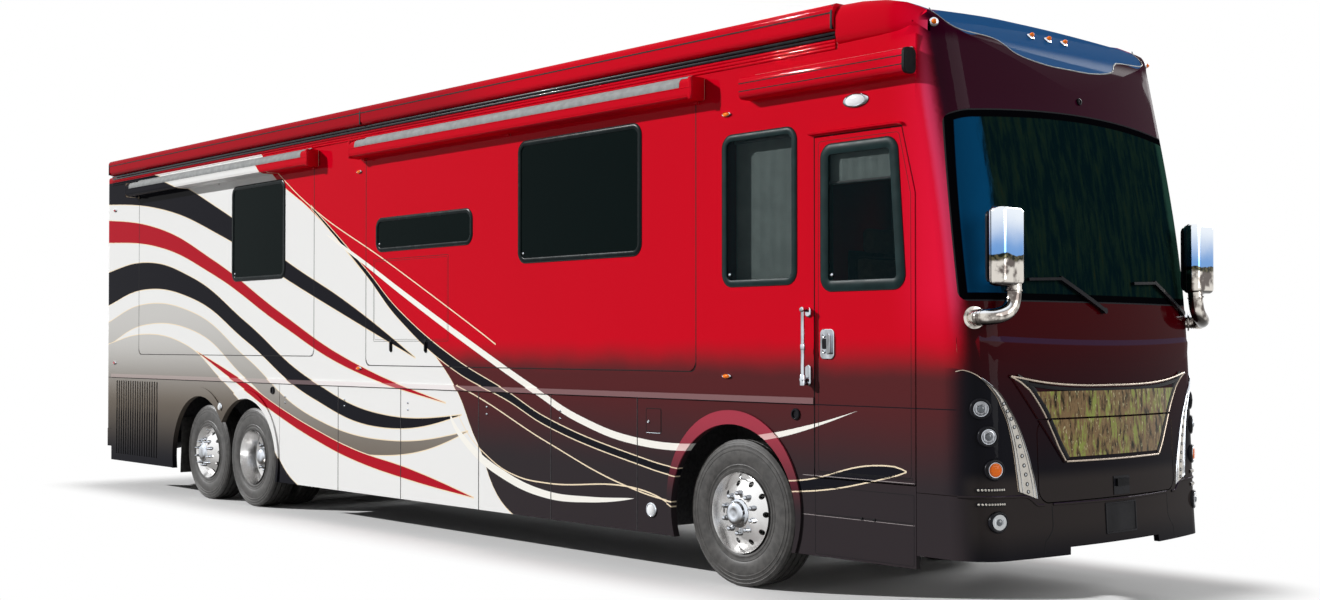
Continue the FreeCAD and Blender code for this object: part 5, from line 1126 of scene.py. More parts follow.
# %% Topper cloth, rails and case ends
ROOMS = {"front": ("slide_front_right", -1, -0.513, 4.147), "rear": ("slide_rear_right", -1,
                                                                     -5.793, -1.525),
         "left": ("slide_left", 1, -5.069, 3.831)}
RAIL_EDGE = (1.3095, 3.716)
CASE_EDGE = (1.372, 3.6835)
CLOTH_STEPS, CLOTH_LENGTHS, SAG = 8, 90, 0.006
OVER_CASE = [(1.397, 3.6828), (1.417, 3.6775), (1.4325, 3.6655), (1.4415, 3.644), (1.4425, 3.612)]


def topper_cloth(name, side, rear, front):
    """Cloth from the wall's rail to the top of the case, 1.2 mm thick, with small ripples."""
    solid = bmesh.new()
    across = []
    for n in range(CLOTH_STEPS + 1):
        t = n / CLOTH_STEPS
        across.append((RAIL_EDGE[0] + (CASE_EDGE[0] - RAIL_EDGE[0]) * t,
                       RAIL_EDGE[1] + (CASE_EDGE[1] - RAIL_EDGE[1]) * t - SAG * math.sin(math.pi * t)))
    across += OVER_CASE
    last = len(across) - 1
    rings = []
    for k in range(CLOTH_LENGTHS + 1):
        x = rear + (front - rear) * k / CLOTH_LENGTHS
        ripple = 0.0012 * math.sin(k * 0.9) + 0.0008 * math.sin(k * 0.37 + 1)
        top = [Vector((x, side * y, z + ripple * math.sin(math.pi * n / last)))
               for n, (y, z) in enumerate(across)]
        under = [point + Vector((0, -side * 0.0009, -0.001)) for point in reversed(top)]
        rings.append(top + under)
    skin(solid, rings)
    cloth = piece("topper_cloth_" + name, solid, [TOPPER_CLOTH], None, "roof_white", crisp=70)
    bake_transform(cloth)


for name, (body, side, rear, front) in ROOMS.items():
    topper_cloth(name, side, rear + 0.02, front - 0.02)
    solid = bmesh.new()
    for x, way in ((rear - 0.11, -1), (front + 0.11, 1)):
        low, high = sorted((x - way * 0.045, x + way * 0.004))
        ys = sorted((side * (SIDE_PLANE + 0.004), side * 1.441))
        block(solid, (low, ys[0], 3.516), (high, ys[1], 3.6855), 0.016, segments=3)
    for x in (rear - 0.02, (rear + front) / 2, front + 0.02):
        ys = sorted((side * 1.296, side * 1.318))
        block(solid, (x - 0.02, ys[0], 3.5), (x + 0.02, ys[1], 3.522), 0.004)
    for y, z, radius in ((1.4385, 3.607, 0.005), (1.4385, 3.5385, 0.0045)):
        swept(solid, [(rear - 0.1, side * y, z), (front + 0.1, side * y, z)], circle(radius, 8))
    piece("case_ends_" + name, solid, COACH_PAINT, body)
tell("toppers and cases")

# %% [markdown]
# Under the roof's edge run five rails from the rear to the hood, three painted and two dark, and the
# long awning cassettes show the joints of their extrusions.

# %% Rails under the roof and the cassettes' seams
RAILS_FROM, RAILS_TO = -6.6, 5.54
solid = bmesh.new()
for y in (-SIDE_PLANE, SIDE_PLANE):
    for z, radius in ((3.724, 0.0115), (3.747, 0.0135), (3.771, 0.0115)):
        swept(solid, [(RAILS_FROM, y, z), (RAILS_TO, y, z)], circle(radius, 12))
piece("painted_rails", solid, COACH_PAINT)
solid = bmesh.new()
for side in (-1, 1):
    for z, out in ((3.796, 0.008), (3.822, 0.012)):
        ys = sorted((side * 1.29, side * (SIDE_PLANE + out)))
        block(solid, (RAILS_FROM, ys[0], z - 0.01), (RAILS_TO, ys[1], z + 0.01), 0.0035)
piece("dark_rails", solid, BLACK_TRIM)
solid = bmesh.new()
for x0, x1 in ((-6.605, -0.565), (-0.545, 5.545)):
    block(solid, (x0, -1.3475, 3.948), (x1, -1.343, 3.958), 0.0006, segments=1)
for x in (-0.555, -6.6, 5.54):
    ring = [(x, y, z) for y, z in ((-1.349, 3.845), (-1.349, 3.96), (-1.335, 4.005), (-1.3, 4.021),
                                   (-1.2, 4.021), (-1.2, 3.99), (-1.32, 3.99), (-1.32, 3.845))]
    skin(solid, [[Vector(p) + Vector((shift, 0, 0)) for p in ring] for shift in (-0.008, 0.008)])
piece("cassette_seams", solid, SEAL_RUBBER)
tell("rails and seams")

# %% [markdown]
# The hood's upper edge swells to meet the front cassette, so that the case seems to run into it. A
# loft through six cross-sections makes the swelling, highest at the case and sinking into the corner.
# The small case over the door gets its dark end cap, its seams and the bead along its back.

# %% Hood shoulders and the door's case
SHOULDER = ((5.563, 1.332, 4.014, 1.11), (5.75, 1.328, 4.01, 1.09), (5.94, 1.32, 3.99, 1.07),
            (6.08, 1.309, 3.955, 1.05), (6.19, 1.296, 3.905, 1.03), (6.29, 1.262, 3.83, 1.0))
DOOR_CASE = (4.721, 6.221, 3.461, 3.62, 1.415)
for word, side in (("right", -1), ("left", 1)):
    solid = bmesh.new()
    rings = []
    for x, outer, top, inner in SHOULDER:
        section = [(outer - 0.05, 3.735), (outer - 0.016, 3.76), (outer - 0.003, 3.8), (outer, top - 0.095),
                   (outer - 0.012, top - 0.05), (outer - 0.034, top - 0.02), (outer - 0.066, top - 0.004),
                   (outer - 0.1, top), (inner + 0.04, top - 0.006), (inner, top - 0.024),
                   (inner - 0.06, top - 0.07), (inner - 0.13, top - 0.15), (inner - 0.13, 3.74)]
        rings.append([Vector((x, side * y, z)) for y, z in section])
    skin(solid, rings)
    piece("hood_shoulder_" + word, solid, COACH_PAINT, crisp=50)
rear, front, low, high, out = DOOR_CASE
solid = bmesh.new()
end = rounded([(-out - 0.003, low - 0.004), (-1.3, low - 0.004), (-1.3, high + 0.004),
               (-out - 0.003, high + 0.004)], 0.04, 6)
skin(solid, [[Vector((x, y, z)) for y, z in shrunk(end, inset)]
             for x, inset in ((front - 0.014, 0), (front + 0.006, 0), (front + 0.01, 0.004),
                              (front + 0.011, 0.012))])
for z in (low + 0.052, low + 0.108):
    block(solid, (rear + 0.004, -out - 0.0012, z - 0.0035), (front - 0.012, -out + 0.004, z + 0.0035),
          0.0005, segments=1)
piece("door_case_trim", solid, SEAL_RUBBER)
solid = bmesh.new()
swept(solid, [(rear + 0.06, -1.304, high + 0.01), (front - 0.02, -1.304, high + 0.01)], circle(0.008, 12))
piece("door_case_bead", solid, PALE_BEAD)
tell("hood shoulders and door case")

# %% [markdown]
# The side's small fittings come next, and first paired chrome latches and rubber seals on the bay
# doors, two levers on the front room, and the seals round all rooms. Each is made where the
# photograph shows it and rides on whatever carries it.

# %% Bay latches and slide locks
BAY_SEAMS = {"right": (-2.232, -1.03, 0.115, 1.375, 2.405), "left": (-2.232, -0.343, 1.546)}
for word, side in (("right", -1), ("left", 1)):
    for number, rear in enumerate(BAY_SEAMS[word], start=1):
        solid = bmesh.new()
        for z in (1.203, 1.141):
            turned(solid, [(0.0105, -0.002), (0.0105, 0.003), (0.0085, 0.0065), (0.004, 0.0075),
                           (0.0035, 0.005), (0.0006, 0.005)], (rear + 0.118, side * SIDE_PLANE, z),
                   (0, side, 0), steps=20)
        piece("latches_%s_%d" % (word, number), solid, CHROME, "bay_door_%s_%d" % (word, number))
        solid = bmesh.new()
        for x in (rear + 0.012, rear + 0.03):
            ys = sorted((side * (SIDE_PLANE - 0.035), side * (SIDE_PLANE - 0.038)))
            block(solid, (x, ys[0], 0.36), (x + 0.008, ys[1], 1.28), 0.001, segments=1)
        piece("bay_seal_%s_%d" % (word, number), solid, SEAL_RUBBER, "bay_door_%s_%d" % (word, number),
              "tyre_rubber")


def lock(solid, x, z, side):
    """A black lever lock in a shallow oval plate."""
    plate_line = rounded(box_corners(x - 0.022, x + 0.022, z - 0.058, z + 0.058), 0.02, 5)
    skin(solid, [on_side(plate_line, side, -0.002), on_side(plate_line, side, 0.004)])
    lever = rounded(box_corners(x - 0.009, x + 0.009, z - 0.046, z + 0.04), 0.0085, 5)
    skin(solid, [on_side(lever, side, 0.003), on_side(lever, side, 0.015),
                 on_side(shrunk(lever, 0.003), side, 0.018)])
    turned(solid, [(0.008, 0), (0.008, 0.008), (0.005, 0.009), (0.001, 0.007)],
           (x, side * SIDE_PLANE, z + 0.049), (0, side, 0), steps=14)


solid = bmesh.new()
for x, z in ((-0.062, 1.725), (0.53, 1.722)):
    lock(solid, x, z, -1)
piece("slide_locks", solid, BLACK_TRIM, "slide_front_right")


def outlined(solid, corners, side, radius=0.012, wide=0.004, proud=0.0006):
    """A fine seam drawn as a thin line on a panel."""
    swept(solid, on_side(rounded(corners, radius), side),
          [(-wide / 2, -0.002), (-wide / 2, proud), (wide / 2, proud), (wide / 2, -0.002)], closed=True,
          up=(0, side, 0))


SEAL_GAP, SEAL_TOP = 0.0035, 3.5
ROOM_LOW = {"front": 1.544, "rear": 1.626, "left": 1.544}
for name, (body, side, rear, front) in ROOMS.items():
    solid = bmesh.new()
    top_rear, top_front = (rear - SEAL_GAP, SEAL_TOP), (front + SEAL_GAP, SEAL_TOP)
    foot = ROOM_LOW[name] - SEAL_GAP
    turns = rounded([top_rear, (top_rear[0], foot), (top_front[0], foot), top_front], 0.06, 8)
    turns = [place for place in turns if place[1] < SEAL_TOP - 0.06]
    swept(solid, on_side([top_rear] + turns + [top_front], side),
          [(-0.0036, -0.006), (-0.0036, 0.0009), (0.0036, 0.0009), (0.0036, -0.006)], up=(0, side, 0))
    piece("room_seal_" + name, solid, SEAL_RUBBER, body, "tyre_rubber")
solid = bmesh.new()
outlined(solid, box_corners(-0.377, 0.894, 1.77, 2.54), -1)
outlined(solid, box_corners(-0.36, 0.877, 1.787, 2.523), -1, wide=0.0025)
piece("slide_hatch_line", solid, SEAL_RUBBER, "slide_front_right")
tell("bay latches and room seals")

# %% [markdown]
# The entry door has a drip rail above it, a seal in its gap, a fine line round its skin, a chrome lock
# plate with a paddle, and the long grab handle beside it has two feet. At the hinge the seal lies
# deeper, so that the door's edge can turn past it. plate() makes any flat fitting with an eased rim.

# %% Doorway trim, lock plate and grab handle


def plate(solid, outline, *layers, side=-1):
    """A flat fitting on a side wall. layers are (lift, inset) pairs from its foot to its face."""
    skin(solid,
         [on_side(shrunk(outline, inset) if inset else outline, side, lift) for lift, inset in layers])


HANDLE_X = 5.286
solid = bmesh.new()
drip = [(5.3, 3.166), (6.08, 3.166), (6.112, 3.158)]
swept(solid, [Vector((x, -SIDE_PLANE - 0.006, z)) for x, z in drip],
      [(-0.009, -0.008), (-0.009, 0.01), (-0.002, 0.024), (0.007, 0.021), (0.01, -0.008)], up=(0, -1, 0))
piece("drip_rail", solid, COACH_PAINT)
solid = bmesh.new()
seal_path = [(5.338, 0.001, 0.9), (5.338, 0.001, 3.142), (6.106, 0.001, 3.142), (6.214, 0.009, 2.716),
             (6.214, 0.009, 0.9)]
swept(solid, [Vector((x, -SIDE_PLANE + deep, z)) for x, deep, z in seal_path], circle(0.0038, 8),
      up=(0, -1, 0))
piece("door_seal", solid, SEAL_RUBBER, "coach", "tyre_rubber")
solid = bmesh.new()
outlined(solid, [(5.375, 0.88), (6.178, 0.88), (6.178, 2.7), (6.08, 3.108), (5.375, 3.108)], -1, 0.03,
         0.003)
outlined(solid, box_corners(5.365, 6.19, 0.872, 0.886), -1, 0.004, 0.003)
piece("door_skin_line", solid, SEAL_RUBBER, "entry_door")
solid = bmesh.new()
plate_line = rounded(box_corners(5.395, 5.52, 1.64, 1.842), 0.03, 6)
plate(solid, plate_line, (-0.002, 0), (0.005, 0), (0.008, 0.004))
paddle = rounded(box_corners(5.47, 5.503, 1.672, 1.812), 0.014, 5)
plate(solid, paddle, (0.006, 0), (0.026, 0), (0.031, 0.005))
for z in (1.795, 1.69):
    turned(solid, [(0.014, 0.004), (0.014, 0.014), (0.01, 0.017), (0.002, 0.014)], (5.432, -SIDE_PLANE, z),
           (0, -1, 0), steps=20)
piece("door_lock_plate", solid, CHROME, "entry_door")
solid = bmesh.new()
recess = rounded(box_corners(5.415, 5.462, 1.708, 1.778), 0.01, 4)
plate(solid, recess, (0.006, 0), (0.0088, 0))
piece("door_lock_recess", solid, BLACK_TRIM, "entry_door")
solid = bmesh.new()
for z0, z1 in ((1.925, 1.992), (1.46, 1.6)):
    foot = rounded(box_corners(5.262, 5.31, z0, z1), 0.02, 5)
    plate(solid, foot, (-0.001, 0), (0.01, 0), (0.016, 0.006))
for z in (1.975, 1.5):
    turned(solid, [(0.018, 0.01), (0.018, 0.06), (0.019, 0.073), (0.014, 0.0785), (0.003, 0.08)],
           (HANDLE_X, -SIDE_PLANE, z), (0, -1, 0), steps=24)
for z, collar in ((1.462, [(0.0205, 0), (0.0205, 0.07), (0.0165, 0.076)]),
                  (1.7, [(0.0165, 0), (0.0185, 0.01), (0.0185, 0.03), (0.0165, 0.04)])):
    turned(solid, collar, (HANDLE_X, -SIDE_PLANE - 0.06, z), (0, 0, 1), steps=24)
piece("grab_handle_feet", solid, CHROME)
tell("doorway")

# %% [markdown]
# Every lamp on the sides is a chrome rim round a domed lens, and only its size and colour differ: small
# amber and red markers, round lamps by the wheels, and an oval porch lamp over the door.

# %% Lamps on the sides
SIDE_MARKERS = ((4.481, 3.392, AMBER_LENS), (4.481, 1.512, AMBER_LENS), (-0.64, 3.402, AMBER_LENS),
                (-0.64, 1.512, AMBER_LENS), (-6.52, 3.402, RED_LENS), (-6.52, 1.512, RED_LENS))
LENS_WHITE = finish("white_lens", (0.8, 0.82, 0.84), 0.1, Coat_Weight=1.0)


def oval(x, z, half_length, half_height, side, out, count=28):
    return [Vector((x + half_length * math.cos(math.tau * n / count), side * (SIDE_PLANE + out),
                    z + half_height * math.sin(math.tau * n / count))) for n in range(count)]


def oval_lamp(name, x, z, length, height, side, lens):
    """A chrome rim round a domed lens."""
    solid = bmesh.new()
    skin(solid, [oval(x, z, length / 2 * k, height / 2 * k, side, out)
                 for k, out in ((1.0, -0.002), (1.0, 0.005), (0.93, 0.011), (0.8, 0.0135), (0.7, 0.01))])
    piece(name + "_rim", solid, CHROME)
    solid = bmesh.new()
    skin(solid, [oval(x, z, length / 2 * k, height / 2 * k, side, out)
                 for k, out in ((0.74, 0.004), (0.74, 0.011), (0.62, 0.0155), (0.38, 0.0185),
                                (0.1, 0.0195))])
    piece(name + "_lens", solid, lens)


for word, side in (("right", -1), ("left", 1)):
    for number, (x, z, lens) in enumerate(SIDE_MARKERS, start=1):
        oval_lamp("marker_%s_%d" % (word, number), x, z, 0.096, 0.036, side, lens)
    oval_lamp("arch_lamp_" + word, -3.609, 1.051, 0.1, 0.1, side, LENS_WHITE)
    oval_lamp("low_lamp_" + word, 3.657, 0.49, 0.118, 0.118, side, LENS_WHITE)
oval_lamp("porch_lamp", 5.714, 3.352, 0.225, 0.1, -1, LENS_WHITE)
tell("side lamps")

# %% [markdown]
# The right side also has two round ports, a flap over the fuel filler and a cover below the door.
# Their gaps could be cut into the wall. A thin dark line laid on it shows the same and leaves the
# packed wall as it is.

# %% Ports, fuel flap and step cover
solid = bmesh.new()
for x, z in ((5.164, 1.262), (-2.385, 1.262)):
    turned(solid, [(0.04, -0.002), (0.04, 0.008), (0.034, 0.014), (0.027, 0.014), (0.024, 0.004),
                   (0.003, 0.003)], (x, -SIDE_PLANE, z), (0, -1, 0), steps=28)
piece("round_ports", solid, BLACK_TRIM)
solid = bmesh.new()
outlined(solid, box_corners(3.592, 3.765, 1.075, 1.255), -1, 0.012, 0.0045, 0.001)
piece("fuel_flap_line", solid, SEAL_RUBBER)
solid = bmesh.new()
skin(solid, [on_side(shrunk(rounded(box_corners(3.594, 3.763, 1.077, 1.253), 0.01), 0.003), -1, out)
             for out in (-0.001, 0.002)])
piece("fuel_flap", solid, COACH_PAINT)
solid = bmesh.new()
turned(solid, [(0.012, -0.001), (0.012, 0.007), (0.009, 0.01), (0.002, 0.008)], (3.622, -SIDE_PLANE, 1.155),
       (0, -1, 0), steps=20)
swept(solid, [(3.6, -SIDE_PLANE - 0.003, 1.071), (3.757, -SIDE_PLANE - 0.003, 1.071)], circle(0.003, 8))
piece("fuel_flap_lock", solid, CHROME)
solid = bmesh.new()
outlined(solid, box_corners(5.345, 6.2, 0.33, 0.59), -1, 0.01, 0.0035)
outlined(solid, box_corners(5.345, 6.2, 0.6, 0.78), -1, 0.01, 0.0035)
for x in (5.75, 5.86):
    block(solid, (x, -SIDE_PLANE - 0.006, 0.588), (x + 0.02, -SIDE_PLANE + 0.002, 0.606), 0.002)
piece("step_cover_line", solid, SEAL_RUBBER)
tell("sides fitted")

# %% [markdown]
# The nose is one bowed shell, so pieces that lie on it are laid by casting rays at the packed
# surfaces: a path is drawn flat, as seen from the front, and each of its points goes to where its ray
# strikes. That way strips and panels follow the bow and the corners without being measured by hand.

# %% Strips and panels laid on the nose
NOSE_NODES = ("front_cap", "windshield", "front_bumper", "generator_door")
nose_points, nose_faces = [], []
for name in NOSE_NODES:
    mesh = NODES[name].data
    start = len(nose_points)
    nose_points += [tuple(vert.co) for vert in mesh.vertices]
    nose_faces += [tuple(start + index for index in face.vertices) for face in mesh.polygons]
NOSE = BVHTree.FromPolygons(nose_points, nose_faces)
AHEAD = 7.2


def on_nose(y, z, lift=0.0):
    """The place on the nose that is seen at (y, z) from the front, lifted along its normal."""
    for nudge in (0.0, 0.006, -0.006, 0.014, -0.014, 0.03, -0.03):
        place, normal, index, distance = NOSE.ray_cast(Vector((AHEAD, y, z + nudge)), Vector((-1, 0, 0)))
        if place is not None and place.x > 5.3:
            if normal.x < 0:
                normal = -normal
            return Vector((place.x, y, z)) + normal * lift
    raise ValueError("nothing on the nose at y %.3f, z %.3f" % (y, z))


def facing(y, z):
    """The way in which the nose faces at (y, z), a metre long."""
    return on_nose(y, z, 1.0) - on_nose(y, z, 0.0)


def strip_on_nose(solid, path, widths, lift=0.004, sunk=0.004, material=0, steps=6, smooth=True):
    """A raised strip along a (y, z) path. widths is one width, or one for each given point."""
    flat = [Vector((y, z, 0)) for y, z in path]
    if smooth:
        line_points = smooth_path(flat, steps)
    else:
        line_points = [flat[n].lerp(flat[n + 1], s / steps) for n in range(len(flat) - 1)
                       for s in range(steps)]
        line_points.append(flat[-1])
    if not isinstance(widths, (list, tuple)):
        widths = [widths] * len(path)
    rings = []
    last = len(line_points) - 1
    for n, point in enumerate(line_points):
        run = (line_points[min(n + 1, last)] - line_points[max(n - 1, 0)]).normalized()
        across = Vector((-run.y, run.x, 0))
        where = n / steps
        low = min(int(where), len(widths) - 2)
        half = (widths[low] + (widths[low + 1] - widths[low]) * (where - low)) / 2
        ring = []
        for share, height in ((-1, -sunk), (-1, lift * 0.6), (-0.7, lift), (0, lift * 1.15), (0.7, lift),
                              (1, lift * 0.6), (1, -sunk)):
            spot = point + across * half * share
            ring.append(on_nose(spot.x, spot.y, height))
        rings.append(ring)
    skin(solid, rings, material=material)


def panel_on_nose(solid, rows, columns=12, lift=0.004, sunk=0.004, material=0):
    """A thin panel between left and right edges. rows are (y_left, y_right, z) from top to bottom."""
    rings = []
    for left, right, z in rows:
        ys = [left + (right - left) * n / columns for n in range(columns + 1)]
        rings.append([on_nose(y, z, lift) for y in ys] + [on_nose(y, z, -sunk) for y in reversed(ys)])
    skin(solid, rings, material=material)


def quilt_on_nose(solid, lefts, rights, columns=6, lift=0.004, sunk=0.004, bow=0.0, material=0):
    """A thin panel between two (y, z) edges of as many points, bowed outwards by bow in its middle."""
    rings = []
    for (y0, z0), (y1, z1) in zip(lefts, rights):
        places = [(y0 + (y1 - y0) * n / columns, z0 + (z1 - z0) * n / columns, n / columns)
                  for n in range(columns + 1)]
        rings.append([on_nose(y, z, lift + bow * 4 * share * (1 - share)) for y, z, share in places]
                     + [on_nose(y, z, -sunk) for y, z, share in reversed(places)])
    skin(solid, rings, material=material)


def between(rows, extra=5):
    """More rows between the given ones."""
    out = []
    for low, high in zip(rows, rows[1:]):
        out += [tuple(a + (b - a) * n / extra for a, b in zip(low, high)) for n in range(extra)]
    return out + [rows[-1]]


print("nose surface", len(nose_faces), "faces, tip at x %.3f" % on_nose(0, 1.0).x)

# %% [markdown]
# The grille is a mirror-bright insert in a bevelled black surround with a thin champagne outline, and
# it splits at the top of the generator flap, whose part slides out with its tray. The outline dips in
# the middle at the top and its sides curve inwards.

# %% Grille's finishes and its outline
CHAMPAGNE = cloudy("champagne_trim", (0.5, 0.42, 0.34), 0.28, 20.0, 0.1, metallic=0.7)


def mirror_with_painted_reflection():
    """A mirror sheet in a painted reflection: a bronze and olive mottle in upright streaks."""
    material = finish("mirror_insert", (0.3, 0.3, 0.2), 0.1, 1.0)
    position = place_in(material)
    drawn = position.node("ShaderNodeVectorMath", {0: position, 1: (1.0, 30.0, 9.0)},
                          {"operation": "MULTIPLY"})
    streak = drawn.noise(1.0, 5.0, 0.62)
    patch = drawn.noise(0.35, 3.0)
    # The bronze and olive mottle is a painted reflection of the surroundings.
    colour = streak.rise(0.34, 0.52).mix((0.012, 0.012, 0.007), (0.17, 0.11, 0.055))
    colour = (streak * 0.6 + patch * 0.4).rise(0.5, 0.6).mix(colour, (0.2, 0.23, 0.055))
    colour = drawn.noise(3.0, 3.0).rise(0.62, 0.72).mix(colour, (0.46, 0.42, 0.24))
    wire_in(material, "Base Color", colour)
    wire_in(material, "Roughness", 0.08 + streak * 0.1)
    return material


MIRROR_INSERT = mirror_with_painted_reflection()
SPLIT = 1.266
OUTER_TOP, OUTER_BOTTOM = (1.01, 1.55), (0.545, 0.985)


def side_edge(z):
    """How far out the grille's edge stands at a height."""
    share = (z - OUTER_BOTTOM[1]) / (OUTER_TOP[1] - OUTER_BOTTOM[1])
    return OUTER_BOTTOM[0] + (OUTER_TOP[0] - OUTER_BOTTOM[0]) * share - 0.02 * math.sin(math.pi * share)


# each pair is a height and how far the outline bows inwards there
OUTLINE_BOW = ((0.985, 0.0), (1.08, 0.0), (1.2, 0.022), (1.3, 0.046), (1.38, 0.056), (1.45, 0.056),
               (1.5, 0.03), (1.546, -0.022))


def outline_edge(z):
    """How far out the thin outline stands: it bows inwards between the flared tip and the foot."""
    for (low, bow_low), (high, bow_high) in zip(OUTLINE_BOW, OUTLINE_BOW[1:]):
        if z <= high:
            return side_edge(z) - bow_low - (bow_high - bow_low) * (z - low) / (high - low)
    return side_edge(z) - OUTLINE_BOW[-1][1]


def top_edge(y):
    """The height of the grille's dipped top line."""
    share = min(abs(y) / 0.98, 1.0)
    return 1.478 + 0.068 * share ** 3.0


print("grille half width %.3f at the flap's top" % side_edge(SPLIT))

# %% [markdown]
# The grille is a dark, mirror-like insert with a bright outline and a black bevel inside it. The flap
# splits it, so the upper pieces ride on the coach and the lower ones go with the generator's tray.

# %% Grille
UPPER_HEIGHTS = (1.5, 1.475, 1.45, 1.41, 1.36, 1.31, SPLIT + 0.007)
LOWER_HEIGHTS = (SPLIT - 0.007, 1.2, 1.14, 1.08)
solid = bmesh.new()
panel_on_nose(solid, between([(-side_edge(1.44) + 0.105, side_edge(1.44) - 0.105, 1.44),
                              (-side_edge(SPLIT) + 0.085, side_edge(SPLIT) - 0.085, SPLIT + 0.006)]), 24,
              0.0175, -0.011)
piece("grille_insert_upper", solid, MIRROR_INSERT)
solid = bmesh.new()
panel_on_nose(solid, between([(-side_edge(SPLIT) + 0.085, side_edge(SPLIT) - 0.085, SPLIT - 0.006),
                              (-side_edge(1.03) + 0.07, side_edge(1.03) - 0.07, 1.02)]), 24, 0.0175, -0.011)
piece("grille_insert_lower", solid, MIRROR_INSERT, "generator_tray")
top_line = [(1.004 * s, top_edge(1.004 * s) - 0.006) for s in (n / 10 for n in range(-10, 11))]
solid = bmesh.new()
strip_on_nose(solid, top_line, 0.014, lift=0.019, sunk=-0.01, steps=2)
for side in (-1, 1):
    strip_on_nose(solid, [(side * (outline_edge(z) - 0.012), z) for z in (1.541, 1.52) + UPPER_HEIGHTS],
                  0.014, lift=0.019, sunk=-0.01, steps=3)
piece("grille_outline_upper", solid, CHAMPAGNE)
solid = bmesh.new()
for side in (-1, 1):
    strip_on_nose(solid, [(side * (outline_edge(z) - 0.012), z) for z in LOWER_HEIGHTS + (0.999,)], 0.014,
                  lift=0.019, sunk=-0.01, steps=4)
strip_on_nose(solid, [(-0.535, 0.993), (0, 0.99), (0.535, 0.993)], 0.014, lift=0.019, sunk=-0.01, steps=10)
piece("grille_outline_lower", solid, CHAMPAGNE, "generator_tray")
for body, rows, tag in (("coach", (1.53,) + UPPER_HEIGHTS, "upper"),
                        ("generator_tray", LOWER_HEIGHTS + (1.012,), "lower")):
    solid = bmesh.new()
    for side in (-1, 1):
        strip_on_nose(solid, [(side * (outline_edge(z) - 0.046), z) for z in rows], 0.052, lift=0.0165,
                      sunk=-0.009, steps=4)
    if tag == "upper":
        strip_on_nose(solid, [(y, z - 0.028) for y, z in top_line[1:-1]], 0.03, lift=0.0165, sunk=-0.009,
                      steps=2)
    piece("grille_bevel_" + tag, solid, BLACK_TRIM, body)
tell("grille")

# %% [markdown]
# Each corner carries three round lamps above a fog lamp, on a gloss black panel bounded by a horn of
# light: a pale strip with a row of small diodes that widens downwards. Two short bars and the fog lamp
# stand by the bumper. Lamps are turned about the direction in which the corner faces there. Their
# functions are called below, once the horn and the bars have theirs, so each side is made in one go.

# %% Corner lamps
STRIP_WHITE = cloudy("strip_white", (0.78, 0.74, 0.67), 0.3, 20.0, 0.06)
LAMP_BOWL = polished("lamp_bowl", (0.34, 0.35, 0.37), (0.02, 0.02, 0.024), 0.12, 60.0, 0.8, 0.3)
GLOBE = finish("projector_lens", (0.1, 0.12, 0.14), 0.03, Coat_Weight=0.6, Specular_IOR_Level=0.5)
BUMPER_TOP, CORNER_RADIUS, BOW = 0.796, 0.26, 5.94
# each lamp's height over the bumper's top, its share of a quarter turn round the corner, and its lens
LAMPS = ((1.684, 0.46, GLOBE), (1.468, 0.36, GLOBE), (1.21, 0.27, AMBER_LENS), (0.806, 0.24, GLOBE))


def corner_place(side, height, angle):
    """The place on a rounded corner, and the way it faces there."""
    tip = on_nose(0, height).x
    centre = Vector((tip - BOW + math.sqrt((BOW - CORNER_RADIUS) ** 2 - (SIDE_PLANE - CORNER_RADIUS) ** 2),
                     side * (SIDE_PLANE - CORNER_RADIUS), height))
    out = Vector((math.cos(angle), side * math.sin(angle), 0))
    return centre + out * CORNER_RADIUS, out


def bezel(name, face, out):
    """A gloss black ring with a bright one inside it."""
    solid = bmesh.new()
    turned(solid, [(0.068, -0.012), (0.068, 0.006), (0.063, 0.013), (0.056, 0.015), (0.049, 0.011),
                   (0.049, -0.012)], face, out, closed=True, material=0)
    turned(solid, [(0.0495, 0.004), (0.0495, 0.0125), (0.0475, 0.0165), (0.0445, 0.0165), (0.043, 0.012),
                   (0.043, 0.004)], face, out, closed=True, material=1)
    piece(name, solid, [BLACK_TRIM, CHROME], crisp=50)


def projector(solid, face, out, across):
    """A bowl with a globe in it, between two upright bars."""
    turned(solid, [(0.0428, 0.0145), (0.036, 0.015), (0.031, 0.0165), (0.027, 0.015), (0.024, 0.0155),
                   (0.0235, 0.015), (0.002, 0.0148)], face, out, material=0)
    turned(solid, [(0.0225, 0.015), (0.0215, 0.019), (0.017, 0.0232), (0.01, 0.0258), (0.002, 0.0266)],
           face, out, material=1)
    for way in (-1, 1):
        swept(solid, [face + out * 0.0165 + across * way * 0.028 + Vector((0, 0, h))
                      for h in (-0.022, 0, 0.022)], circle(0.0022, 6), material=2)


def ribbed_lens(solid, face, out, across):
    """A domed lens with seven level ribs."""
    turned(solid, [(0.0428, 0.015), (0.04, 0.0185), (0.034, 0.0205), (0.024, 0.0225), (0.012, 0.0235),
                   (0.002, 0.0238)], face, out, material=1)
    for rib in range(-3, 4):
        rise = rib * 0.01
        reach = math.sqrt(0.036 ** 2 - rise ** 2) if abs(rise) < 0.036 else 0.01
        swept(solid, [face + out * 0.0222 + across * reach * s + Vector((0, 0, rise)) for s in (-1, 0, 1)],
              circle(0.0022, 6), material=1)


def corner_lamps(word, side):
    """Three round lamps and the fog lamp of one corner."""
    for number, (level, turn, lens) in enumerate(LAMPS, start=1):
        face, out = corner_place(side, BUMPER_TOP * level, turn * math.pi / 2)
        bezel("lamp_bezel_%s_%d" % (word, number), face, out)
        solid = bmesh.new()
        across = Vector((0, 0, 1)).cross(out).normalized()
        (projector if lens == GLOBE else ribbed_lens)(solid, face, out, across)
        piece("lamp_glass_%s_%d" % (word, number), solid, [LAMP_BOWL, lens, CHROME], crisp=50)


print("corner lamps:", len(LAMPS), "on each side")

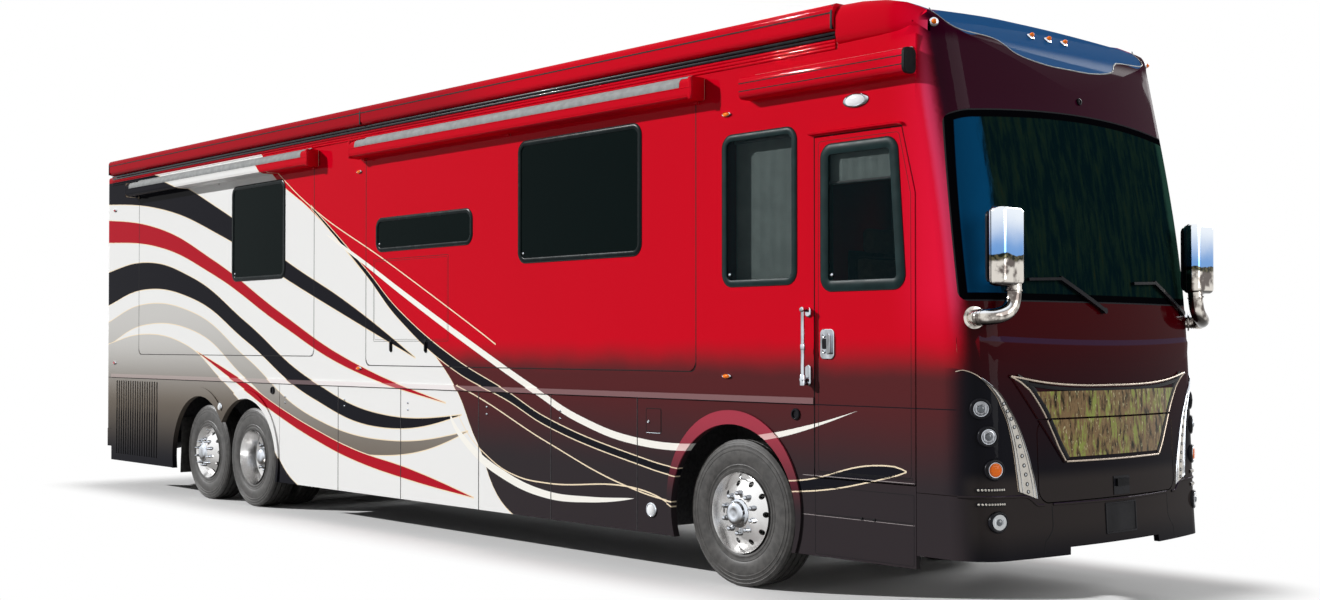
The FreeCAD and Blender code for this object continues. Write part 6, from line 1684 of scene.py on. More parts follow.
# %% [markdown]
# The horn of light is a strip between two edges, with fine chrome lines along it and a line over it
# like a brow. Its diodes, and those of the two short bars below, are copies on points.

# %% Horns of light and light bars
OUTER = [(1.2, 1.526), (1.144, 1.461), (1.105, 1.405), (1.08, 1.351), (1.053, 1.301), (1.032, 1.251),
         (1.012, 1.18), (0.998, 1.111), (0.986, 1.04), (0.977, 0.972), (0.969, 0.905), (0.962, 0.842),
         (0.958, 0.822)]
INNER = [(1.196, 1.53), (1.112, 1.455), (1.06, 1.398), (1.027, 1.35), (0.985, 1.29), (0.95, 1.232),
         (0.916, 1.16), (0.891, 1.097), (0.866, 1.03), (0.844, 0.962), (0.826, 0.9), (0.811, 0.822),
         (0.804, 0.77)]
HORN_DIODES, BAR_DIODES, BAR_HEIGHTS = 11, 10, (0.84, 0.751)


def horn(word, side):
    """The strip of one corner with its lines and its diodes."""
    solid = bmesh.new()
    quilt_on_nose(solid, [(side * y, z) for y, z in OUTER], [(side * y, z) for y, z in INNER], 8, 0.004,
                  0.004, 0.004)
    piece("horn_strip_" + word, solid, STRIP_WHITE, crisp=50)
    solid = bmesh.new()
    for share in (0.02, 0.2, 0.8, 0.98):
        path = [(side * (a + (c - a) * share), b + (d - b) * share) for (a, b), (c, d) in zip(OUTER, INNER)]
        strip_on_nose(solid, path, 0.0045, lift=0.0095, sunk=0.001, steps=4)
    piece("horn_lines_" + word, solid, CHROME)
    solid = bmesh.new()
    strip_on_nose(solid,
                  [(side * y, z) for y, z in ((1.284, 1.57), (1.267, 1.579), (1.236, 1.562), (1.2, 1.529))]
                  + [(side * (y + 0.004), z) for y, z in OUTER[1:]], 0.005, lift=0.0045, sunk=0.002,
                  steps=4)
    piece("brow_line_" + word, solid, CHAMPAGNE)
    middles = [((y + b) / 2, (z + d) / 2) for (y, z), (b, d) in zip(OUTER, INNER)]
    spots = []
    for n in range(HORN_DIODES):
        where = 2.6 + n * 0.88
        low, share = int(where), where - int(where)
        (a, b), (c, d) = middles[low:low + 2]
        y, z = side * (a + (c - a) * share), b + (d - b) * share
        spots.append((on_nose(y, z, 0.0085), facing(y, z)))
    studs("horn_rings_" + word, spots, [(0.0125, -0.003), (0.0125, 0.003), (0.01, 0.0042), (0.0088, 0.002),
                                        (0.0088, -0.003)], 14, BLACK_TRIM, closed=True)
    studs("horn_diodes_" + word, spots, [(0.0086, -0.003), (0.0086, 0.0012), (0.006, 0.0036),
                                         (0.001, 0.0044)], 12, CLEAR_LENS)


def light_bars(word, side):
    """Two short bars of diodes beside the bumper."""
    solid = bmesh.new()
    for z in BAR_HEIGHTS:
        strip_on_nose(solid, [(side * 1.076, z), (side * 1.165, z), (side * 1.238, z)], 0.024, lift=0.008,
                      steps=5)
    piece("light_bar_bodies_" + word, solid, BLACK_TRIM)
    places = [(side * (1.086 + n * 0.0158), z) for z in BAR_HEIGHTS for n in range(BAR_DIODES)]
    spots = [(on_nose(y, z, 0.0088), facing(y, z)) for y, z in places]
    studs("light_bar_diodes_" + word, spots, [(0.0072, -0.003), (0.0072, 0.0012), (0.005, 0.0036),
                                              (0.001, 0.0044)], 10, STRIP_WHITE)


for word, side in (("right", -1), ("left", 1)):
    corner_lamps(word, side)
    horn(word, side)
    light_bars(word, side)
tell("corner lamps and horns")

# %% [markdown]
# Lower down are the latch of the generator flap and the empty recess for a number plate. Across the
# nose runs a crease, and the bumper has a ledge on top and two seams. A small camera looks down from
# above the screen, and five amber markers stand on the visor over a fine line.

# %% Flap latch and plate recess
RECESS_LOW, RECESS_HIGH, RECESS_ENDS = 0.508, 0.7, (-0.134, 0.214)
solid = bmesh.new()
panel_on_nose(solid, between([(-0.036, 0.15, 0.874), (-0.036, 0.15, 0.752)], 4), 4, 0.006)
piece("flap_latch_plate", solid, BLACK_TRIM, "generator_tray")
solid = bmesh.new()
panel_on_nose(solid, between([(-0.01, 0.124, 0.856), (-0.01, 0.124, 0.806)], 3), 4, 0.02, -0.004)
piece("flap_latch_paddle", solid, SEAL_RUBBER, "generator_tray")
solid = bmesh.new()
for z in (RECESS_HIGH, RECESS_LOW):
    strip_on_nose(solid, [(y, z) for y in RECESS_ENDS], 0.012, lift=0.007, smooth=False)
for y in RECESS_ENDS:
    strip_on_nose(solid, [(y, RECESS_LOW - 0.003), (y, RECESS_HIGH + 0.003)], 0.012, lift=0.007,
                  smooth=False)
piece("plate_recess_frame", solid, BLACK_TRIM)
solid = bmesh.new()
panel_on_nose(solid, between([(-0.128, 0.208, 0.694), (-0.128, 0.208, 0.514)], 4), 6, 0.0025)
piece("plate_recess", solid, CHASSIS_BLACK, "coach", "black_trim")
tell("flap latch and plate recess")

# %% [markdown]
# A soft crease runs across the nose, a ledge and two seams mark the bumper, and a small camera looks
# out above. All of them follow the curved nose, so each is a strip or a ring of points laid on it.

# %% Crease, bumper lines and camera
CREASE_LOW, CREASE_RISE, CREASE_END, CAMERA_UP = 1.748, 0.034, 1.28, 3.372
LEDGE = [(1.288, 0.796), (1.2, 0.795), (1.06, 0.792), (0.905, 0.787), (0.85, 0.765), (0.8, 0.73),
         (0.74, 0.727)]
solid = bmesh.new()
rings = []
for n in range(33):
    y = n * 0.08 - CREASE_END
    z = CREASE_LOW + CREASE_RISE * (abs(y) / CREASE_END) ** 2
    ends = min(1.0, (1.3 - abs(y)) / 0.16)
    rings.append([on_nose(y, z + up, proud * ends - 0.0005)
                  for up, proud in ((0.021, -0.002), (0.019, 0.001), (-0.013, 0.0095), (-0.019, 0.0112),
                                    (-0.027, 0.0116), (-0.06, 0.0085), (-0.1, 0.0045), (-0.14, 0.001),
                                    (-0.145, -0.002))])
skin(solid, rings)
piece("nose_crease", solid, COACH_PAINT, crisp=24)
solid = bmesh.new()
for side in (-1, 1):
    strip_on_nose(solid, [(side * y, z) for y, z in LEDGE], 0.016, lift=0.007, sunk=0.002, steps=5)
strip_on_nose(solid, [(y, 0.727 - 0.006 * (1 - (y / 0.66) ** 2)) for y in (-0.66, -0.33, 0.0, 0.33, 0.66)],
              0.016, lift=0.007, sunk=0.002, steps=6)
piece("bumper_ledge", solid, COACH_PAINT, crisp=24)
solid = bmesh.new()
for side in (-1, 1):
    strip_on_nose(solid, [(side * y, z) for y, z in ((0.67, 0.715), (0.668, 0.65), (0.672, 0.576),
                                                     (0.705, 0.53), (0.743, 0.491), (0.755, 0.425))], 0.007,
                  lift=0.0012, sunk=0.002, steps=4)
piece("bumper_seams", solid, SEAL_RUBBER)
solid = bmesh.new()
turned(solid, [(0.024, -0.01), (0.024, 0.01), (0.019, 0.016), (0.012, 0.018), (0.011, 0.01),
               (0.001, 0.012)], on_nose(0.0, CAMERA_UP), facing(0.0, CAMERA_UP), steps=24)
piece("camera_dot", solid, BLACK_TRIM)
tell("crease, bumper lines and camera")

# %% [markdown]
# Five amber lamps stand in a row high on the nose. Each is a turned lens on a turned base, and faces
# the way the nose faces there. A thin pale line marks the lower edge of the painted visor.

# %% Marker lamps and the line on the visor
MARKERS = ((-1.214, 3.79), (-0.196, 3.822), (0.0, 3.822), (0.188, 3.822), (1.214, 3.79))
for number, (y, z) in enumerate(MARKERS, start=1):
    place, out = on_nose(y, z), facing(y, z)
    solid = bmesh.new()
    turned(solid, [(0.03, -0.012), (0.03, 0.006), (0.024, 0.012), (0.018, 0.014), (0.017, 0.004)], place,
           out, steps=24)
    piece("roof_marker_base_%d" % number, solid, CHROME)
    solid = bmesh.new()
    turned(solid, [(0.0175, 0.004), (0.0175, 0.018), (0.013, 0.03), (0.006, 0.036), (0.001, 0.037)], place,
           out, steps=20)
    piece("roof_marker_%d" % number, solid, AMBER_LENS)
visor = [(-1.172, 3.9), (-1.08, 3.766), (-0.711, 3.737), (-0.548, 3.646), (-0.281, 3.605), (0.0, 3.6),
         (0.281, 3.605), (0.548, 3.646), (0.711, 3.737), (1.08, 3.766), (1.172, 3.9)]
solid = bmesh.new()
strip_on_nose(solid, visor, 0.008, lift=0.0025)
piece("visor_line", solid, PALE_BEAD)
tell("nose fitted")

# %% [markdown]
# The mirrors stand on swept chrome arms with ribbed feet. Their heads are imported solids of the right
# form, so what is added is what a solid can't show: the flat and the curved glass in a black surround
# on the driver's side of each head, a seam round it, and the ribs and flange of the arm's foot.

# %% Mirror glass and feet
MIRROR_X, MIRROR_HALF, MIRROR_LOW = 6.787, 1.12, 2.099
GLASS_X = MIRROR_X - 0.066
# which point along the arm each rib stands on, with its radius and half its length
ARM_RIBS = [(14, 0.07, 0.007)] + [(n, 0.0545, 0.0035) for n in (17, 19, 21, 23, 25)] + [(57, 0.056, 0.007)]
ARM = [(6.56, -1.171, 1.905), (6.622, -1.233, 1.905), (6.7045, -1.264, 1.905), (6.762, -1.2075, 1.911),
       (6.797, -1.089, 1.97), (6.797, -1.058, 2.099), (6.797, -1.058, 2.149)]
for word, side in (("right", -1), ("left", 1)):
    solid = bmesh.new()
    surround = rounded(box_corners(MIRROR_HALF - 0.116, MIRROR_HALF + 0.116, MIRROR_LOW + 0.02,
                                   MIRROR_LOW + 0.467), 0.04, 6)
    skin(solid, [[Vector((GLASS_X - out, side * y, z)) for y, z in shrunk(surround, inset)]
                 for out, inset in ((-0.01, 0.0), (0.004, 0.0), (0.007, 0.004))])
    piece("mirror_surround_" + word, solid, BLACK_TRIM)
    solid = bmesh.new()
    for z0, z1 in ((MIRROR_LOW + 0.172, MIRROR_LOW + 0.455), (MIRROR_LOW + 0.032, MIRROR_LOW + 0.158)):
        pane = rounded(box_corners(MIRROR_HALF - 0.104, MIRROR_HALF + 0.104, z0, z1), 0.028, 6)
        skin(solid, [[Vector((GLASS_X - out, side * y, z)) for y, z in shrunk(pane, inset)]
                     for out, inset in ((0.004, 0.0), (0.0095, 0.0), (0.0105, 0.002))])
    piece("mirror_glass_" + word, solid, MIRROR_FACE)
    solid = bmesh.new()
    seam = rounded(box_corners(MIRROR_HALF - 0.1318, MIRROR_HALF + 0.1318, MIRROR_LOW - 0.0008,
                               MIRROR_LOW + 0.4878), 0.036, 8)
    swept(solid, [Vector((MIRROR_X - 0.018, side * y, z)) for y, z in seam], circle(0.0018, 6), closed=True)
    piece("mirror_seam_" + word, solid, SEAL_RUBBER)
    solid = bmesh.new()
    along = smooth_path([(x, -side * y, z) for x, y, z in ARM], 12)
    for n, radius, half in ARM_RIBS:
        run = along[n + 1] - along[n - 1]
        turned(solid, [(radius - 0.006, -half), (radius, -half * 0.6), (radius, half * 0.6),
                       (radius - 0.006, half)], along[n], run, steps=40)
    piece("mirror_ribs_" + word, solid, MIRROR_CHROME)
tell("mirrors")

# %% [markdown]
# The cab is seen through the screen and the side glass, so it gets real seats. A seat cushion is
# blown up like a tight balloon: the block is remeshed evenly, Blender's Cloth pushes it out with air
# pressure for twenty frames, and each point's travel is capped, which crowns the top and draws the
# sides in. The pads of one seat serve both.

# %% Pads
SEAT_REAR, SEAT_FRONT, SEAT_SIDE, SEAT_TOP, PAN_TOP = 5.358, 5.878, 0.56, 1.79, 1.722
VOXEL = 0.008
PUFF_CAP = 0.022
AIR_FRAMES = 20
GROOVE_SPACING = 0.095
PIPING = cloudy("seat_piping", (0.1, 0.07, 0.05), 0.5, 40.0, 0.1)


def blown(name, low, high, soft):
    """A pad's mesh between two corners: a soft block, remeshed and blown up."""
    solid = bmesh.new()
    block(solid, low, high, soft, segments=5)
    mesh = bpy.data.meshes.new(name)
    solid.to_mesh(mesh)
    solid.free()
    holder = bpy.data.objects.new(name, mesh)
    bpy.context.scene.collection.objects.link(holder)
    remesh = holder.modifiers.new("even", "REMESH")
    remesh.mode, remesh.voxel_size = "VOXEL", VOXEL
    bpy.context.view_layer.update()
    even = bpy.data.meshes.new_from_object(holder.evaluated_get(bpy.context.evaluated_depsgraph_get()))
    holder.modifiers.clear()
    holder.data = even
    cloth = holder.modifiers.new("air", "CLOTH")
    cloth.settings.use_pressure = True
    cloth.settings.uniform_pressure_force = 4.0
    cloth.settings.effector_weights.gravity = 0.0
    cloth.settings.quality = 5
    cloth.collision_settings.use_collision = False
    cloth.point_cache.frame_start, cloth.point_cache.frame_end = 1, AIR_FRAMES
    for number in range(1, AIR_FRAMES + 1):
        bpy.context.scene.frame_set(number)
    seen = holder.evaluated_get(bpy.context.evaluated_depsgraph_get())
    blown_mesh = bpy.data.meshes.new_from_object(seen)
    holder.modifiers.clear()
    farthest = 0.0
    for rest, moved in zip(even.vertices, blown_mesh.vertices):
        shift = moved.co - rest.co
        if shift.length > PUFF_CAP:
            shift = shift * (PUFF_CAP / shift.length)
        farthest = max(farthest, shift.length)
        rest.co = rest.co + shift
    bpy.context.scene.frame_set(1)
    print("pad", name, len(even.vertices), "points, moved up to %.1f mm" % (farthest * 1000))
    bpy.data.objects.remove(holder)
    return even


def pad_piece(name, mesh, shift):
    """A copy of a pad's mesh, moved sideways into its seat and channelled with shallow sewn grooves."""
    own = mesh.copy()
    for vert in own.vertices:
        vert.co = vert.co + Vector(shift)
    solid = bmesh.new()
    solid.from_mesh(own)
    middle = sum((vert.co.y for vert in solid.verts), 0.0) / len(solid.verts)
    for vert in solid.verts:
        off = (vert.co.y - middle) / GROOVE_SPACING
        groove = max(0.0, 1.0 - abs(off - round(off)) / 0.075) if abs(off) < 2.6 else 0.0
        vert.co = vert.co - vert.normal * 0.007 * groove
    piece(name, solid, SEAT_LEATHER, crisp=70)


cushion_mesh = blown("cushion_shape", (SEAT_REAR + 0.03, -0.245, 1.65),
                     (SEAT_FRONT - 0.015, 0.245, SEAT_TOP - 0.015), 0.045)
back_mesh = blown("back_shape", (5.228, -0.24, 1.72), (5.343, 0.24, 2.36), 0.045)
rest_mesh = blown("headrest_shape", (5.235, -0.15, 2.385), (5.325, 0.15, 2.56), 0.04)

# %% [markdown]
# Each seat stands on a turned pedestal. It has a cushion, a back and a headrest, a plastic pan and
# shell, two arms, and piping in the seams of its cushion and its back.

# %% Seats


def seat_frame(word, centre):
    """The pan, the shell, the pedestal and the posts of the headrest."""
    solid = bmesh.new()
    block(solid, (5.36, centre - 0.27, 1.6), (5.86, centre + 0.27, 1.655), 0.018)
    block(solid, (5.212, centre - 0.262, 1.62), (5.232, centre + 0.262, 2.4), 0.009)
    turned(solid, [(0.16, 0.0), (0.16, 0.02), (0.085, 0.05), (0.075, 0.24), (0.12, 0.265), (0.02, 0.27)],
           (5.618, centre, 1.336), (0, 0, 1), steps=32)
    for y in (centre - 0.12, centre + 0.12):
        swept(solid, [(5.28, y * 0.5 + centre * 0.5, 2.33), (5.28, y * 0.5 + centre * 0.5, 2.42)],
              circle(0.007, 10))
    return piece("seat_frame_" + word, solid, DASH_PLASTIC)


def seat_arms(word, centre):
    """Two padded arms with their brackets."""
    solid = bmesh.new()
    for way in (-1, 1):
        arm, bracket = centre + way * 0.285, centre + way * 0.272
        block(solid, (5.3, arm - 0.032, 1.905), (5.66, arm + 0.032, 1.955), 0.022, segments=4)
        block(solid, (5.27, bracket - 0.012, 1.86), (5.33, bracket + 0.012, 1.93), 0.006)
    piece("seat_arms_" + word, solid, SEAT_LEATHER, crisp=60)


def seat_piping(word, centre):
    """A round cord along the seam of the cushion, and one along that of the back."""
    cord = circle(0.0045, 8)
    solid = bmesh.new()
    rim = rounded(box_corners(SEAT_REAR + 0.032, SEAT_FRONT - 0.017, centre - 0.252, centre + 0.252), 0.05,
                  6)
    swept(solid, [Vector((x, y, PAN_TOP)) for x, y in rim], cord, closed=True)
    rim = rounded(box_corners(centre - 0.247, centre + 0.247, PAN_TOP, 2.357), 0.05, 6)
    swept(solid, [Vector((5.286, y, z)) for y, z in rim], cord, closed=True)
    piece("seat_piping_" + word, solid, PIPING)


for word, side in (("left", 1), ("right", -1)):
    shift = (0, side * SEAT_SIDE, 0)
    pad_piece("seat_cushion_" + word, cushion_mesh, shift)
    pad_piece("seat_back_" + word, back_mesh, shift)
    pad_piece("seat_headrest_" + word, rest_mesh, shift)
    frame_piece = seat_frame(word, side * SEAT_SIDE)
    if side == 1:
        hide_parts("cab_seats")
    seat_arms(word, side * SEAT_SIDE)
    seat_piping(word, side * SEAT_SIDE)
tell("seats")

# %% [markdown]
# The steering wheel is a swept ring on three spokes, tilted towards the driver, over a turned column.
# A hood stands over the three round instruments, and a flat screen beside it.

# %% Steering wheel, column and instruments
WHEEL_CENTRE, WHEEL_TILT, WHEEL_RADIUS = Vector((6.035, 0.56, 2.02)), Vector((-0.62, 0, 0.78)), 0.215
solid = bmesh.new()
axis = WHEEL_TILT.normalized()
across = Vector((0, 1, 0))
down = axis.cross(across)
ring = [WHEEL_CENTRE + across * WHEEL_RADIUS * math.cos(a) + down * WHEEL_RADIUS * math.sin(a)
        for a in (math.tau * n / 48 for n in range(48))]
swept(solid, ring, circle(0.0155, 12), closed=True)
for a in (0.0, math.pi, math.pi / 2):
    spoke = across * math.cos(a) + down * math.sin(a)
    swept(solid, [WHEEL_CENTRE + spoke * 0.045 - axis * 0.03, WHEEL_CENTRE + spoke * 0.12
                  - axis * 0.02, WHEEL_CENTRE + spoke * 0.208],
          [(-0.018, -0.006), (-0.018, 0.006), (0.018, 0.006), (0.018, -0.006)])
turned(solid, [(0.03, -0.22), (0.034, -0.06), (0.07, -0.045), (0.072, -0.025), (0.05, -0.012),
               (0.004, -0.01)], WHEEL_CENTRE, axis, steps=32)
piece("steering_wheel", solid, DASH_PLASTIC, crisp=50)
solid = bmesh.new()
block(solid, (6.1, 0.29, 1.975), (6.24, 0.83, 2.065), 0.03, segments=4)
block(solid, (6.12, -0.2, 1.975), (6.18, 0.1, 2.13), 0.014, segments=3)
piece("instrument_hood", solid, DASH_PLASTIC)
solid = bmesh.new()
block(solid, (6.114, -0.185, 1.99), (6.121, 0.085, 2.118), 0.002, segments=1)
for y in (0.4, 0.56, 0.72):
    turned(solid, [(0.052, -0.004), (0.052, 0.006), (0.046, 0.009), (0.04, 0.004), (0.002, 0.004)],
           (6.101, y, 2.022), (-1, 0, 0), steps=28)
piece("instrument_faces", solid, BLACK_TRIM)
tell("cab fitted")

# %% [markdown]
# The radiator's panel has upright slots that look black. A black strip on the floor of each slot gives
# that, and Geometry Nodes set them out evenly. Rubber mud flaps hang behind the rear wheels.

# %% Radiator slots and mud flaps
SLOT_REAR, SLOT_FRONT, SLOTS, SLOT_WIDE, SLOT_LOW, SLOT_HIGH = -6.463, -5.252, 18, 0.036, 0.4, 1.297
HALF_WIDE, HALF_HIGH = SLOT_WIDE / 2 - 0.001, (SLOT_HIGH - SLOT_LOW) / 2 - 0.001
FLAP_X, FLAP_TOP, FLAP_LONG, FLAP_STEPS = -4.735, 0.9, 0.64, 8
for word, side in (("right", -1), ("left", 1)):
    spots = []
    for n in range(SLOTS):
        x = SLOT_REAR + (SLOT_FRONT - SLOT_REAR - SLOT_WIDE) * n / (SLOTS - 1) + SLOT_WIDE / 2
        spots.append(((x, side * (SIDE_PLANE - 0.0125), (SLOT_LOW + SLOT_HIGH) / 2), (0, 0, 1)))
    template = bmesh.new()
    block(template, (-HALF_WIDE, -0.006, -HALF_HIGH), (HALF_WIDE, 0.006, HALF_HIGH), 0.002, segments=1)
    repeated_piece("radiator_slots_" + word, spots, template, SEAL_RUBBER)
    solid = bmesh.new()
    rings = []
    for n in range(FLAP_STEPS + 1):
        sway = 0.012 * math.sin(n * 0.55)
        corners = box_corners(FLAP_X - 0.005 + sway, FLAP_X + 0.005 + sway, 0.925, 1.235)
        rings.append([Vector((x, side * y, FLAP_TOP - FLAP_LONG * n / FLAP_STEPS)) for x, y in corners])
    skin(solid, rings)
    for y in (0.96, 1.08, 1.2):
        turned(solid, [(0.016, -0.001), (0.016, 0.003), (0.011, 0.008), (0.001, 0.009)],
               (FLAP_X - 0.006, side * y, 0.86), (-1, 0, 0), steps=12)
    piece("mud_flap_" + word, solid, TYRE_RUBBER, crisp=40)
tell("radiator slots and mud flaps")

# %% [markdown]
# The photograph doesn't show the back, so it follows what such coaches have: a louvred engine lid with
# a paddle latch and a blank plate, lamps with three lenses each, a row of red markers under the roof,
# a camera, and a rubber-topped bumper. Everything on the lid rides on the lid.

# %% Engine lid
BACK = -6.844


def on_back(points, out):
    """Corners on the rear face, out metres behind it."""
    return [Vector((BACK - out, y, z)) for y, z in points]


def back_plate(solid, corners, radius, out, soft=0.003, sunk=0.002, material=0):
    """A flat plate with eased edges on the rear face."""
    edge = rounded(corners, radius, 6)
    layers = (edge, -sunk), (edge, out - soft), (shrunk(edge, soft * 0.7), out)
    skin(solid, [on_back(*layer) for layer in layers], material=material)


spots = [((BACK - 0.003, 0.0, 0.985 + n * 0.032), (0, 0, 1)) for n in range(14)]
template = bmesh.new()
blade = [(0.004, 0.01), (-0.008, -0.003), (-0.01, -0.008), (-0.006, -0.009), (0.005, -0.001)]
skin(template, [[Vector((x, y, z)) for x, z in blade] for y in (-0.62, -0.3, 0.0, 0.3, 0.62)])
repeated_piece("lid_louvres", spots, template, COACH_PAINT, "rear_lid")
solid = bmesh.new()
back_plate(solid, box_corners(-0.632, 0.632, 0.962, 1.425), 0.02, 0.001)
piece("lid_louvre_field", solid, SEAL_RUBBER, "rear_lid")
solid = bmesh.new()
edge = rounded(box_corners(-0.642, 0.642, 0.952, 1.435), 0.026, 6)
swept(solid, on_back(edge, 0.0), [(-0.006, -0.002), (-0.005, 0.006), (0.005, 0.006), (0.006, -0.002)],
      closed=True, up=(-1, 0, 0))
piece("lid_louvre_rim", solid, COACH_PAINT, "rear_lid")
solid = bmesh.new()
edge = on_back(rounded(box_corners(-0.804, 0.804, 0.756, 1.5635), 0.055, 8), 0.0)
for place in edge:
    place.x += 0.005 if place.z > 1.5 else 0.0  # deeper along the hinge, where the lid turns past it
swept(solid, edge, [(-0.0036, -0.008), (-0.0036, 0.0009), (0.0036, 0.0009), (0.0036, -0.008)], closed=True,
      up=(-1, 0, 0))
piece("lid_seal", solid, SEAL_RUBBER, "coach", "tyre_rubber")
tell("engine lid's louvres and seal")

# %% [markdown]
# The lid carries the plate's mount and two latches. Each is a stack of rounded plates made by one
# helper, and rides on the lid, so it moves when the lid does.

# %% Lid's plate mount and latches
solid = bmesh.new()
back_plate(solid, box_corners(-0.25, 0.25, 0.79, 0.928), 0.012, 0.006, material=0)
back_plate(solid, box_corners(-0.172, 0.172, 0.8, 0.918), 0.01, 0.0085, 0.001, material=1)
for y in (-0.14, 0.14):
    turned(solid, [(0.008, 0), (0.008, 0.003), (0.005, 0.005), (0.001, 0.005)], (BACK - 0.0085, y, 0.905),
           (-1, 0, 0), steps=12, material=0)
piece("plate_mount", solid, [BLACK_TRIM, PLATE_WHITE], "rear_lid")
for y in (-0.56, 0.56):
    solid = bmesh.new()
    back_plate(solid, box_corners(y - 0.062, y + 0.062, 0.815, 0.895), 0.014, 0.004)
    back_plate(solid, box_corners(y - 0.048, y + 0.048, 0.826, 0.866), 0.01, 0.013, 0.004)
    turned(solid, [(0.01, 0.002), (0.01, 0.008), (0.006, 0.01), (0.001, 0.009)], (BACK, y, 0.88),
           (-1, 0, 0), steps=16)
    piece("lid_latch_%s" % ("right" if y < 0 else "left"), solid, CHROME, "rear_lid")
tell("lid fitted")

# %% [markdown]
# Each tail lamp has three lenses in one chrome rim. A real lens is ribbed on the inside, so it lights
# up in stripes. Thin bars across it show the same, and their count follows from the lens's height.

# %% Tail lamps and markers
TAIL_BACK, TAIL_SIDE = -6.858, 1.105
TAIL_LENSES = (("stop", 1.158, 1.388, RED_LENS), ("turn", 1.078, 1.146, AMBER_LENS),
               ("reverse", 0.994, 1.066, CLEAR_LENS))
for word, side in (("right", -1), ("left", 1)):
    middle = side * TAIL_SIDE
    for lens_name, low, high, lens in TAIL_LENSES:
        edge = rounded(box_corners(middle - 0.052, middle + 0.052, low, high), 0.026, 6)
        solid = bmesh.new()
        skin(solid, [[Vector((TAIL_BACK - out, y, z)) for y, z in shrunk(edge, inset)]
                     for out, inset in ((-0.004, 0), (0.005, 0), (0.009, 0.003), (0.011, 0.009))])
        count = int((high - low) / 0.012)
        for n in range(count):
            z = low + (high - low) * (n + 0.5) / count
            swept(solid, [(TAIL_BACK - 0.0108, middle - 0.036, z), (TAIL_BACK - 0.0108, middle + 0.036, z)],
                  circle(0.0022, 6))
        piece("tail_%s_%s" % (lens_name, word), solid, lens)
    solid = bmesh.new()
    edge = rounded(box_corners(middle - 0.066, middle + 0.066, 0.979, 1.401), 0.042, 8)
    swept(solid, [Vector((TAIL_BACK + 0.004, y, z)) for y, z in edge],
          [(-0.006, -0.012), (-0.004, 0.006), (0.004, 0.006), (0.006, -0.012)], closed=True, up=(-1, 0, 0))
    piece("tail_rim_" + word, solid, CHROME)
spots = [((BACK, y, 3.66), (-1, 0, 0)) for y in (-1.06, -0.18, 0.0, 0.18, 1.06)]
studs("rear_markers", spots, [(0.024, -0.003), (0.024, 0.006), (0.019, 0.014), (0.01, 0.018),
                              (0.001, 0.019)], 18, RED_LENS)
solid = bmesh.new()
back_plate(solid, box_corners(-0.06, 0.06, 3.47, 3.55), 0.016, 0.022, 0.008)
turned(solid, [(0.019, 0.018), (0.019, 0.034), (0.013, 0.036), (0.011, 0.03), (0.001, 0.031)],
       (BACK, 0.0, 3.508), (-1, 0, 0), steps=20)
piece("rear_camera", solid, BLACK_TRIM)
tell("tail lamps, markers and camera")

# %% [markdown]
# The bumper has a ribbed tread to stand on, two long ribs and two red reflectors. A rib is one small
# outline swept along a straight path, and a loop sets the ribs side by side.

# %% Rear bumper
BUMPER_BACK, TREADS = -6.858, 5
solid = bmesh.new()
for n in range(TREADS):
    x = -6.842 + n * 0.014
    swept(solid, [(x, -1.16, 0.6975), (x, 1.16, 0.6975)],
          [(-0.004, -0.002), (-0.004, 0.0025), (0.004, 0.0025), (0.004, -0.002)], up=(0, 0, 1))
piece("bumper_tread", solid, SEAL_RUBBER, "coach", "tyre_rubber")
solid = bmesh.new()
for z in (0.545, 0.632):
    swept(solid, [(BUMPER_BACK, -1.14, z), (BUMPER_BACK, 1.14, z)],
          [(-0.004, -0.002), (-0.003, 0.003), (0.003, 0.003), (0.004, -0.002)], up=(-1, 0, 0))
piece("bumper_ribs", solid, BLACK_TRIM)
for y in (-0.92, 0.92):
    solid = bmesh.new()
    edge = rounded(box_corners(y - 0.055, y + 0.055, 0.568, 0.61), 0.018, 6)
    skin(solid, [[Vector((BUMPER_BACK - out, a, b)) for a, b in shrunk(edge, inset)]
                 for out, inset in ((-0.002, 0), (0.004, 0), (0.006, 0.004))])
    piece("bumper_reflector_%s" % ("right" if y < 0 else "left"), solid, RED_LENS, "coach", "red_lens")
tell("rear fitted")

# %% [markdown]
# On the roof stand the three cooling units, which get louvred sides, a lid seam and screws, and two
# smoked vent domes between them. Sealant is drawn round every foot, as a roofer lays it.

# %% Roof
UNIT_MIDDLES, UNIT_LONG, UNIT_HALF, UNIT_TOP = (-4.915, -0.897, 3.12), 1.01, 0.36, 4.11
VENT_MIDDLES, VENT_HALF = (-2.9, 1.1), 0.24
SMOKED = finish("smoked_dome", (0.02, 0.018, 0.016), 0.12, Coat_Weight=0.5)
spots = [((middle + dx, side * UNIT_HALF, 3.992 + 0.014 * n), (0, 0, 1)) for middle in UNIT_MIDDLES
         for side in (-1, 1) for dx in (-0.22, 0.22) for n in range(4)]
template = bmesh.new()
block(template, (-0.16, -0.0035, -0.0035), (0.16, 0.0035, 0.0035), 0.002, segments=1)
repeated_piece("unit_louvres", spots, template, BLACK_TRIM)
spots = [((middle + way * (UNIT_LONG / 2 - 0.125), side * (UNIT_HALF - 0.06), UNIT_TOP), (0, 0, 1))
         for middle in UNIT_MIDDLES for way in (-1, 1) for side in (-1, 1)]
studs("unit_screws", spots, [(0.011, -0.001), (0.011, 0.002), (0.008, 0.005), (0.001, 0.006)], 12, CHROME)
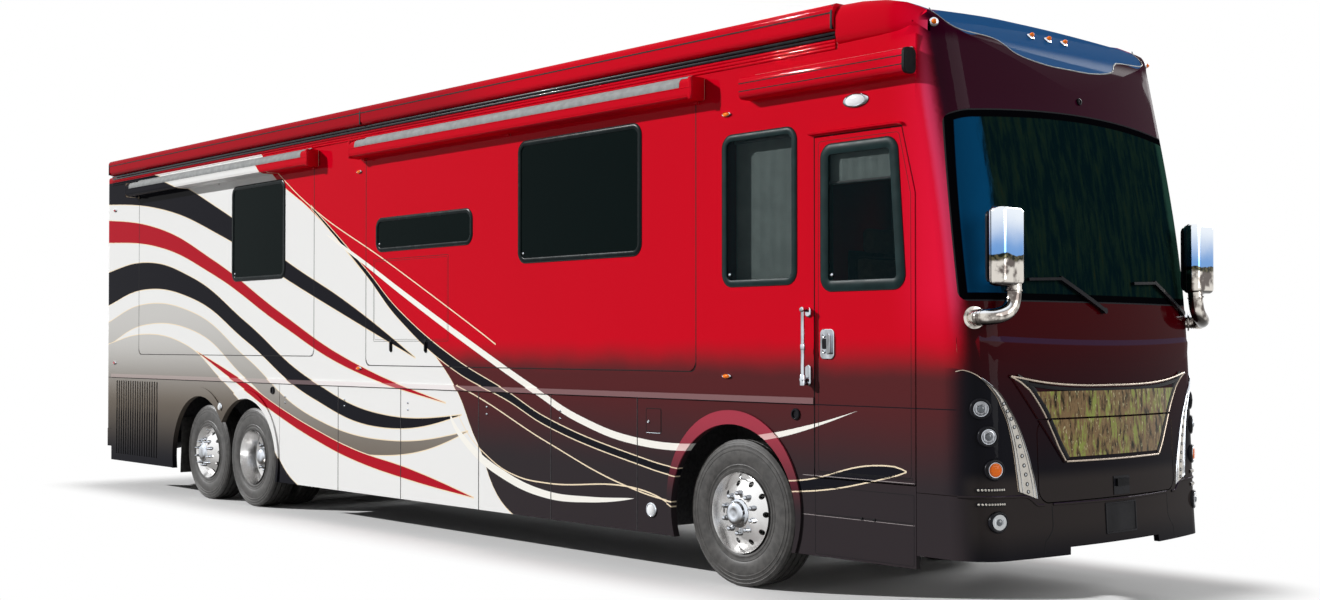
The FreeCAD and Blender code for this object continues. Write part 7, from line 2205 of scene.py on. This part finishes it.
for number, middle in enumerate(UNIT_MIDDLES, start=1):
    solid = bmesh.new()
    edge = rounded(box_corners(middle - UNIT_LONG / 2 - 0.004, middle + UNIT_LONG / 2 + 0.004,
                               -UNIT_HALF - 0.004, UNIT_HALF + 0.004), 0.012, 4)
    swept(solid, [Vector((x, y, 3.966)) for x, y in edge],
          [(-0.014, -0.006), (-0.008, 0.008), (0.008, 0.008), (0.014, -0.006)], closed=True, up=(0, 0, 1))
    piece("unit_sealant_%d" % number, solid, ROOF_COAT)
    solid = bmesh.new()
    edge = rounded(box_corners(middle - 0.4, middle + 0.4, -0.3, 0.3), 0.03, 5)
    swept(solid, [Vector((x, y, UNIT_TOP)) for x, y in edge],
          [(-0.003, -0.001), (-0.002, 0.0016), (0.002, 0.0016), (0.003, -0.001)], closed=True, up=(0, 0, 1))
    piece("unit_lid_seam_%d" % number, solid, SEAL_RUBBER)
for number, middle in enumerate(VENT_MIDDLES, start=1):
    solid = bmesh.new()
    foot = rounded(box_corners(middle - VENT_HALF, middle + VENT_HALF, -VENT_HALF, VENT_HALF), 0.04, 6)
    skin(solid, [[Vector((x, y, z)) for x, y in shrunk(foot, inset)]
                 for z, inset in ((3.955, 0), (3.985, 0), (3.99, 0.01))], material=0)
    dome = shrunk(foot, 0.018)
    skin(solid, [[Vector((x, y, z)) for x, y in shrunk(dome, inset)]
                 for z, inset in ((3.984, 0.0), (4.02, 0.004), (4.036, 0.02), (4.044, 0.06),
                                  (4.047, 0.12))], material=1)
    piece("roof_vent_%d" % number, solid, [ROOF_COAT, SMOKED], crisp=50)
tell("roof fitted")

# %% [markdown]
# Underneath, each axle gets its brake chambers and shock absorbers, and the exhaust leaves under the
# rear bumper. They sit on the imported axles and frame, so they stay inside the coach's own box.

# %% Underbody
CHASSIS_GREY = cloudy("chassis_grey", (0.03, 0.03, 0.032), 0.55, 30.0, 0.3, 0.0004)
for label, axle in (("front", 4.531), ("drive", -2.989), ("tag", -4.103)):
    solid = bmesh.new()
    for side in (-1, 1):
        turned(solid, [(0.001, -0.07), (0.05, -0.068), (0.078, -0.05), (0.08, -0.006), (0.086, -0.004),
                       (0.086, 0.006), (0.08, 0.008), (0.076, 0.055), (0.045, 0.07), (0.001, 0.072)],
               (axle - 0.165, side * 0.5, 0.56), (1, 0, 0), steps=28)
        swept(solid, [(axle - 0.1, side * 0.5, 0.56), (axle - 0.03, side * 0.5, 0.555)], circle(0.014, 12))
        swept(solid, [(axle + 0.12, side * 0.46, 0.5), (axle + 0.16, side * 0.455, 0.66)],
              circle(0.036, 18))
        swept(solid, [(axle + 0.155, side * 0.4556, 0.64), (axle + 0.19, side * 0.45, 0.8)],
              circle(0.022, 16))
    piece("brakes_and_shocks_" + label, solid, CHASSIS_GREY, crisp=40)
solid = bmesh.new()
pipe = smooth_path([(-5.3, -0.62, 0.62), (-5.7, -0.66, 0.56), (-6.1, -0.7, 0.5), (-6.5, -0.72, 0.455),
                    (-6.8, -0.72, 0.44)], 6)
swept(solid, pipe, circle(0.055, 24))
piece("exhaust_pipe", solid, CHASSIS_GREY)
solid = bmesh.new()
turned(solid, [(0.06, 0.0), (0.063, 0.004), (0.063, 0.115), (0.06, 0.12), (0.055, 0.118), (0.055, 0.004)],
       (-6.73, -0.72, 0.4435), (-1, 0, -0.05), steps=32, closed=True)
piece("exhaust_tip", solid, CHROME)
tell("underbody fitted")

# %% [markdown]
# The studio is a wide pale floor that melts into a white surround, under an even sky. The main sun
# stands low at the right rear, as the shadows under the awning cases in the photograph show, and two
# broad fills light the left side and the nose. The floor keeps the shadow close to the object and
# turns pure white further off, so there is no horizon line.

# %% Floor
FLOOR_REACH = 90.0
CLEAR_OF = (6.8, 1.3)
SHADOW_REACH = (0.05, 0.8)
FLOOR_GREY = (0.86, 0.86, 0.86)
FLOOR_BOUNCE = (0.3, 0.3, 0.3)
SKY_STRENGTH = 0.18
# each light's name, strength, spread in degrees, and the side it comes from
SUNS = (("sun", 4.2, 1.2, (-1.12, -1.0, 0.66)), ("fill", 1.5, 30.0, (-0.12, 1.0, 0.45)),
        ("front_fill", 1.3, 40.0, (1.0, 0.22, 0.35)))

floor_mesh = bpy.data.meshes.new("floor")
floor_mesh.from_pydata([(-FLOOR_REACH, -FLOOR_REACH, 0), (FLOOR_REACH, -FLOOR_REACH, 0),
                        (FLOOR_REACH, FLOOR_REACH, 0), (-FLOOR_REACH, FLOOR_REACH, 0)], [], [(0, 1, 2, 3)])
floor = bpy.data.objects.new("floor", floor_mesh)
bpy.context.scene.collection.objects.link(floor)


def is_seen(tree):
    """1 for rays from the camera, a mirror or glass, 0 for light itself."""
    rays = tree.nodes.new("ShaderNodeLightPath")
    camera_ray, mirrored, through = (Wire(rays.outputs["Is %s Ray" % kind])
                                     for kind in ("Camera", "Glossy", "Transmission"))
    return camera_ray.most(mirrored).most(through)


def studio_floor():
    material = finish("studio_floor", FLOOR_GREY, 0.9)
    tree = material.node_tree
    x, y, height = place_in(material).split()
    past_x = (abs(x) - CLEAR_OF[0]).most(0.0)
    past_y = (abs(y) - CLEAR_OF[1]).most(0.0)
    far = x.maths("SQRT", past_x * past_x + past_y * past_y).rise(*SHADOW_REACH)
    glow = far.node("ShaderNodeEmission", {0: (1, 1, 1), 1: 1.0})
    mixed = far.node("ShaderNodeMixShader",
                     {0: far * is_seen(tree), 1: Wire(tree.nodes["Principled BSDF"].outputs[0]), 2: glow})
    wire_in(material, "Base Color", is_seen(tree).mix(FLOOR_BOUNCE, FLOOR_GREY))
    tree.links.new(mixed.socket, tree.nodes["Material Output"].inputs["Surface"])
    return material


floor_mesh.materials.append(studio_floor())
print("floor %.0f m wide, white from %.1f m beside the object" % (2 * FLOOR_REACH, SHADOW_REACH[1]))

# %% [markdown]
# The light is a plain white sky and a few suns. A sun is so far away that its light reaches every
# piece from the same side, and the wider its angle, the softer the edge of the shadow it makes.

# %% Sky and suns
world = bpy.data.worlds.new("studio")
bpy.context.scene.world = world
world.use_nodes = True
sky = world.node_tree.nodes["Background"]
sky.inputs["Color"].default_value = (1, 1, 1, 1)
seen = is_seen(world.node_tree)
plug(sky.inputs["Strength"], seen + (1 - seen) * SKY_STRENGTH)

for name, strength, spread, source in SUNS:
    lamp = bpy.data.objects.new(name, bpy.data.lights.new(name, "SUN"))
    lamp.data.energy = strength
    lamp.data.angle = math.radians(spread)
    lamp.rotation_euler = Vector(source).to_track_quat("Z", "Y").to_euler()
    bpy.context.scene.collection.objects.link(lamp)
bpy.context.scene.view_settings.view_transform = "Standard"
print(len(SUNS), "suns and the sky")
